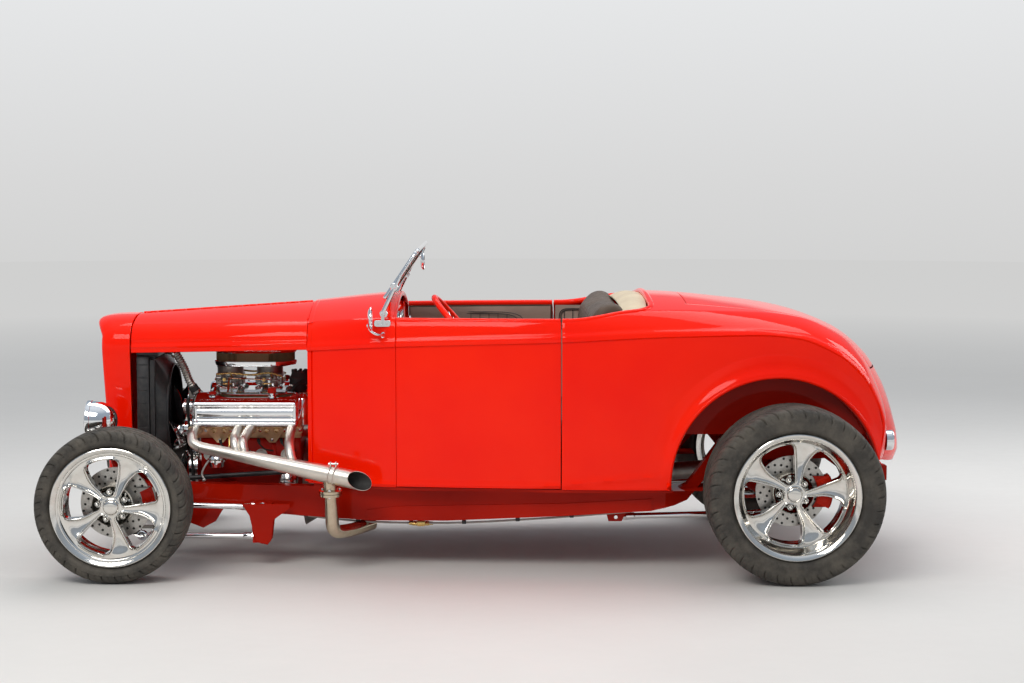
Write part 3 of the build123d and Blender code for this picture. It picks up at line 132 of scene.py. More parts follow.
def spline(points: list, count: int) -> np.ndarray:
    """A smooth run through the given points.

    Each coordinate is a cubic between points, with the slope at a point taken from its two
    neighbours, read at even steps of the summed chord length.

    Args:
        points: the points that the run goes through.
        count: how many points to return.
    """
    p = np.array(points, float)
    chord = np.concatenate([[0.0], np.cumsum(np.linalg.norm(np.diff(p, axis=0), axis=1))])
    tangents = np.gradient(p, chord, axis=0)
    at = np.linspace(0.0, chord[-1], count)
    k = np.clip(np.searchsorted(chord, at, side="right") - 1, 0, len(p) - 2)
    h = (chord[k + 1] - chord[k])[:, None]
    t = (at - chord[k])[:, None] / h
    return ((2 * t**3 - 3 * t**2 + 1) * p[k] + (t**3 - 2 * t**2 + t) * h * tangents[k]
            + (3 * t**2 - 2 * t**3) * p[k + 1] + (t**3 - t**2) * h * tangents[k + 1])


def bent(points: list, radius: float, arc: int = 8) -> np.ndarray:
    """Straight runs with a round bend at each inner corner.

    A bend is the quadratic curve whose middle handle is the corner and whose ends lie at the bend's
    reach on the two runs.

    Args:
        points: corners of the run.
        radius: reach of each bend along its runs, at most 0.45 of the shorter run.
        arc: points in a bend.
    """
    p = np.array(points, float)
    parts = [p[:1]]
    t = np.linspace(0.0, 1.0, arc)[:, None]
    for before, corner, after in zip(p[:-2], p[1:-1], p[2:]):
        reach = min(radius, 0.45 * np.linalg.norm(corner - before), 0.45 * np.linalg.norm(after - corner))
        start = corner + unit(before - corner) * reach
        end = corner + unit(after - corner) * reach
        parts.append((1 - t) ** 2 * start + 2 * t * (1 - t) * corner + t**2 * end)
    parts.append(p[-1:])
    return np.vstack(parts)


def across(direction: np.ndarray) -> tuple[np.ndarray, np.ndarray]:
    """Two directions square to one direction and to each other."""
    d = unit(np.asarray(direction, float))
    helper = vec(0, 0, 1) if abs(d[2]) < 0.9 else vec(1, 0, 0)
    u = unit(np.cross(helper, d))
    return u, np.cross(d, u)


def circle(count: int, radius: float = 1.0) -> np.ndarray:
    """Points round a circle: radius times the cosine and sine of even angles."""
    angle = np.linspace(0.0, 2 * math.pi, count, endpoint=False)
    return radius * np.column_stack([np.cos(angle), np.sin(angle)])


def rounded(half_u: float, half_v: float, radius: float, corner: int = 5) -> np.ndarray:
    """Outline of a rectangle with quarter-circle corners, as (u, v) pairs."""
    angle = np.linspace(0.0, math.pi / 2, corner)
    parts = []
    for turn, (su, sv) in enumerate(((1, 1), (-1, 1), (-1, -1), (1, -1))):
        a = angle + turn * math.pi / 2
        parts.append(np.column_stack([su * (half_u - radius) + radius * np.cos(a),
                                      sv * (half_v - radius) + radius * np.sin(a)]))
    return np.vstack(parts)


def grid_normals(p: np.ndarray) -> np.ndarray:
    """Unit normals of a grid of points: the cross product of its two directions of travel."""
    du = np.gradient(p, axis=0)
    dv = np.gradient(p, axis=1)
    return unit(np.cross(du, dv))


class Form:
    """Collects surfaces in station millimetres and makes one Blender piece of them."""

    def __init__(self, name: str) -> None:
        """Starts an empty form."""
        self.name = name
        self.points: list[np.ndarray] = []
        self.faces: list[tuple[np.ndarray, int]] = []
        self.count = 0

    def add(self, points: np.ndarray, faces: np.ndarray, slot: int = 0) -> None:
        """Adds points and faces, given as rows of point numbers."""
        self.points.append(np.asarray(points, float).reshape(-1, 3))
        self.faces.append((np.asarray(faces) + self.count, slot))
        self.count += len(self.points[-1])

    def grid(self, p: np.ndarray, slot: int = 0, loop_u: bool = False, loop_v: bool = False,
             facing: np.ndarray | None = None, keep: np.ndarray | None = None) -> None:
        """Adds a grid of points as quads.

        Args:
            p: points by row and column.
            slot: number of the material.
            loop_u: the last row joins the first.
            loop_v: the last column joins the first.
            facing: a direction that the faces should turn to, on the whole.
            keep: which quads to keep, by row and column.
        """
        if facing is not None and (grid_normals(p) * facing).sum() < 0:
            p = p[::-1]
            keep = keep[::-1] if keep is not None else None
        n, m = p.shape[:2]
        rows = np.arange(n if loop_u else n - 1)
        columns = np.arange(m if loop_v else m - 1)
        i, j = np.meshgrid(rows, columns, indexing="ij")
        i2, j2 = (i + 1) % n, (j + 1) % m
        quads = np.stack([i * m + j, i2 * m + j, i2 * m + j2, i * m + j2], axis=-1)
        self.add(p, quads[keep] if keep is not None else quads.reshape(-1, 4), slot)

    def cap(self, ring: np.ndarray, slot: int = 0) -> None:
        """Closes a ring of points with one face."""
        self.add(ring, np.arange(len(ring))[None, :], slot)

    def lathe(self, profile: list, centre: np.ndarray, axis: np.ndarray, turns: int = 64,
              slot: int = 0) -> None:
        """Turns a profile of (along, radius) pairs round an axis.

        A point is the centre plus along times the axis plus radius times a direction that goes
        round it. Ends that come near the axis close in a pole.
        """
        pr = np.array(profile, float)
        pr[pr[:, 1] < POLE_LIMIT, 1] = POLE_RADIUS
        d = unit(np.asarray(axis, float))
        u, v = across(d)
        ring = circle(turns)
        spoke = ring[:, :1] * u + ring[:, 1:] * v
        p = np.asarray(centre, float) + pr[:, None, :1] * d + pr[:, None, 1:] * spoke
        self.grid(p[:, ::-1], slot, loop_v=True)

    def tube(self, path: np.ndarray, radius: float | np.ndarray, sides: int = 16, slot: int = 0,
             capped: bool = True, looped: bool = False, section: np.ndarray | None = None) -> None:
        """Carries a round or given section along a path.

        At each point the section stands square to the path, with its first direction the cross
        product of the travel and the axis that the path follows least.

        Args:
            path: points of the middle line.
            radius: one radius, or one for each point.
            sides: points round the section.
            slot: number of the material.
            capped: closes both ends.
            looped: the path's end joins its start.
            section: (u, v) outline to use in place of a circle, scaled by radius.
        """
        path = np.asarray(path, float)
        if looped:
            travel = unit(np.roll(path, -1, axis=0) - np.roll(path, 1, axis=0))
        else:
            travel = unit(np.gradient(path, axis=0))
        helper = np.eye(3)[np.argmin(np.abs(travel).max(axis=0))]
        u = unit(np.cross(travel, helper))
        v = np.cross(travel, u)
        outline = circle(sides) if section is None else section
        scale = np.broadcast_to(np.asarray(radius, float), (len(path),))[:, None, None]
        p = path[:, None] + scale * (outline[None, :, :1] * u[:, None] + outline[None, :, 1:] * v[:, None])
        self.grid(p[:, ::-1], slot, loop_u=looped, loop_v=True)
        if capped and not looped:
            self.cap(p[0][::-1], slot)
            self.cap(p[-1], slot)

    def slab(self, outline: np.ndarray, origin: np.ndarray, u: np.ndarray, v: np.ndarray, depth: float,
             slot: int = 0, edge: float = 1.5) -> None:
        """Pushes a flat outline along the cross product of u and v, with softened edges.

        Args:
            outline: (u, v) pairs round the outline.
            origin: point that the pairs start from.
            u: direction of the first number.
            v: direction of the second.
            depth: thickness; below zero it goes the other way.
            slot: number of the material.
            edge: size of the softened edge.
        """
        o = np.asarray(outline, float)
        nearby = np.roll(o, -1, axis=0)
        if (o[:, 0] * nearby[:, 1] - o[:, 1] * nearby[:, 0]).sum() < 0:
            o = o[::-1]
        u, v = unit(np.asarray(u, float)), unit(np.asarray(v, float))
        n = np.cross(u, v)
        origin, depth = origin + n * min(depth, 0.0), abs(depth)
        middle = o.mean(axis=0)
        small = middle + (o - middle) * (1 - edge / np.abs(o - middle).max())
        rows = [(small, 0.0), (o, edge), (o, depth - edge), (small, depth)]
        p = np.stack([origin + s[:, :1] * u + s[:, 1:] * v + n * h for s, h in rows])
        self.grid(p[:, ::-1], slot, loop_v=True)
        self.cap(p[0][::-1], slot)
        self.cap(p[-1], slot)

    def box(self, low: np.ndarray, high: np.ndarray, slot: int = 0, edge: float = 2.0) -> None:
        """A block between two corners with softened edges."""
        low, high = np.asarray(low, float), np.asarray(high, float)
        half = (high - low) / 2
        outline = rounded(half[0], half[1], min(edge, half[0] * 0.9, half[1] * 0.9), 3)
        origin = vec(low[0] + half[0], low[1] + half[1], low[2])
        self.slab(outline, origin, vec(1, 0, 0), vec(0, 1, 0), high[2] - low[2], slot,
                  min(edge, half[2] * 0.9))

    def ball(self, centre: np.ndarray, radius: float, slot: int = 0, turns: int = 16) -> None:
        """A sphere as a turned half circle."""
        a = np.linspace(-math.pi / 2, math.pi / 2, turns // 2 + 1)
        self.lathe(np.column_stack([radius * np.sin(a), np.maximum(radius * np.cos(a), 0.02)]), centre,
                   vec(0, 0, 1), turns, slot)

    def bolt(self, centre: np.ndarray, axis: np.ndarray, size: float = 7.0, slot: int = 0) -> None:
        """A six-sided bolt head with a chamfered top on a round washer.

        Args:
            centre: middle of the face that the washer rests on.
            axis: direction that the head stands up in.
            size: half width of the head over its corners.
            slot: number of the material.
        """
        centre, d = np.asarray(centre, float), unit(np.asarray(axis, float))
        self.lathe([(0, 0.1), (0, size * 1.35), (size * 0.22, size * 1.35), (size * 0.26, 0.1)], centre, d,
                   14, slot)
        top = size * 0.95
        self.lathe([(size * 0.2, 0.1), (size * 0.2, size), (top - size * 0.14, size), (top, size * 0.84),
                    (top, 0.1)],
                   centre, d, 6, slot)

    def finish(self, finishes: list, body: str, slot: str, replaces: tuple = (), weld: bool = False,
               thick: float = 0.0, sharp: float = 35.0) -> bpy.types.Object:
        """Makes the piece and lets it ride on its body.

        Args:
            finishes: the Finish of each slot number.
            body: CAD body that carries the piece.
            slot: name of the record's material slot.
            replaces: CAD nodes that the piece stands for.
            weld: turns every closed form's faces outwards.
            thick: thickness of sheets in millimetres, inwards.
            sharp: edges sharper than this many degrees aren't smoothed.
        """
        mesh = bpy.data.meshes.new(self.name)
        points = to_frame(np.vstack(self.points))
        sizes = np.concatenate([np.full(len(f), f.shape[1]) for f, _ in self.faces])
        loops = np.concatenate([f.reshape(-1) for f, _ in self.faces])
        slots = np.concatenate([np.full(len(f), s) for f, s in self.faces])
        mesh.vertices.add(len(points))
        mesh.vertices.foreach_set("co", points.astype(np.float32).reshape(-1))
        mesh.loops.add(len(loops))
        mesh.loops.foreach_set("vertex_index", loops.astype(np.int32))
        mesh.polygons.add(len(sizes))
        mesh.polygons.foreach_set("loop_start", np.concatenate([[0], np.cumsum(sizes)[:-1]]).astype(np.int32))
        mesh.polygons.foreach_set("material_index", slots.astype(np.int32))
        mesh.update(calc_edges=True)
        mesh.validate(clean_customdata=False)
        shape = bmesh.new()
        shape.from_mesh(mesh)
        bmesh.ops.remove_doubles(shape, verts=shape.verts, dist=MERGE_GAP)
        if weld:
            bmesh.ops.recalc_face_normals(shape, faces=shape.faces)
        shape.to_mesh(mesh)
        shape.free()
        for finish in finishes:
            mesh.materials.append(finish.material)
        piece = bpy.data.objects.new(self.name, mesh)
        bpy.context.scene.collection.objects.link(piece)
        mesh.shade_smooth()
        mesh.set_sharp_from_angle(angle=math.radians(sharp))
        if thick:
            wall = piece.modifiers.new("wall", "SOLIDIFY")
            wall.thickness = thick * MM
            wall.offset = -1.0
        if replaces:
            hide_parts(*replaces)
        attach(piece, body)
        log.info("%s rides on %s", self.name, body)
        return piece


class Nodes:
    """One material's shader nodes, added from left to right."""

    def __init__(self, name: str) -> None:
        """Starts a material with its shader and the Object coordinates."""
        self.material = bpy.data.materials.new(name)
        self.material.use_nodes = True
        self.tree = self.material.node_tree
        self.shader = self.tree.nodes["Principled BSDF"]
        self.place = self.add("ShaderNodeTexCoord").outputs["Object"]

    def add(self, kind: str, **options: object) -> bpy.types.Node:
        """Adds a node and sets its plain options."""
        node = self.tree.nodes.new(kind)
        for name, value in options.items():
            setattr(node, name, value)
        return node

    def link(self, source: bpy.types.NodeSocket, target: bpy.types.NodeSocket) -> None:
        """Joins two sockets."""
        self.tree.links.new(source, target)

    def put(self, **values: object) -> None:
        """Sets the shader's own sockets, with spaces written as underscores."""
        for name, value in values.items():
            self.shader.inputs[name.replace("_", " ")].default_value = value

    def stretched(self, scale: tuple[float, float, float]) -> bpy.types.NodeSocket:
        """Object coordinates with their own scale on each axis."""
        node = self.add("ShaderNodeMapping")
        node.inputs["Scale"].default_value = scale
        self.link(self.place, node.inputs["Vector"])
        return node.outputs["Vector"]

    def noise(self, scale: float, detail: float = 3.0, rough: float = 0.55,
              source: bpy.types.NodeSocket | None = None) -> bpy.types.NodeSocket:
        """Cloudy noise from 0 to 1."""
        node = self.add("ShaderNodeTexNoise")
        node.inputs["Scale"].default_value = scale
        node.inputs["Detail"].default_value = detail
        node.inputs["Roughness"].default_value = rough
        self.link(source or self.place, node.inputs["Vector"])
        return node.outputs["Fac"]

    def cells(self, scale: float) -> bpy.types.NodeSocket:
        """Distance to the nearest of scattered points."""
        node = self.add("ShaderNodeTexVoronoi")
        node.inputs["Scale"].default_value = scale
        self.link(self.place, node.inputs["Vector"])
        return node.outputs["Distance"]

    def waves(self, scale: float, direction: str) -> bpy.types.NodeSocket:
        """Parallel bands."""
        node = self.add("ShaderNodeTexWave", bands_direction=direction)
        node.inputs["Scale"].default_value = scale
        self.link(self.place, node.inputs["Vector"])
        return node.outputs["Fac"]

    def span(self, value: bpy.types.NodeSocket, low: float, high: float, to_low: float,
             to_high: float) -> bpy.types.NodeSocket:
        """A value moved from one range to another."""
        node = self.add("ShaderNodeMapRange")
        for name, number in (("From Min", low), ("From Max", high), ("To Min", to_low), ("To Max", to_high)):
            node.inputs[name].default_value = number
        self.link(value, node.inputs["Value"])
        return node.outputs["Result"]

    def math(self, operation: str, a: bpy.types.NodeSocket, b: object) -> bpy.types.NodeSocket:
        """One sum of two values."""
        node = self.add("ShaderNodeMath", operation=operation)
        self.link(a, node.inputs[0])
        if isinstance(b, (int, float)):
            node.inputs[1].default_value = b
        else:
            self.link(b, node.inputs[1])
        return node.outputs["Value"]

    def mix(self, share: bpy.types.NodeSocket, a: object, b: object) -> bpy.types.NodeSocket:
        """Two colours mixed by a share; each is a colour or a socket."""
        node = self.add("ShaderNodeMix", data_type="RGBA")
        self.link(share, node.inputs["Factor"])
        for socket, value in ((node.inputs[6], a), (node.inputs[7], b)):
            if isinstance(value, tuple):
                socket.default_value = (*value, 1.0)
            else:
                self.link(value, socket)
        return node.outputs[2]

    def relief(self, height: bpy.types.NodeSocket, strength: float, distance: float) -> None:
        """Bump of the surface, added over any bump already there."""
        node = self.add("ShaderNodeBump")
        node.inputs["Strength"].default_value = strength
        node.inputs["Distance"].default_value = distance
        self.link(height, node.inputs["Height"])
        old = self.shader.inputs["Normal"].links
        if old:
            self.link(old[0].from_socket, node.inputs["Normal"])
        self.link(node.outputs["Normal"], self.shader.inputs["Normal"])

    def colour(self, source: bpy.types.NodeSocket) -> None:
        """Joins a colour to the shader."""
        self.link(source, self.shader.inputs["Base Color"])

    def rough(self, source: bpy.types.NodeSocket) -> None:
        """Joins a roughness to the shader."""
        self.link(source, self.shader.inputs["Roughness"])


@dataclass(frozen=True)
class Lacquer:
    """Glossy body paint: two close shades in soft clouds under a clear coat with fine orange peel."""

    name: str
    light: tuple
    dark: tuple
    gloss: float = 0.2
    coat: float = 0.8

    def build(self) -> bpy.types.Material:
        """The paint's material."""
        n = Nodes(self.name)
        clouds = n.noise(2.2, 3.0)
        n.colour(n.mix(n.span(clouds, 0.35, 0.68, 0.0, 1.0), self.dark, self.light))
        n.rough(n.span(n.noise(26.0, 4.0), 0.3, 0.75, self.gloss - 0.04, self.gloss + 0.06))
        n.put(Coat_Weight=self.coat, Coat_Roughness=0.03, Coat_IOR=1.3, Specular_IOR_Level=0.0)
        n.relief(n.noise(340.0, 2.0), 0.05, 0.0006)
        return n.material


@dataclass(frozen=True)
class Metal:
    """Bare, plated or cast metal: tone in clouds, scratches along one axis, and dirt in scattered patches."""

    name: str
    tone: tuple
    stain: tuple
    low: float = 0.08
    high: float = 0.2
    grain: tuple = (60.0, 60.0, 60.0)
    relief: float = 0.02
    bumps: float = 180.0
    metallic: float = 1.0
    dirt: float = 0.35

    def build(self) -> bpy.types.Material:
        """The metal's material."""
        n = Nodes(self.name)
        clouds = n.noise(7.0, 4.0, 0.6)
        pits = n.noise(1.0, 4.0, 0.6, n.stretched(self.grain))
        share = n.span(n.math("MULTIPLY", clouds, pits), 0.2, 0.42, 0.0, self.dirt)
        n.colour(n.mix(share, self.tone, self.stain))
        n.rough(n.span(pits, 0.3, 0.72, self.low, self.high))
        n.put(Metallic=self.metallic)
        n.relief(n.noise(self.bumps, 3.0), self.relief, 0.001)
        return n.material


@dataclass(frozen=True)
class Rubber:
    """Tyre rubber: dark, dusty in cloudy patches, with a fine matt grain."""

    name: str
    tone: tuple = (0.042, 0.038, 0.033)
    dust: tuple = (0.17, 0.148, 0.118)
    share: float = 0.6

    def build(self) -> bpy.types.Material:
        """The rubber's material."""
        n = Nodes(self.name)
        clouds = n.span(n.noise(9.0, 6.0, 0.68), 0.4, 0.75, 0.0, self.share)
        n.colour(n.mix(clouds, self.tone, self.dust))
        n.rough(n.span(n.noise(60.0, 3.0), 0.3, 0.7, 0.62, 0.85))
        n.put(Specular_IOR_Level=0.35)
        n.relief(n.noise(420.0, 3.0), 0.25, 0.0008)
        return n.material


@dataclass(frozen=True)
class Leather:
    """Upholstery leather: pebbled grain of small cells, soft creases and a faint sheen all over."""

    name: str
    tone: tuple
    crease: tuple
    grain: float = 520.0

    def build(self) -> bpy.types.Material:
        """The leather's material."""
        n = Nodes(self.name)
        clouds = n.noise(5.0, 4.0)
        n.colour(n.mix(n.span(clouds, 0.3, 0.7, 0.0, 1.0), self.crease, self.tone))
        n.rough(n.span(n.noise(40.0, 3.0), 0.3, 0.7, 0.42, 0.62))
        n.put(Sheen_Weight=0.03, Specular_IOR_Level=0.28)
        n.relief(n.cells(self.grain), 0.35, 0.0007)
        n.relief(n.noise(24.0, 4.0, 0.6), 0.18, 0.003)
        return n.material


@dataclass(frozen=True)
class Plastic:
    """Moulded plastic, vinyl or carpet: a fine even grain with a little variation in tone."""

    name: str
    tone: tuple
    other: tuple
    low: float = 0.4
    high: float = 0.6
    grain: float = 600.0
    depth: float = 0.2

    def build(self) -> bpy.types.Material:
        """The plastic's material."""
        n = Nodes(self.name)
        n.colour(n.mix(n.span(n.noise(14.0, 4.0), 0.3, 0.7, 0.0, 1.0), self.tone, self.other))
        n.rough(n.span(n.noise(50.0), 0.3, 0.7, self.low, self.high))
        n.relief(n.noise(self.grain, 2.0), self.depth, 0.0007)
        return n.material


@dataclass(frozen=True)
class Glass:
    """Clear or tinted glass, thin, with a faint film of dust."""

    name: str
    tint: tuple
    clear: float = 1.0
    low: float = 0.0

    def build(self) -> bpy.types.Material:
        """The glass's material."""
        n = Nodes(self.name)
        n.colour(n.mix(n.span(n.noise(8.0, 4.0), 0.4, 0.8, 0.0, 0.12), self.tint, (0.8, 0.8, 0.78)))
        n.rough(n.span(n.noise(30.0, 3.0), 0.4, 0.8, self.low, self.low + 0.06))
        n.put(Transmission_Weight=self.clear, IOR=1.45)
        return n.material


@dataclass(frozen=True)
class Ribbed:
    """Glass, rubber or paper with straight moulded ribs along one axis; the darker second tone lies in the
    ribs' valleys as painted shade.
    """

    name: str
    tone: tuple
    other: tuple
    pitch: float
    direction: str = "X"
    metallic: float = 0.0
    low: float = 0.2
    clear: float = 0.0

    def build(self) -> bpy.types.Material:
        """The ribbed material."""
        n = Nodes(self.name)
        ribs = n.waves(math.pi / (10.0 * self.pitch), self.direction)
        # The darker second tone follows the ribs' valleys: painted shade between the ribs
        n.colour(n.mix(ribs, self.other, self.tone))
        n.rough(n.span(n.noise(40.0), 0.3, 0.7, self.low, self.low + 0.15))
        n.put(Metallic=self.metallic, Transmission_Weight=self.clear)
        n.relief(ribs, 0.8, 0.002)
        return n.material


class Finish(Enum):
    """The finishes that the pieces choose from."""

    PAINT = Lacquer("red_orange_lacquer", (0.98, 0.015, 0.001), (0.93, 0.009, 0.001))
    CHASSIS = Lacquer("red_chassis_paint", (0.42, 0.011, 0.003), (0.3, 0.007, 0.002), gloss=0.28, coat=0.4)
    # A darker copy of the body red for the wheel tubs and liners: painted shade inside the arches
    TUB = Lacquer("red_tub_paint_painted_shade", (0.42, 0.012, 0.004), (0.3, 0.008, 0.003), gloss=0.35, coat=0.5)
    ENGINE = Lacquer("dark_red_engine_enamel", (0.4, 0.014, 0.008), (0.2, 0.008, 0.006), gloss=0.38, coat=0.3)
    BRONZE = Metal("bronze_head_paint", (0.72, 0.52, 0.3), (0.3, 0.2, 0.11), low=0.3, high=0.5,
                   grain=(40.0, 40.0, 40.0), relief=0.25, bumps=240.0)
    HEADER = Metal("silver_ceramic_header", (0.8, 0.74, 0.66), (0.44, 0.37, 0.3), low=0.28, high=0.44,
                   grain=(12.0, 30.0, 30.0), relief=0.12, bumps=420.0)
    # Near-black finish: soot on the exhaust bores, and painted shade on the discs and strips that stand for
    # the depth of bores, drilled holes and vent slots
    SOOT = Metal("soot_and_painted_shade", (0.03, 0.028, 0.026), (0.012, 0.011, 0.01), low=0.6, high=0.8,
                 metallic=0.2)
    CHROME = Metal("bright_chrome", (0.86, 0.87, 0.88), (0.55, 0.53, 0.5), low=0.03, high=0.07, relief=0.006,
                   dirt=0.2)
    POLISHED = Metal("polished_aluminium", (0.83, 0.82, 0.8), (0.5, 0.46, 0.4), low=0.1, high=0.2,
                     grain=(14.0, 120.0, 120.0), relief=0.02, bumps=300.0)
    WHEEL = Metal("polished_wheel", (0.75, 0.73, 0.69), (0.56, 0.5, 0.42), low=0.07, high=0.16,
                  grain=(40.0, 40.0, 40.0), relief=0.012, bumps=260.0)
    ROTOR = Metal("turned_rotor_steel", (0.5, 0.48, 0.45), (0.2, 0.15, 0.11), low=0.25, high=0.42,
                  grain=(160.0, 8.0, 160.0), relief=0.08, bumps=300.0)
    CAST = Metal("cast_aluminium", (0.42, 0.4, 0.37), (0.14, 0.12, 0.1), low=0.35, high=0.6,
                 grain=(30.0, 30.0, 30.0), relief=0.35, bumps=420.0)
    BLACK_METAL = Metal("black_coated_metal", (0.03, 0.03, 0.032), (0.09, 0.08, 0.07), low=0.3, high=0.5,
                        metallic=0.4, relief=0.1)
    BRASS = Metal("brass_fitting", (0.7, 0.48, 0.17), (0.3, 0.2, 0.08), low=0.2, high=0.35)
    WARM = Metal("heat_tinted_steel", (0.62, 0.53, 0.4), (0.3, 0.22, 0.13), low=0.14, high=0.26)
    CALIPER = Lacquer("red_caliper_paint", (0.62, 0.02, 0.006), (0.5, 0.014, 0.005), gloss=0.3, coat=0.5)
    RUBBER = Rubber("tyre_rubber")
    HOSE = Rubber("black_hose_rubber", (0.018, 0.018, 0.018), (0.05, 0.047, 0.043), share=0.35)
    LEATHER = Leather("seat_leather", (0.11, 0.074, 0.05), (0.07, 0.047, 0.031))
    PANEL_LEATHER = Leather("panel_leather", (0.41, 0.3, 0.245), (0.3, 0.215, 0.175))
    # Pale leather for the panel behind the seat back: its tone is a painted highlight of sunlight on the
    # upholstery
    CREAM = Leather("pale_leather_painted_sunlight", (0.66, 0.56, 0.4), (0.5, 0.4, 0.27))
    PIPING = Leather("dark_piping", (0.07, 0.058, 0.052), (0.04, 0.034, 0.03), grain=900.0)
    TRIM = Plastic("black_trim", (0.02, 0.02, 0.021), (0.04, 0.038, 0.036))
    CARPET = Plastic("charcoal_carpet", (0.035, 0.032, 0.033), (0.07, 0.063, 0.06), low=0.85, high=0.98,
                     grain=1400.0, depth=0.9)
    # PAPER, CORE and LENS: the darker second tone is painted shade in the rib valleys
    PAPER = Ribbed("brown_filter_paper", (0.34, 0.23, 0.11), (0.12, 0.075, 0.035), pitch=0.004, direction="X",
                   low=0.7)
    CORE = Ribbed("radiator_core", (0.1, 0.1, 0.105), (0.012, 0.012, 0.013), pitch=0.003, direction="Z",
                  metallic=0.5, low=0.5)
    LENS = Ribbed("headlight_lens", (0.9, 0.92, 0.93), (0.72, 0.76, 0.78), pitch=0.012, direction="Y",
                  low=0.03, clear=0.92)
    CLEAR = Glass("clear_glass", (0.94, 0.97, 0.96))
    LAMP = Glass("red_lamp_lens", (0.6, 0.01, 0.008), clear=0.4, low=0.08)
    MIRROR = Metal("mirror_glass", (0.9, 0.92, 0.93), (0.8, 0.8, 0.8), low=0.0, high=0.02, relief=0.0,
                   dirt=0.05)
    DIAL = Plastic("cream_dial", (0.75, 0.7, 0.58), (0.68, 0.62, 0.5), low=0.3, high=0.4, grain=300.0,
                   depth=0.02)

    @property
    def material(self) -> bpy.types.Material:
        """The finish's material, built once."""
        made = bpy.data.materials.get(self.value.name)
        return made or self.value.build()


# Finish of each slot of the record, for the CAD nodes that stay
SLOT_FINISH = {
    "body_paint": Finish.PAINT, "chassis_paint": Finish.CHASSIS, "engine_paint": Finish.ENGINE,
    "bronze_paint": Finish.BRONZE, "header_coat": Finish.HEADER, "polished_metal": Finish.POLISHED,
    "chrome": Finish.CHROME, "rotor_steel": Finish.ROTOR, "cast_metal": Finish.CAST,
    "black_metal": Finish.BLACK_METAL, "column_metal": Finish.BLACK_METAL, "steering_trim": Finish.PAINT,
    "tyre": Finish.RUBBER, "leather": Finish.LEATHER, "black_trim": Finish.TRIM, "glass": Finish.CLEAR,
    "lamp_lens": Finish.LAMP,
}


def dress_frame() -> None:
    """Gives every CAD node the finish of its slot in the record; the wheel tubs instead get the darker tub
    red, which is painted shade inside the arches.
    """
    for part in frame["record"]["subparts"]:
        node = frame["nodes"].get(part["node"])
        finish = SLOT_FINISH.get(part["material_slot"])
        if node is None or finish is None:
            log.warning("no finish for %s", part["node"])
            continue
        # The wheel tubs take the darker tub red: painted shade for the shadow inside the wheel arches
        inner = Finish.TUB if part["node"] == "wheel_tubs" else finish
        node.data.materials.clear()
        node.data.materials.append(inner.material)


# Rows of the upper body: belt x, y, z, then crease x, y, z, then x and z on the centre line
UPPER_ROWS = np.array([
    [744, 440, 890, 744, 372, 1010, 744, 1074],
    [1113, 566, 917, 1113, 536, 1032, 1113, 1108],
    [1780, 636, 940, 1780, 596, 1044, 1780, 1116],
    [2200, 650, 960, 2200, 560, 1064, 2200, 1108],
    [2560, 638, 966, 2560, 478, 1054, 2556, 1074],
    [2718, 622, 952, 2746, 430, 1031, 2756, 1040],
    [2882, 600, 886, 2914, 412, 960, 2944, 972],
    [2990, 575, 795, 3022, 403, 862, 3076, 868],
    [3056, 550, 686, 3082, 398, 752, 3164, 728],
    [3083, 540, 599, 3119, 396, 640, 3208, 604],
    [3075, 542, 520, 3128, 394, 545, 3234, 506],
    [3057, 548, 459, 3116, 394, 458, 3240, 448],
    [3048, 540, 452, 3098, 388, 436, 3224, 396],
], float)
UPPER_KNOTS = np.array([744, 1113, 1780, 2200, 2560, 2718, 2882, 2990, 3056, 3083, 3140, 3190, 3215], float)

# Rows of the lower side: station, half width at the sill and at the belt, height of the belt
SIDE_ROWS = np.array([
    [744, 430, 440, 890], [1113, 545, 566, 917], [1780, 615, 636, 940], [2200, 630, 650, 960],
    [2560, 625, 638, 966], [2718, 612, 622, 952], [2882, 596, 600, 886], [2990, 572, 575, 795],
    [3056, 549, 550, 686], [3083, 540, 540, 599],
], float)


def hem(p: np.ndarray, edges: str, facing: np.ndarray, depth: float = 16.0, turn: float = 1.6) -> np.ndarray:
    """Turns the edges of a sheet inwards, as pressed panels have them.

    Past an edge come three rows: two round the corner by the turn, and one at the depth, each moved
    against the sheet's outward normal.

    Args:
        p: grid of points.
        edges: which edges to turn, of u (first row), U (last row), v (first column), V (last column).
        facing: a direction on the sheet's outer side.
        depth: how deep the turned edge goes.
        turn: radius of the turned corner.
    """
    n = grid_normals(p)
    if (n * facing).sum() < 0:
        n = -n
    for axis, names in ((0, "uU"), (1, "vV")):
        for name in names:
            if name not in edges:
                continue
            last = name.isupper()
            edge = np.take(p, -1 if last else 0, axis=axis)
            near = np.take(p, -2 if last else 1, axis=axis)
            normal = np.take(n, -1 if last else 0, axis=axis)
            out = unit(edge - near)
            rows = [edge + out * turn * 0.7 - normal * turn * 0.3, edge + out * turn - normal * turn,
                    edge + out * turn - normal * depth]
            stack = np.stack(rows if last else rows[::-1], axis=axis)
            flat = np.stack([normal] * 3, axis=axis)
            p = np.concatenate([p, stack] if last else [stack, p], axis=axis)
            n = np.concatenate([n, flat] if last else [flat, n], axis=axis)
    return p


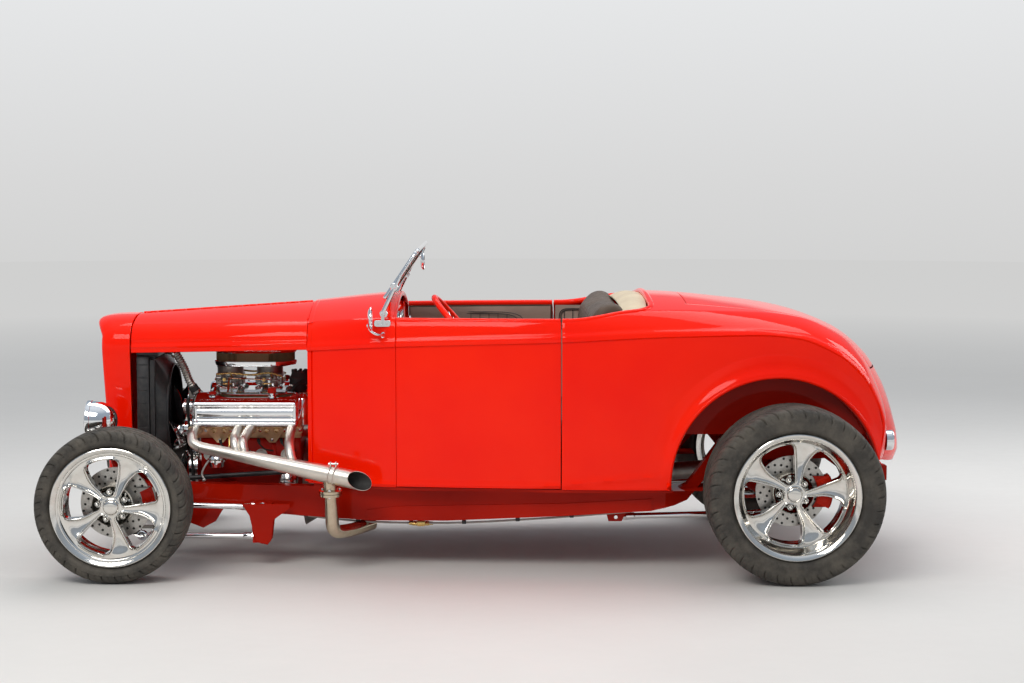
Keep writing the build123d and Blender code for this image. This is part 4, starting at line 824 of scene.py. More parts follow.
@dataclass
class BodySurface:
    """The body's outer form as two surfaces that meet at the belt."""

    sill: float = 346.0
    bow: float = 5.0
    arch_x: float = 2640.0
    arch_z: float = 375.0
    arch_r: float = 425.0
    bead_out: float = 7.5
    bead_high: float = 27.0
    crown_columns: int = 10

    def side(self, x: np.ndarray, z: np.ndarray, flared: bool = True) -> np.ndarray:
        """Half width of the lower side at stations and heights.

        The width goes in a straight line from sill to belt, plus a bow of four times t times one
        minus t. A roll of bell section follows the wheel arch, a flare falls off in a straight line
        to its crease, and a bead follows the sill.
        """
        flat = np.asarray(x, float)
        rows = pchip(SIDE_ROWS[:, 0], SIDE_ROWS[:, 1:], flat.reshape(-1)).reshape(*flat.shape, 3)
        sill, belt, z_belt = rows[..., 0], rows[..., 1], rows[..., 2]
        t = (z - self.sill) / (z_belt - self.sill)
        y = sill + (belt - sill) * t + self.bow * 4 * np.clip(t * (1 - t), 0, 1)
        if flared:
            reach = np.hypot(x - self.arch_x, z - self.arch_z) - self.arch_r
            room = np.clip((z_belt - z) / 30.0, 0, 1)
            fade = smoothstep(300.0, 470.0, z) * room
            y = y + fade * (13.0 * bump(reach, 9.0, 24.0) + 11.0 * np.clip(1 - reach / 92.0, 0, 1))
            line = self.bead_line(x)
            ahead = smoothstep(2215.0, 2120.0, x)
            y = y + 5.0 * ahead * bump(z, line, 8.0)
        return y

    def bead_line(self, x: np.ndarray) -> np.ndarray:
        """Height of the bead along the sill, which rises towards the wheel arch."""
        return 357.0 + 41.0 * smoothstep(1600.0, 2200.0, x)

    def belt(self, x: np.ndarray) -> np.ndarray:
        """Height of the belt's lower edge at stations."""
        return pchip(SIDE_ROWS[:, 0], SIDE_ROWS[:, 3:], x)[:, 0]

    def upper(self, u: np.ndarray) -> tuple[np.ndarray, np.ndarray, np.ndarray, np.ndarray]:
        """Belt, handle, crease and crown points of each row of the upper body."""
        rows = pchip(UPPER_KNOTS, UPPER_ROWS, u)
        b, k = rows[:, 0:3], rows[:, 3:6]
        c = np.column_stack([rows[:, 6], np.zeros(len(u)), rows[:, 7]])
        soft = 1 - 0.5 * smoothstep(1500.0, 2200.0, u)[:, None]
        reach = np.column_stack([0.3 * (k[:, 0] - b[:, 0]), 0.44 * (b[:, 1] - k[:, 1]),
                                 0.32 * (k[:, 2] - b[:, 2])])
        return b, (b + k) / 2 + soft * reach, k, c

    def shoulder(self, u: np.ndarray, w: np.ndarray, side: int) -> np.ndarray:
        """Grid from belt (w 0) to crease (w 1).

        A row is the quadratic curve through belt and crease with its handle pushed out; the belt
        bead stands proud by a plateau of its height above the belt.
        """
        b, m, k, _ = self.upper(u)
        t = np.broadcast_to(w, (len(u), w.shape[-1]))[..., None]
        p = (1 - t) ** 2 * b[:, None] + 2 * t * (1 - t) * m[:, None] + t**2 * k[:, None]
        n = grid_normals(p)
        n = np.where(n[..., 1:2] < 0, -n, n)
        h = np.linalg.norm(p - b[:, None], axis=-1)
        proud = self.bead_out * (smoothstep(0.0, 2.5, h)
                                 - smoothstep(self.bead_high - 7, self.bead_high + 13, h))
        fade = 1 - 0.75 * smoothstep(3100.0, 3200.0, u)
        p = p + n * (proud * fade[:, None])[..., None]
        return p * vec(1, side, 1)

    def deck(self, u: np.ndarray, y: np.ndarray, side: int) -> np.ndarray:
        """Grid over the crown: from the centre point to the crease by the square of y over its half width."""
        _, _, k, c = self.upper(u)
        q = ((y / k[:, 1:2]) ** 2)[..., None]
        p = c[:, None] + (k - c)[:, None] * q
        p[..., 1] = y
        return p * vec(1, side, 1)

    def skin(self, u: np.ndarray, inner: np.ndarray, side: int, middle: bool = False) -> np.ndarray:
        """Grid from the belt over the crease to an inner edge, and on to the centre line if asked."""
        heights = np.concatenate([[0, 0.5, 1.4, 2.6, 5, 10, 16, 21, 26, 31, 37], np.linspace(44, 100, 14)])
        b, _, k, _ = self.upper(u)
        length = np.linalg.norm(k - b, axis=1)[:, None]
        ten = heights <= 40
        w = np.where(ten, heights / length, 40 / length + (1 - 40 / length) * (heights - 40) / 60)
        p = self.shoulder(u, np.clip(w, 0, 1), side)
        edge = np.broadcast_to(inner, (len(u),))[:, None]
        share = np.linspace(0, 1, self.crown_columns + 1)[1:]
        y = k[:, 1:2] + (edge - k[:, 1:2]) * share
        if middle:
            y = np.concatenate([y, edge * (1 - np.linspace(0, 1, 25)[1:])], axis=1)
        return np.concatenate([p, self.deck(u, y, side)], axis=1)

    def over(self, u: np.ndarray, inner: float) -> np.ndarray:
        """Grid right across the car, from belt to belt."""
        left = self.skin(u, np.full(len(u), inner), LEFT, middle=True)
        right = self.skin(u, np.full(len(u), inner), RIGHT, middle=True)
        return np.concatenate([left, right[:, -2::-1]], axis=1)


SURFACE = BodySurface()
UP = vec(0, 0, 1)


@dataclass
class Body:
    """Cowl, doors, tail and deck lid as pressed panels with turned edges."""

    front: float = 744.0
    groove: float = 762.0
    cowl_end: float = 1108.0
    door_start: float = 1113.0
    door_end: float = 1772.5
    tail_start: float = 1780.0
    cockpit_side_end: float = 2060.0
    cockpit_end: float = 2146.0
    lid_start: float = 2302.0
    lid_end: float = 3022.0
    lid_half: float = 392.0
    gap: float = 5.0
    roll: float = 13.0
    door_top: float = 1035.0
    jamb: float = 44.0
    side_rows: int = 54

    def side_grid(self, x: np.ndarray, low: np.ndarray, side: int) -> np.ndarray:
        """Grid of the lower side: columns at stations, from a lower edge up to the belt."""
        t = np.linspace(0, 1, self.side_rows)
        t = t + 0.12 * np.sin(2 * math.pi * t) / (2 * math.pi)
        z = low[:, None] + (SURFACE.belt(x) - low)[:, None] * t
        xs = np.broadcast_to(x[:, None], z.shape)
        return np.stack([xs, side * SURFACE.side(xs, z), z], axis=-1)

    def cowl(self) -> None:
        """Cowl sides and top, with the firewall's edge."""
        form = Form("cowl_panels")
        x = np.concatenate([np.linspace(self.front, self.groove - 6, 5),
                            np.linspace(self.groove - 5, self.groove + 5, 11),
                            np.linspace(self.groove + 7, self.cowl_end, 36)])
        for side in SIDES.values():
            out = vec(0, side, 0)
            p = self.side_grid(x, np.full(len(x), SURFACE.sill), side)
            p[..., 1] -= side * 6.0 * bump(x, self.groove, 2.4)[:, None]
            form.grid(hem(p, "uUv", out, self.jamb), facing=out)
        p = SURFACE.over(x, 397.0)
        form.grid(hem(p, "uU", UP, 18.0), facing=UP)
        ring = p[-1][np.abs(p[-1][:, 1]) < 520]
        form.tube(ring - vec(4, 0, 8), 9.0, 12)
        for depth, shrink in ((16.0, 0.0), (19.0, 0.04), (15.0, 0.05)):
            hoop = self.hoop(self.front + depth)
            middle = vec(self.front + depth, 0, SURFACE.sill)
            share = np.linspace(1 - shrink, 0.02 if depth == 15.0 else 0.95 - shrink, 12)[:, None, None]
            form.grid(middle + (hoop - middle) * share, facing=vec(-1, 0, 0))
        form.finish([Finish.PAINT], "root", "body_paint", ("cowl",))

    def hoop(self, x: float) -> np.ndarray:
        """The body's outline at one station, from the left sill over the top to the right sill."""
        pair = np.array([x, x + 1.0])
        low = np.full(2, SURFACE.sill)
        left = self.side_grid(pair, low, LEFT)[0]
        right = self.side_grid(pair, low, RIGHT)[0]
        return np.vstack([left, SURFACE.over(pair, 397.0)[0], right[::-1]])

    def cut_height(self, u: np.ndarray, z: float) -> np.ndarray:
        """Share of the way from belt to crease at which each row reaches a height.

        The row's height is a quadratic in the share, and this is its smaller root.
        """
        b, m, k, _ = SURFACE.upper(u)
        a2 = b[:, 2] - 2 * m[:, 2] + k[:, 2]
        a1 = 2 * (m[:, 2] - b[:, 2])
        a0 = b[:, 2] - z
        root = np.sqrt(np.maximum(a1**2 - 4 * a2 * a0, 0))
        return np.clip(-2 * a0 / (a1 + root), 0.05, 1.0)

    def door(self, name: str, side: int) -> None:
        """One door: outer skin with turned edges, rolled top and inner face."""
        form = Form(f"{name}_door_panel")
        out = vec(0, side, 0)
        x = np.linspace(self.door_start, self.door_end, 64)
        p = self.side_grid(x, np.full(len(x), SURFACE.sill + 4), side)
        form.grid(hem(p, "uUv", out, self.jamb), facing=out)
        heights = np.concatenate([[0, 0.5, 1.4, 2.6, 5, 10, 16, 21, 26, 31, 37], np.linspace(44, 100, 10)])
        b, _, k, _ = SURFACE.upper(x)
        length = np.linalg.norm(k - b, axis=1)[:, None]
        end = self.cut_height(x, self.door_top - self.roll)[:, None]
        low = 40 / length
        w = np.where(heights <= 40, heights / length, low + (end - low) * (heights - 44) / 56)
        top = SURFACE.shoulder(x, w, side)
        form.grid(hem(top, "uU", out, self.jamb), facing=out)
        edge = top[:, -1]
        path = edge - vec(0, side * self.roll, 0)
        form.tube(path, self.roll, 20)
        inner_z = np.linspace(SURFACE.sill + 8, self.door_top - 20, 40)
        xs, zs = np.meshgrid(np.linspace(self.door_start + 3, self.door_end - 3, 60), inner_z, indexing="ij")
        depth = SURFACE.side(xs, np.minimum(zs, 900.0), False) - self.jamb - 12 * smoothstep(900, 1000, zs)
        form.grid(np.stack([xs, side * depth, zs], axis=-1), 1, facing=-out)
        form.finish([Finish.PAINT, Finish.LEATHER], f"{name}_door", "body_paint", (f"{name}_door",))

    def cockpit_edge(self) -> np.ndarray:
        """The tail's part of the cockpit's edge: stations and half widths round its rear corner."""
        straight = np.column_stack([np.linspace(self.tail_start, self.cockpit_side_end, 26),
                                    np.linspace(578.0, 566.0, 26)])
        phi = np.linspace(0, math.pi / 2, 18)[1:]
        corner = np.column_stack([self.cockpit_side_end + (self.cockpit_end - self.cockpit_side_end)
                                  * np.sin(phi),
                                  440.0 + 126.0 * np.cos(phi)])
        return np.vstack([straight, corner])

    def arch_columns(self) -> tuple[np.ndarray, np.ndarray]:
        """Stations and lower edge of the tail's side: sill, wheel arch, and the tip behind it."""
        ahead = np.linspace(self.tail_start, 2214.0, 42)
        start = math.asin((SURFACE.sill - SURFACE.arch_z) / SURFACE.arch_r)
        end = math.pi - math.asin((459.0 - SURFACE.arch_z) / SURFACE.arch_r)
        theta = np.linspace(start, end, 150)
        arch_x = SURFACE.arch_x - SURFACE.arch_r * np.cos(theta)
        arch_z = SURFACE.arch_z + SURFACE.arch_r * np.sin(theta)
        tip = np.linspace(arch_x[-1], 3082.0, 10)[1:]
        tip_z = 459.0 + 139.0 * ((tip - arch_x[-1]) / (3083.0 - arch_x[-1])) ** 2
        return np.concatenate([ahead, arch_x, tip]), np.concatenate([np.full(len(ahead), SURFACE.sill),
                                                                     arch_z, tip_z])

    def tail(self) -> None:
        """Quarters with their flared wheel arches, the coaming round the cockpit, and the tail."""
        form = Form("tail_panels")
        x, low = self.arch_columns()
        for side in SIDES.values():
            out = vec(0, side, 0)
            p = self.side_grid(x, low, side)
            form.grid(hem(p, "uv", out, self.jamb), facing=out)
            arch = p[42:-9, 0]
            middle = vec(SURFACE.arch_x, 0, SURFACE.arch_z)
            away = unit((arch - middle) * vec(1, 0, 1))
            form.tube(arch + away * 5 - vec(0, side * 6, 0), 8.5, 14)
            self.wheel_house(form, side)
        edge = self.cockpit_edge()
        above = vec(0, 0, 1)
        for side in SIDES.values():
            form.grid(hem(self.cockpit_skin(edge, side), "u", vec(0, side, 1), self.jamb),
                      facing=vec(0, side, 1))
        joint = np.linspace(self.cockpit_end, self.lid_start - self.gap, 16)
        form.grid(hem(SURFACE.over(joint, 397.0), "", above), facing=above)
        beside = np.linspace(self.lid_start - self.gap, self.lid_end + 4, 96)
        for side in SIDES.values():
            p = SURFACE.skin(beside, np.full(len(beside), self.lid_half + self.gap), side)
            form.grid(hem(p, "V", vec(0.3, side * 0.4, 1), 20.0), facing=vec(0.5, side, 1))
        behind = np.concatenate([np.linspace(self.lid_end + 4, 3083, 10)[:-1], np.linspace(3083, 3215, 34)])
        p = SURFACE.over(behind, self.lid_half + self.gap)
        form.grid(hem(p, "U", vec(1, 0, 0.2), 30.0), facing=vec(1, 0, 0.3))
        self.lid_gutter(form)
        self.coaming(form, edge)
        # Slot 2 is the darker tub red: painted shade on the wheel houses
        form.finish([Finish.PAINT, Finish.TRIM, Finish.TUB], "root", "body_paint", ("rear_body",))

    def lid_gutter(self, form: Form) -> None:
        """The channel under the deck lid's edges, which the lid's seal lies on."""
        u = np.linspace(self.lid_start - self.gap, self.lid_end + 4, 60)
        for side in SIDES.values():
            y = np.tile(np.array([self.lid_half + self.gap, self.lid_half - 26.0]), (len(u), 1))
            p = SURFACE.deck(u, y, side) - vec(6, 0, 19)
            form.grid(p, 0, facing=UP)
            seal = SURFACE.deck(u, np.full((len(u), 1), self.lid_half - 12.0), side)[:, 0] - vec(6, 0, 16)
            form.tube(seal, 4.0, 8, slot=1)
        for start, way in ((self.lid_start - self.gap, 26.0), (self.lid_end + 4, -26.0)):
            y = np.tile(np.linspace(-self.lid_half, self.lid_half, 40), (2, 1))
            p = SURFACE.deck(np.array([start, start + way]), y, RIGHT) - vec(6, 0, 19)
            form.grid(p, 0, facing=UP)

    def cockpit_skin(self, edge: np.ndarray, side: int) -> np.ndarray:
        """Grid from the belt to the cockpit's edge behind a door.

        At the door the rows stop at the door's own height on the shoulder. By a soft step along the
        car they grow on to the crease and over the crown to the edge.
        """
        u, lift = edge[:, 0], smoothstep(1800.0, 2090.0, edge[:, 0])[:, None]
        heights = np.concatenate([[0, 0.5, 1.4, 2.6, 5, 10, 16, 21, 26, 31, 37], np.linspace(44, 100, 14)])
        b, _, k, _ = SURFACE.upper(u)
        length = np.linalg.norm(k - b, axis=1)[:, None]
        cut = self.cut_height(u, self.door_top - self.roll)[:, None]
        end = cut + (1 - cut) * lift
        low = 40 / length
        w = np.where(heights <= 40, heights / length, low + (end - low) * (heights - 44) / 56)
        top = SURFACE.shoulder(u, np.clip(w, 0, 1), side)
        share = np.linspace(0, 1, 11)
        y = k[:, 1:2] + (edge[:, 1:2] - k[:, 1:2]) * share
        over = SURFACE.deck(u, y, side)
        over = top[:, -1:] + (over - over[:, :1])[:, 1:] * lift[..., None]
        return np.concatenate([top, over], axis=1)

    def coaming(self, form: Form, edge: np.ndarray) -> None:
        """A rolled rim round the cockpit's sides and back, rising to the tail."""
        lift = smoothstep(1800.0, 2090.0, edge[:, 0])[:, None]
        right = self.cockpit_skin(edge, RIGHT)[:, -1]
        right = right - vec(0, self.roll, 0) * (1 - lift) - vec(0, 0, 5) * lift
        back_y = np.linspace(430, -430, 30)
        u = np.full(30, self.cockpit_end + 2)
        back = SURFACE.deck(u, back_y[:, None], RIGHT)[:, 0] - vec(0, 0, 5)
        rim = np.vstack([right, back, (right * vec(1, -1, 1))[::-1]])
        form.tube(rim, self.roll + 0.5, 20)

    def wheel_house(self, form: Form, side: int) -> None:
        """Liner ahead of the rear wheel: the arch's circle carried inwards from the skin to the rail, in the
        darker tub red that paints the shade inside the arch.
        """
        start = math.asin((SURFACE.sill - SURFACE.arch_z) / SURFACE.arch_r)
        theta = np.linspace(start, 0.75, 30)[:, None]
        across_car = np.linspace(0, 1, 8)[None, :]
        x = SURFACE.arch_x - (SURFACE.arch_r + 4) * np.cos(theta) + 0 * across_car
        z = SURFACE.arch_z + (SURFACE.arch_r + 4) * np.sin(theta) + 0 * across_car
        y = (SURFACE.side(x, z) - 8) * (1 - across_car) + 430 * across_car
        # Slot 2, the darker tub red, is painted shade inside the arch; the foot below takes it too
        form.grid(np.stack([x, side * y, z], axis=-1), 2, facing=vec(1, 0, 0))
        foot = np.stack([np.linspace(x[0, 0] - 30, x[0, 0] + 210, 12)[:, None] + 0 * across_car,
                         side * (y[:1] + 0 * across_car)
                         + np.zeros((12, 1)), 352 - 10 * np.ones((12, 8))], axis=-1)
        form.grid(foot, 2, facing=UP)

    def decklid(self) -> None:
        """The deck lid with turned edges and an inner frame."""
        form = Form("deck_lid_panel")
        u = np.linspace(self.lid_start, self.lid_end, 90)
        y = np.tile(np.linspace(-self.lid_half, self.lid_half, 60), (len(u), 1))
        out = vec(0.3, 0, 1)
        p = SURFACE.deck(u, y, RIGHT)
        form.grid(hem(p, "uUvV", out, 14.0, 2.2), facing=out)
        inner = SURFACE.deck(u[3:-3], y[3:-3, 2:-2], RIGHT)
        n = grid_normals(inner)
        n = np.where((n * out).sum(-1, keepdims=True) < 0, -n, n)
        form.grid(inner - n * 15, facing=-out)
        form.finish([Finish.PAINT], "decklid", "body_paint", ("decklid",))

    def build(self) -> None:
        """Builds every panel."""
        self.cowl()
        for name, side in SIDES.items():
            self.door(name, side)
        self.tail()
        self.decklid()


@dataclass
class Hood:
    """Two hood leaves on a rod along the crest, each with a bead above its lower edge."""

    front: float = -10.0
    rear: float = 738.0
    sheet: float = 10.0
    hinge_r: float = 4.5
    knuckles: int = 12

    def section(self, x: np.ndarray) -> np.ndarray:
        """Half width, lower height, shoulder half width and height, and crest height at stations."""
        share = ((x - self.front) / (self.rear - self.front))[:, None]
        first = vec(254.0, 870.0, 192.0, 985.0, 1019.0)
        last = vec(440.0, 899.0, 372.0, 1008.0, 1069.0)
        rows = first + (last - first) * share
        rows[:, 0] += 3 * np.sin(math.pi * share[:, 0])
        return rows

    def leaf(self, name: str, side: int) -> None:
        """One leaf: a quadratic curve from edge to shoulder, then a parabola to the crest."""
        form = Form(f"hood_leaf_{name}")
        x = np.linspace(self.front, self.rear, 76)
        half, low, shoulder, z_shoulder, crest = self.section(x).T[:, :, None]
        t = np.linspace(0, 1, 34)
        bulge_y = (half + shoulder) / 2 + 0.44 * (half - shoulder)
        bulge_z = (low + z_shoulder) / 2 + 0.3 * (z_shoulder - low)
        y1 = (1 - t) ** 2 * half + 2 * t * (1 - t) * bulge_y + t**2 * shoulder
        z1 = (1 - t) ** 2 * low + 2 * t * (1 - t) * bulge_z + t**2 * z_shoulder
        rise = z1 - low
        y1 = y1 + 5.0 * bump(rise, 22.0, 8.0) - 3.0 * bump(rise, 38.0,
                                                           9.0) + 2.0 * (1 - smoothstep(0, 14, rise))
        s = np.linspace(0, 1, 26)[1:]
        y2 = shoulder + (self.hinge_r + 2.5 - shoulder) * s
        z2 = crest - 1 + (z_shoulder - crest) * (y2 / shoulder) ** 2
        y, z = np.concatenate([y1, y2], axis=1), np.concatenate([z1, z2], axis=1)
        p = np.stack([np.broadcast_to(x[:, None], y.shape), side * y, z], axis=-1)
        out = vec(0, side * 0.7, 1)
        form.grid(hem(p, "uUv", out, self.sheet, 2.0), facing=out)
        n = grid_normals(p)
        n = np.where((n * out).sum(-1, keepdims=True) < 0, -n, n)
        form.grid((p - n * self.sheet)[1:-1, 1:], facing=-out)
        step = (self.rear - self.front - 20) / self.knuckles
        for number in range(0 if side < 0 else 1, self.knuckles, 2):
            x0 = self.front + 10 + number * step
            line = np.array([x0 + 1, x0 + step - 1])
            ends = np.column_stack([line, [0, 0], 1019 + 50 * (line - self.front) / (self.rear - self.front)])
            form.tube(spline(list(ends), 3), self.hinge_r, 12)
        form.finish([Finish.PAINT], f"hood_{name}", "body_paint", (f"hood_{name}",))

    def build(self) -> None:
        """Builds both leaves."""
        for name, side in SIDES.items():
            self.leaf(name, side)


@dataclass
class Shell:
    """The grille shell: an arched hoop with a rounded nose, and its upright bars."""

    half: float = 256.0
    foot_half: float = 214.0
    top: float = 1018.0
    foot: float = 337.0
    shoulder: float = 870.0
    rear: float = -16.0
    border: float = 44.0
    arch_points: int = 160

    def outline(self, inset: float) -> np.ndarray:
        """Half-round-topped outline in the front view, at an inset, from one foot to the other.

        The sides rise straight to the shoulder; above it the outline is a superellipse, whose
        y and z are powers of the cosine and sine of an even angle.
        """
        half, foot, top = self.half - inset, self.foot_half - inset, self.top - inset
        z = np.linspace(self.foot + 2, self.shoulder, 24)
        side = np.column_stack([foot + (half - foot) * (z - self.foot) / (self.shoulder - self.foot), z])
        angle = np.linspace(0, math.pi, self.arch_points)[1:-1]
        c, s = np.cos(angle), np.sin(angle)
        power = 0.74
        arch = np.column_stack([half * np.sign(c) * np.abs(c) ** power,
                                self.shoulder + (top - self.shoulder) * np.abs(s) ** power])
        other = (side * vec(-1, 1))[::-1]
        return np.vstack([side, arch, other])

    def build(self) -> None:
        """Builds the shell as outlines swept through a rounded profile, and its bars."""
        form = Form("grille_shell_panel")
        profile = [(self.rear, 12.0), (self.rear, 1.5), (self.rear - 2, 0.0), (-60, 0.5), (-100, 3),
                   (-126, 8),
                   (-144, 15), (-154, 24), (-156, 33), (-151, 40), (-141, 44), (-120, 47), (-40, 50)]
        curve = spline([(x, inset, 0) for x, inset in profile[2:]], 40)
        rows = [(x, inset, 0.0) for x, inset in profile[:2]] + [tuple(r) for r in curve]
        p = np.stack([self.lean(np.insert(self.outline(inset), 0, x, axis=1)) for x, inset, _ in rows])
        form.grid(p)
        form.box(vec(-140, -self.foot_half + 6, self.foot), vec(-60, self.foot_half - 6, self.foot + 28), 0,
                 4)
        form.lathe([(-16, 0.1), (-16, 19), (-6, 19), (-2, 17), (1, 11), (2, 0.1)], vec(-184, 0, 958),
                   vec(-1, 0, 0.1), 40, 1)
        form.finish([Finish.PAINT, Finish.CHROME], "root", "body_paint", ("grille_shell",), weld=True)
        bars = Form("grille_upright_bars")
        for y in np.linspace(-196, 196, 23):
            reach = abs(y) / (self.half - self.border)
            high = self.shoulder + (self.top - self.border - self.shoulder) * max(1 - reach**2.7, 0.0) ** 0.37
            z = np.linspace(self.foot + 20, high, 24)
            path = self.lean(np.column_stack([np.full(24, -120.0), np.full(24, y), z]))
            bars.tube(path, 1.0, 12, section=rounded(2.6, 8.0, 2.4, 4))
        for z in (430.0, 640.0, 850.0):
            path = self.lean(np.column_stack([np.full(9, -106.0), np.linspace(-206, 206, 9), np.full(9, z)]))
            bars.tube(path, 5.0, 10)
        bars.finish([Finish.CHROME], "root", "chrome", ("grille_bars",))

    def lean(self, p: np.ndarray) -> np.ndarray:
        """Shapes the front: nearly upright at the sides, leaning a little, and pointed at the crown.

        The face moves back by the set, and forward by the nose times one minus the square of y over
        its half width, which fades in above the shoulder.
        """
        ahead = smoothstep(-30, -150, p[:, 0])
        point = np.clip(1 - (p[:, 1] / 210) ** 2, 0, 1) * smoothstep(self.shoulder - 30, self.top - 50,
                                                                     p[:, 2])
        slant = 17 * smoothstep(420, 980, p[:, 2])
        return p + np.column_stack([ahead * (34 - slant - 46 * point), np.zeros(len(p)), np.zeros(len(p))])


@dataclass
class Corner:
    """One wheel with its tyre and brake rotor, turned about a sideways axle."""

    name: str
    station: float
    side: int
    tyre_r: float
    tyre_w: float
    half_track: float
    lip_r: float
    rim_w: float
    dish: float
    rotor_y: float
    spokes: int = 5
    hub_r: float = 38.0
    cap_r: float = 31.0
    lug_circle: float = 57.0
    tip_r: float = 40.0
    tip_round: float = 17.0
    corner_round: float = 22.0
    window_r: float = 0.81
    window_start: float = 28.0

    @property
    def centre(self) -> np.ndarray:
        """The wheel's centre."""
        return vec(self.station, self.side * self.half_track, self.tyre_r)

    @property
    def axle(self) -> np.ndarray:
        """Direction out of the wheel's face."""
        return vec(0, self.side, 0)

    def place(self, radius: np.ndarray, angle: np.ndarray, along: np.ndarray) -> np.ndarray:
        """Wheel coordinates to station millimetres.

        X is radius times cosine and Z radius times sine on both sides of the car, so the pattern
        turns the same way as the wheels roll.
        """
        x = radius * np.cos(angle)
        z = radius * np.sin(angle)
        return self.centre + np.stack([x, self.side * along, z], axis=-1)

    def window_edges(self, r: np.ndarray) -> tuple[np.ndarray, np.ndarray]:
        """Angles of a window's two sides at each radius, from its middle.

        One side is nearly a spoke's straight line and the other a sweep. Both draw in by a quarter
        circle, r less the root of r squared less its reach squared, at the tip and the outer corners.
        """
        outer = self.lip_r * self.window_r
        t = np.clip((r - self.tip_r) / (outer - self.tip_r), 0, 1)
        sides = np.radians(pchip(vec(0, 0.5, 1), np.array([[24, 19], [22.4, 28], [20, 22]], float), t))
        trim = np.zeros(len(r))
        for reach, radius in ((r - self.tip_r, self.tip_round), (outer - r, self.corner_round)):
            past = np.clip(1 - reach / radius, 0, 1)
            trim = trim + radius * (1 - np.sqrt(1 - past**2)) / np.maximum(r, 1)
        return -np.maximum(sides[:, 0] - trim, 0.002), np.maximum(sides[:, 1] - trim, 0.002)

    def face_height(self, r: np.ndarray) -> np.ndarray:
        """Height of the spoke face along the axle: a bowl from hub to rim."""
        face = self.rim_w / 2 - self.dish
        outer = self.lip_r * self.window_r
        t = np.clip((r - self.hub_r) / (outer - self.hub_r), 0, 1)
        return face - 12 * np.sin(math.pi * t) * (1 - 0.35 * t) + 5 * smoothstep(0.8, 1.0, t)

    def spoke_face(self, form: Form) -> None:
        """The wheel's face: five concave spokes between five windows with raised edges.

        Rows are radii and columns go round. Each fifth of a turn is shared into window columns and
        spoke columns, whose borders are the window's sides at that radius. The height is the bowl,
        less a channel of cosine section along the middle of the spoke, plus a bead that falls off
        as a bell with the distance to the nearest window side.
        """
        outer = self.lip_r * self.window_r
        rim_in = self.lip_r - 30
        tip = self.tip_r + (outer - self.tip_r) * (1 - np.cos(np.linspace(0, math.pi / 2, 14))) * 0.3
        body = np.linspace(tip[-1], outer - self.corner_round, 20)[1:]
        corner = outer - self.corner_round * np.cos(np.linspace(0, math.pi / 2, 14))[1:]
        r = np.concatenate([[self.cap_r - 4, self.hub_r * 0.94], tip, body, corner,
                            np.linspace(outer, rim_in, 7)[1:]])
        first, last = 2, 1 + len(tip) + len(body) + len(corner)
        low, high = self.window_edges(r)
        window_columns, spoke_columns = 12, 30
        step = 2 * math.pi / self.spokes
        s_window = np.linspace(0, 1, window_columns + 1)[:-1]
        s_spoke = (1 - np.cos(np.linspace(0, math.pi, spoke_columns + 1))) / 2
        inside = low[:, None] + (high - low)[:, None] * s_window
        over = high[:, None] + (low + step - high)[:, None] * s_spoke[:-1]
        sector = np.concatenate([inside, over], axis=1)
        width = np.concatenate([np.zeros(window_columns), s_spoke[:-1] * (1 - s_spoke[:-1]) * 4])
        turns = np.arange(self.spokes) * step + math.radians(self.window_start)
        angle = np.concatenate([sector + turn for turn in turns], axis=1)
        low_gap = np.abs(sector - low[:, None]) * r[:, None]
        high_gap = np.abs(sector - high[:, None]) * r[:, None]
        next_gap = np.abs(sector - low[:, None] - step) * r[:, None]
        gap = np.minimum(np.minimum(low_gap, high_gap), next_gap)
        past = np.maximum(r - outer, 0)[:, None] + np.maximum(self.tip_r - r, 0)[:, None]
        beside = np.where((sector >= low[:, None]) & (sector <= high[:, None]), 0, gap)
        reach = np.where(past > 0, np.hypot(past, beside), gap)
        bead = 6.0 * bump(reach, 3.4, 4.2) * smoothstep(self.hub_r - 4, self.hub_r + 10, r)[:, None]
        t = np.clip((r - self.hub_r) / (outer - self.hub_r), 0, 1)[:, None]
        channel = 9.0 * width * smoothstep(0.12, 0.6, t)
        z = self.face_height(r)[:, None] - channel + bead
        radius = np.broadcast_to(r[:, None], angle[:, :len(width)].shape)
        radius = np.tile(radius, (1, self.spokes))
        along = np.tile(z, (1, self.spokes))
        p = self.place(radius, angle, along)
        keep = np.ones((len(r) - 1, angle.shape[1]), bool)
        block = np.zeros(window_columns + spoke_columns, bool)
        block[:window_columns] = True
        keep[first:last - 1] = ~np.tile(block, self.spokes)
        form.grid(p, 0, loop_v=True, keep=keep, facing=self.axle)
        self.window_walls(form, r[first:last], low[first:last], high[first:last],
                          z[first:last, 0], z[first:last, window_columns], z[last - 1, :window_columns + 1])

    def window_walls(self, form: Form, r: np.ndarray, low: np.ndarray, high: np.ndarray, z_low: np.ndarray,
                     z_high: np.ndarray, z_out: np.ndarray) -> None:
        """Walls of the five windows: the window's outline carried back and a little outwards."""
        share = np.linspace(0, 1, len(z_out))[1:-1]
        outer_angle = low[-1] + (high[-1] - low[-1]) * share
        radius = np.concatenate([r, np.full(len(share), r[-1]), r[::-1]])
        angle = np.concatenate([low, outer_angle, high[::-1]])
        height = np.concatenate([z_low, z_out[1:-1], z_high[::-1]])
        middle_r, middle_a = r.mean(), 0.0
        for turn in np.arange(self.spokes) * 2 * math.pi / self.spokes + math.radians(self.window_start):
            rows = []
            for depth, shrink in ((0, 0.0), (2.0, 0.012), (9.0, 0.02), (34.0, 0.045)):
                rr = radius + (middle_r - radius) * shrink * 0.5
                aa = angle + (middle_a - angle) * shrink
                rows.append(self.place(rr, aa + turn, height - depth))
            form.grid(np.stack(rows)[::self.side], 0, loop_v=True)

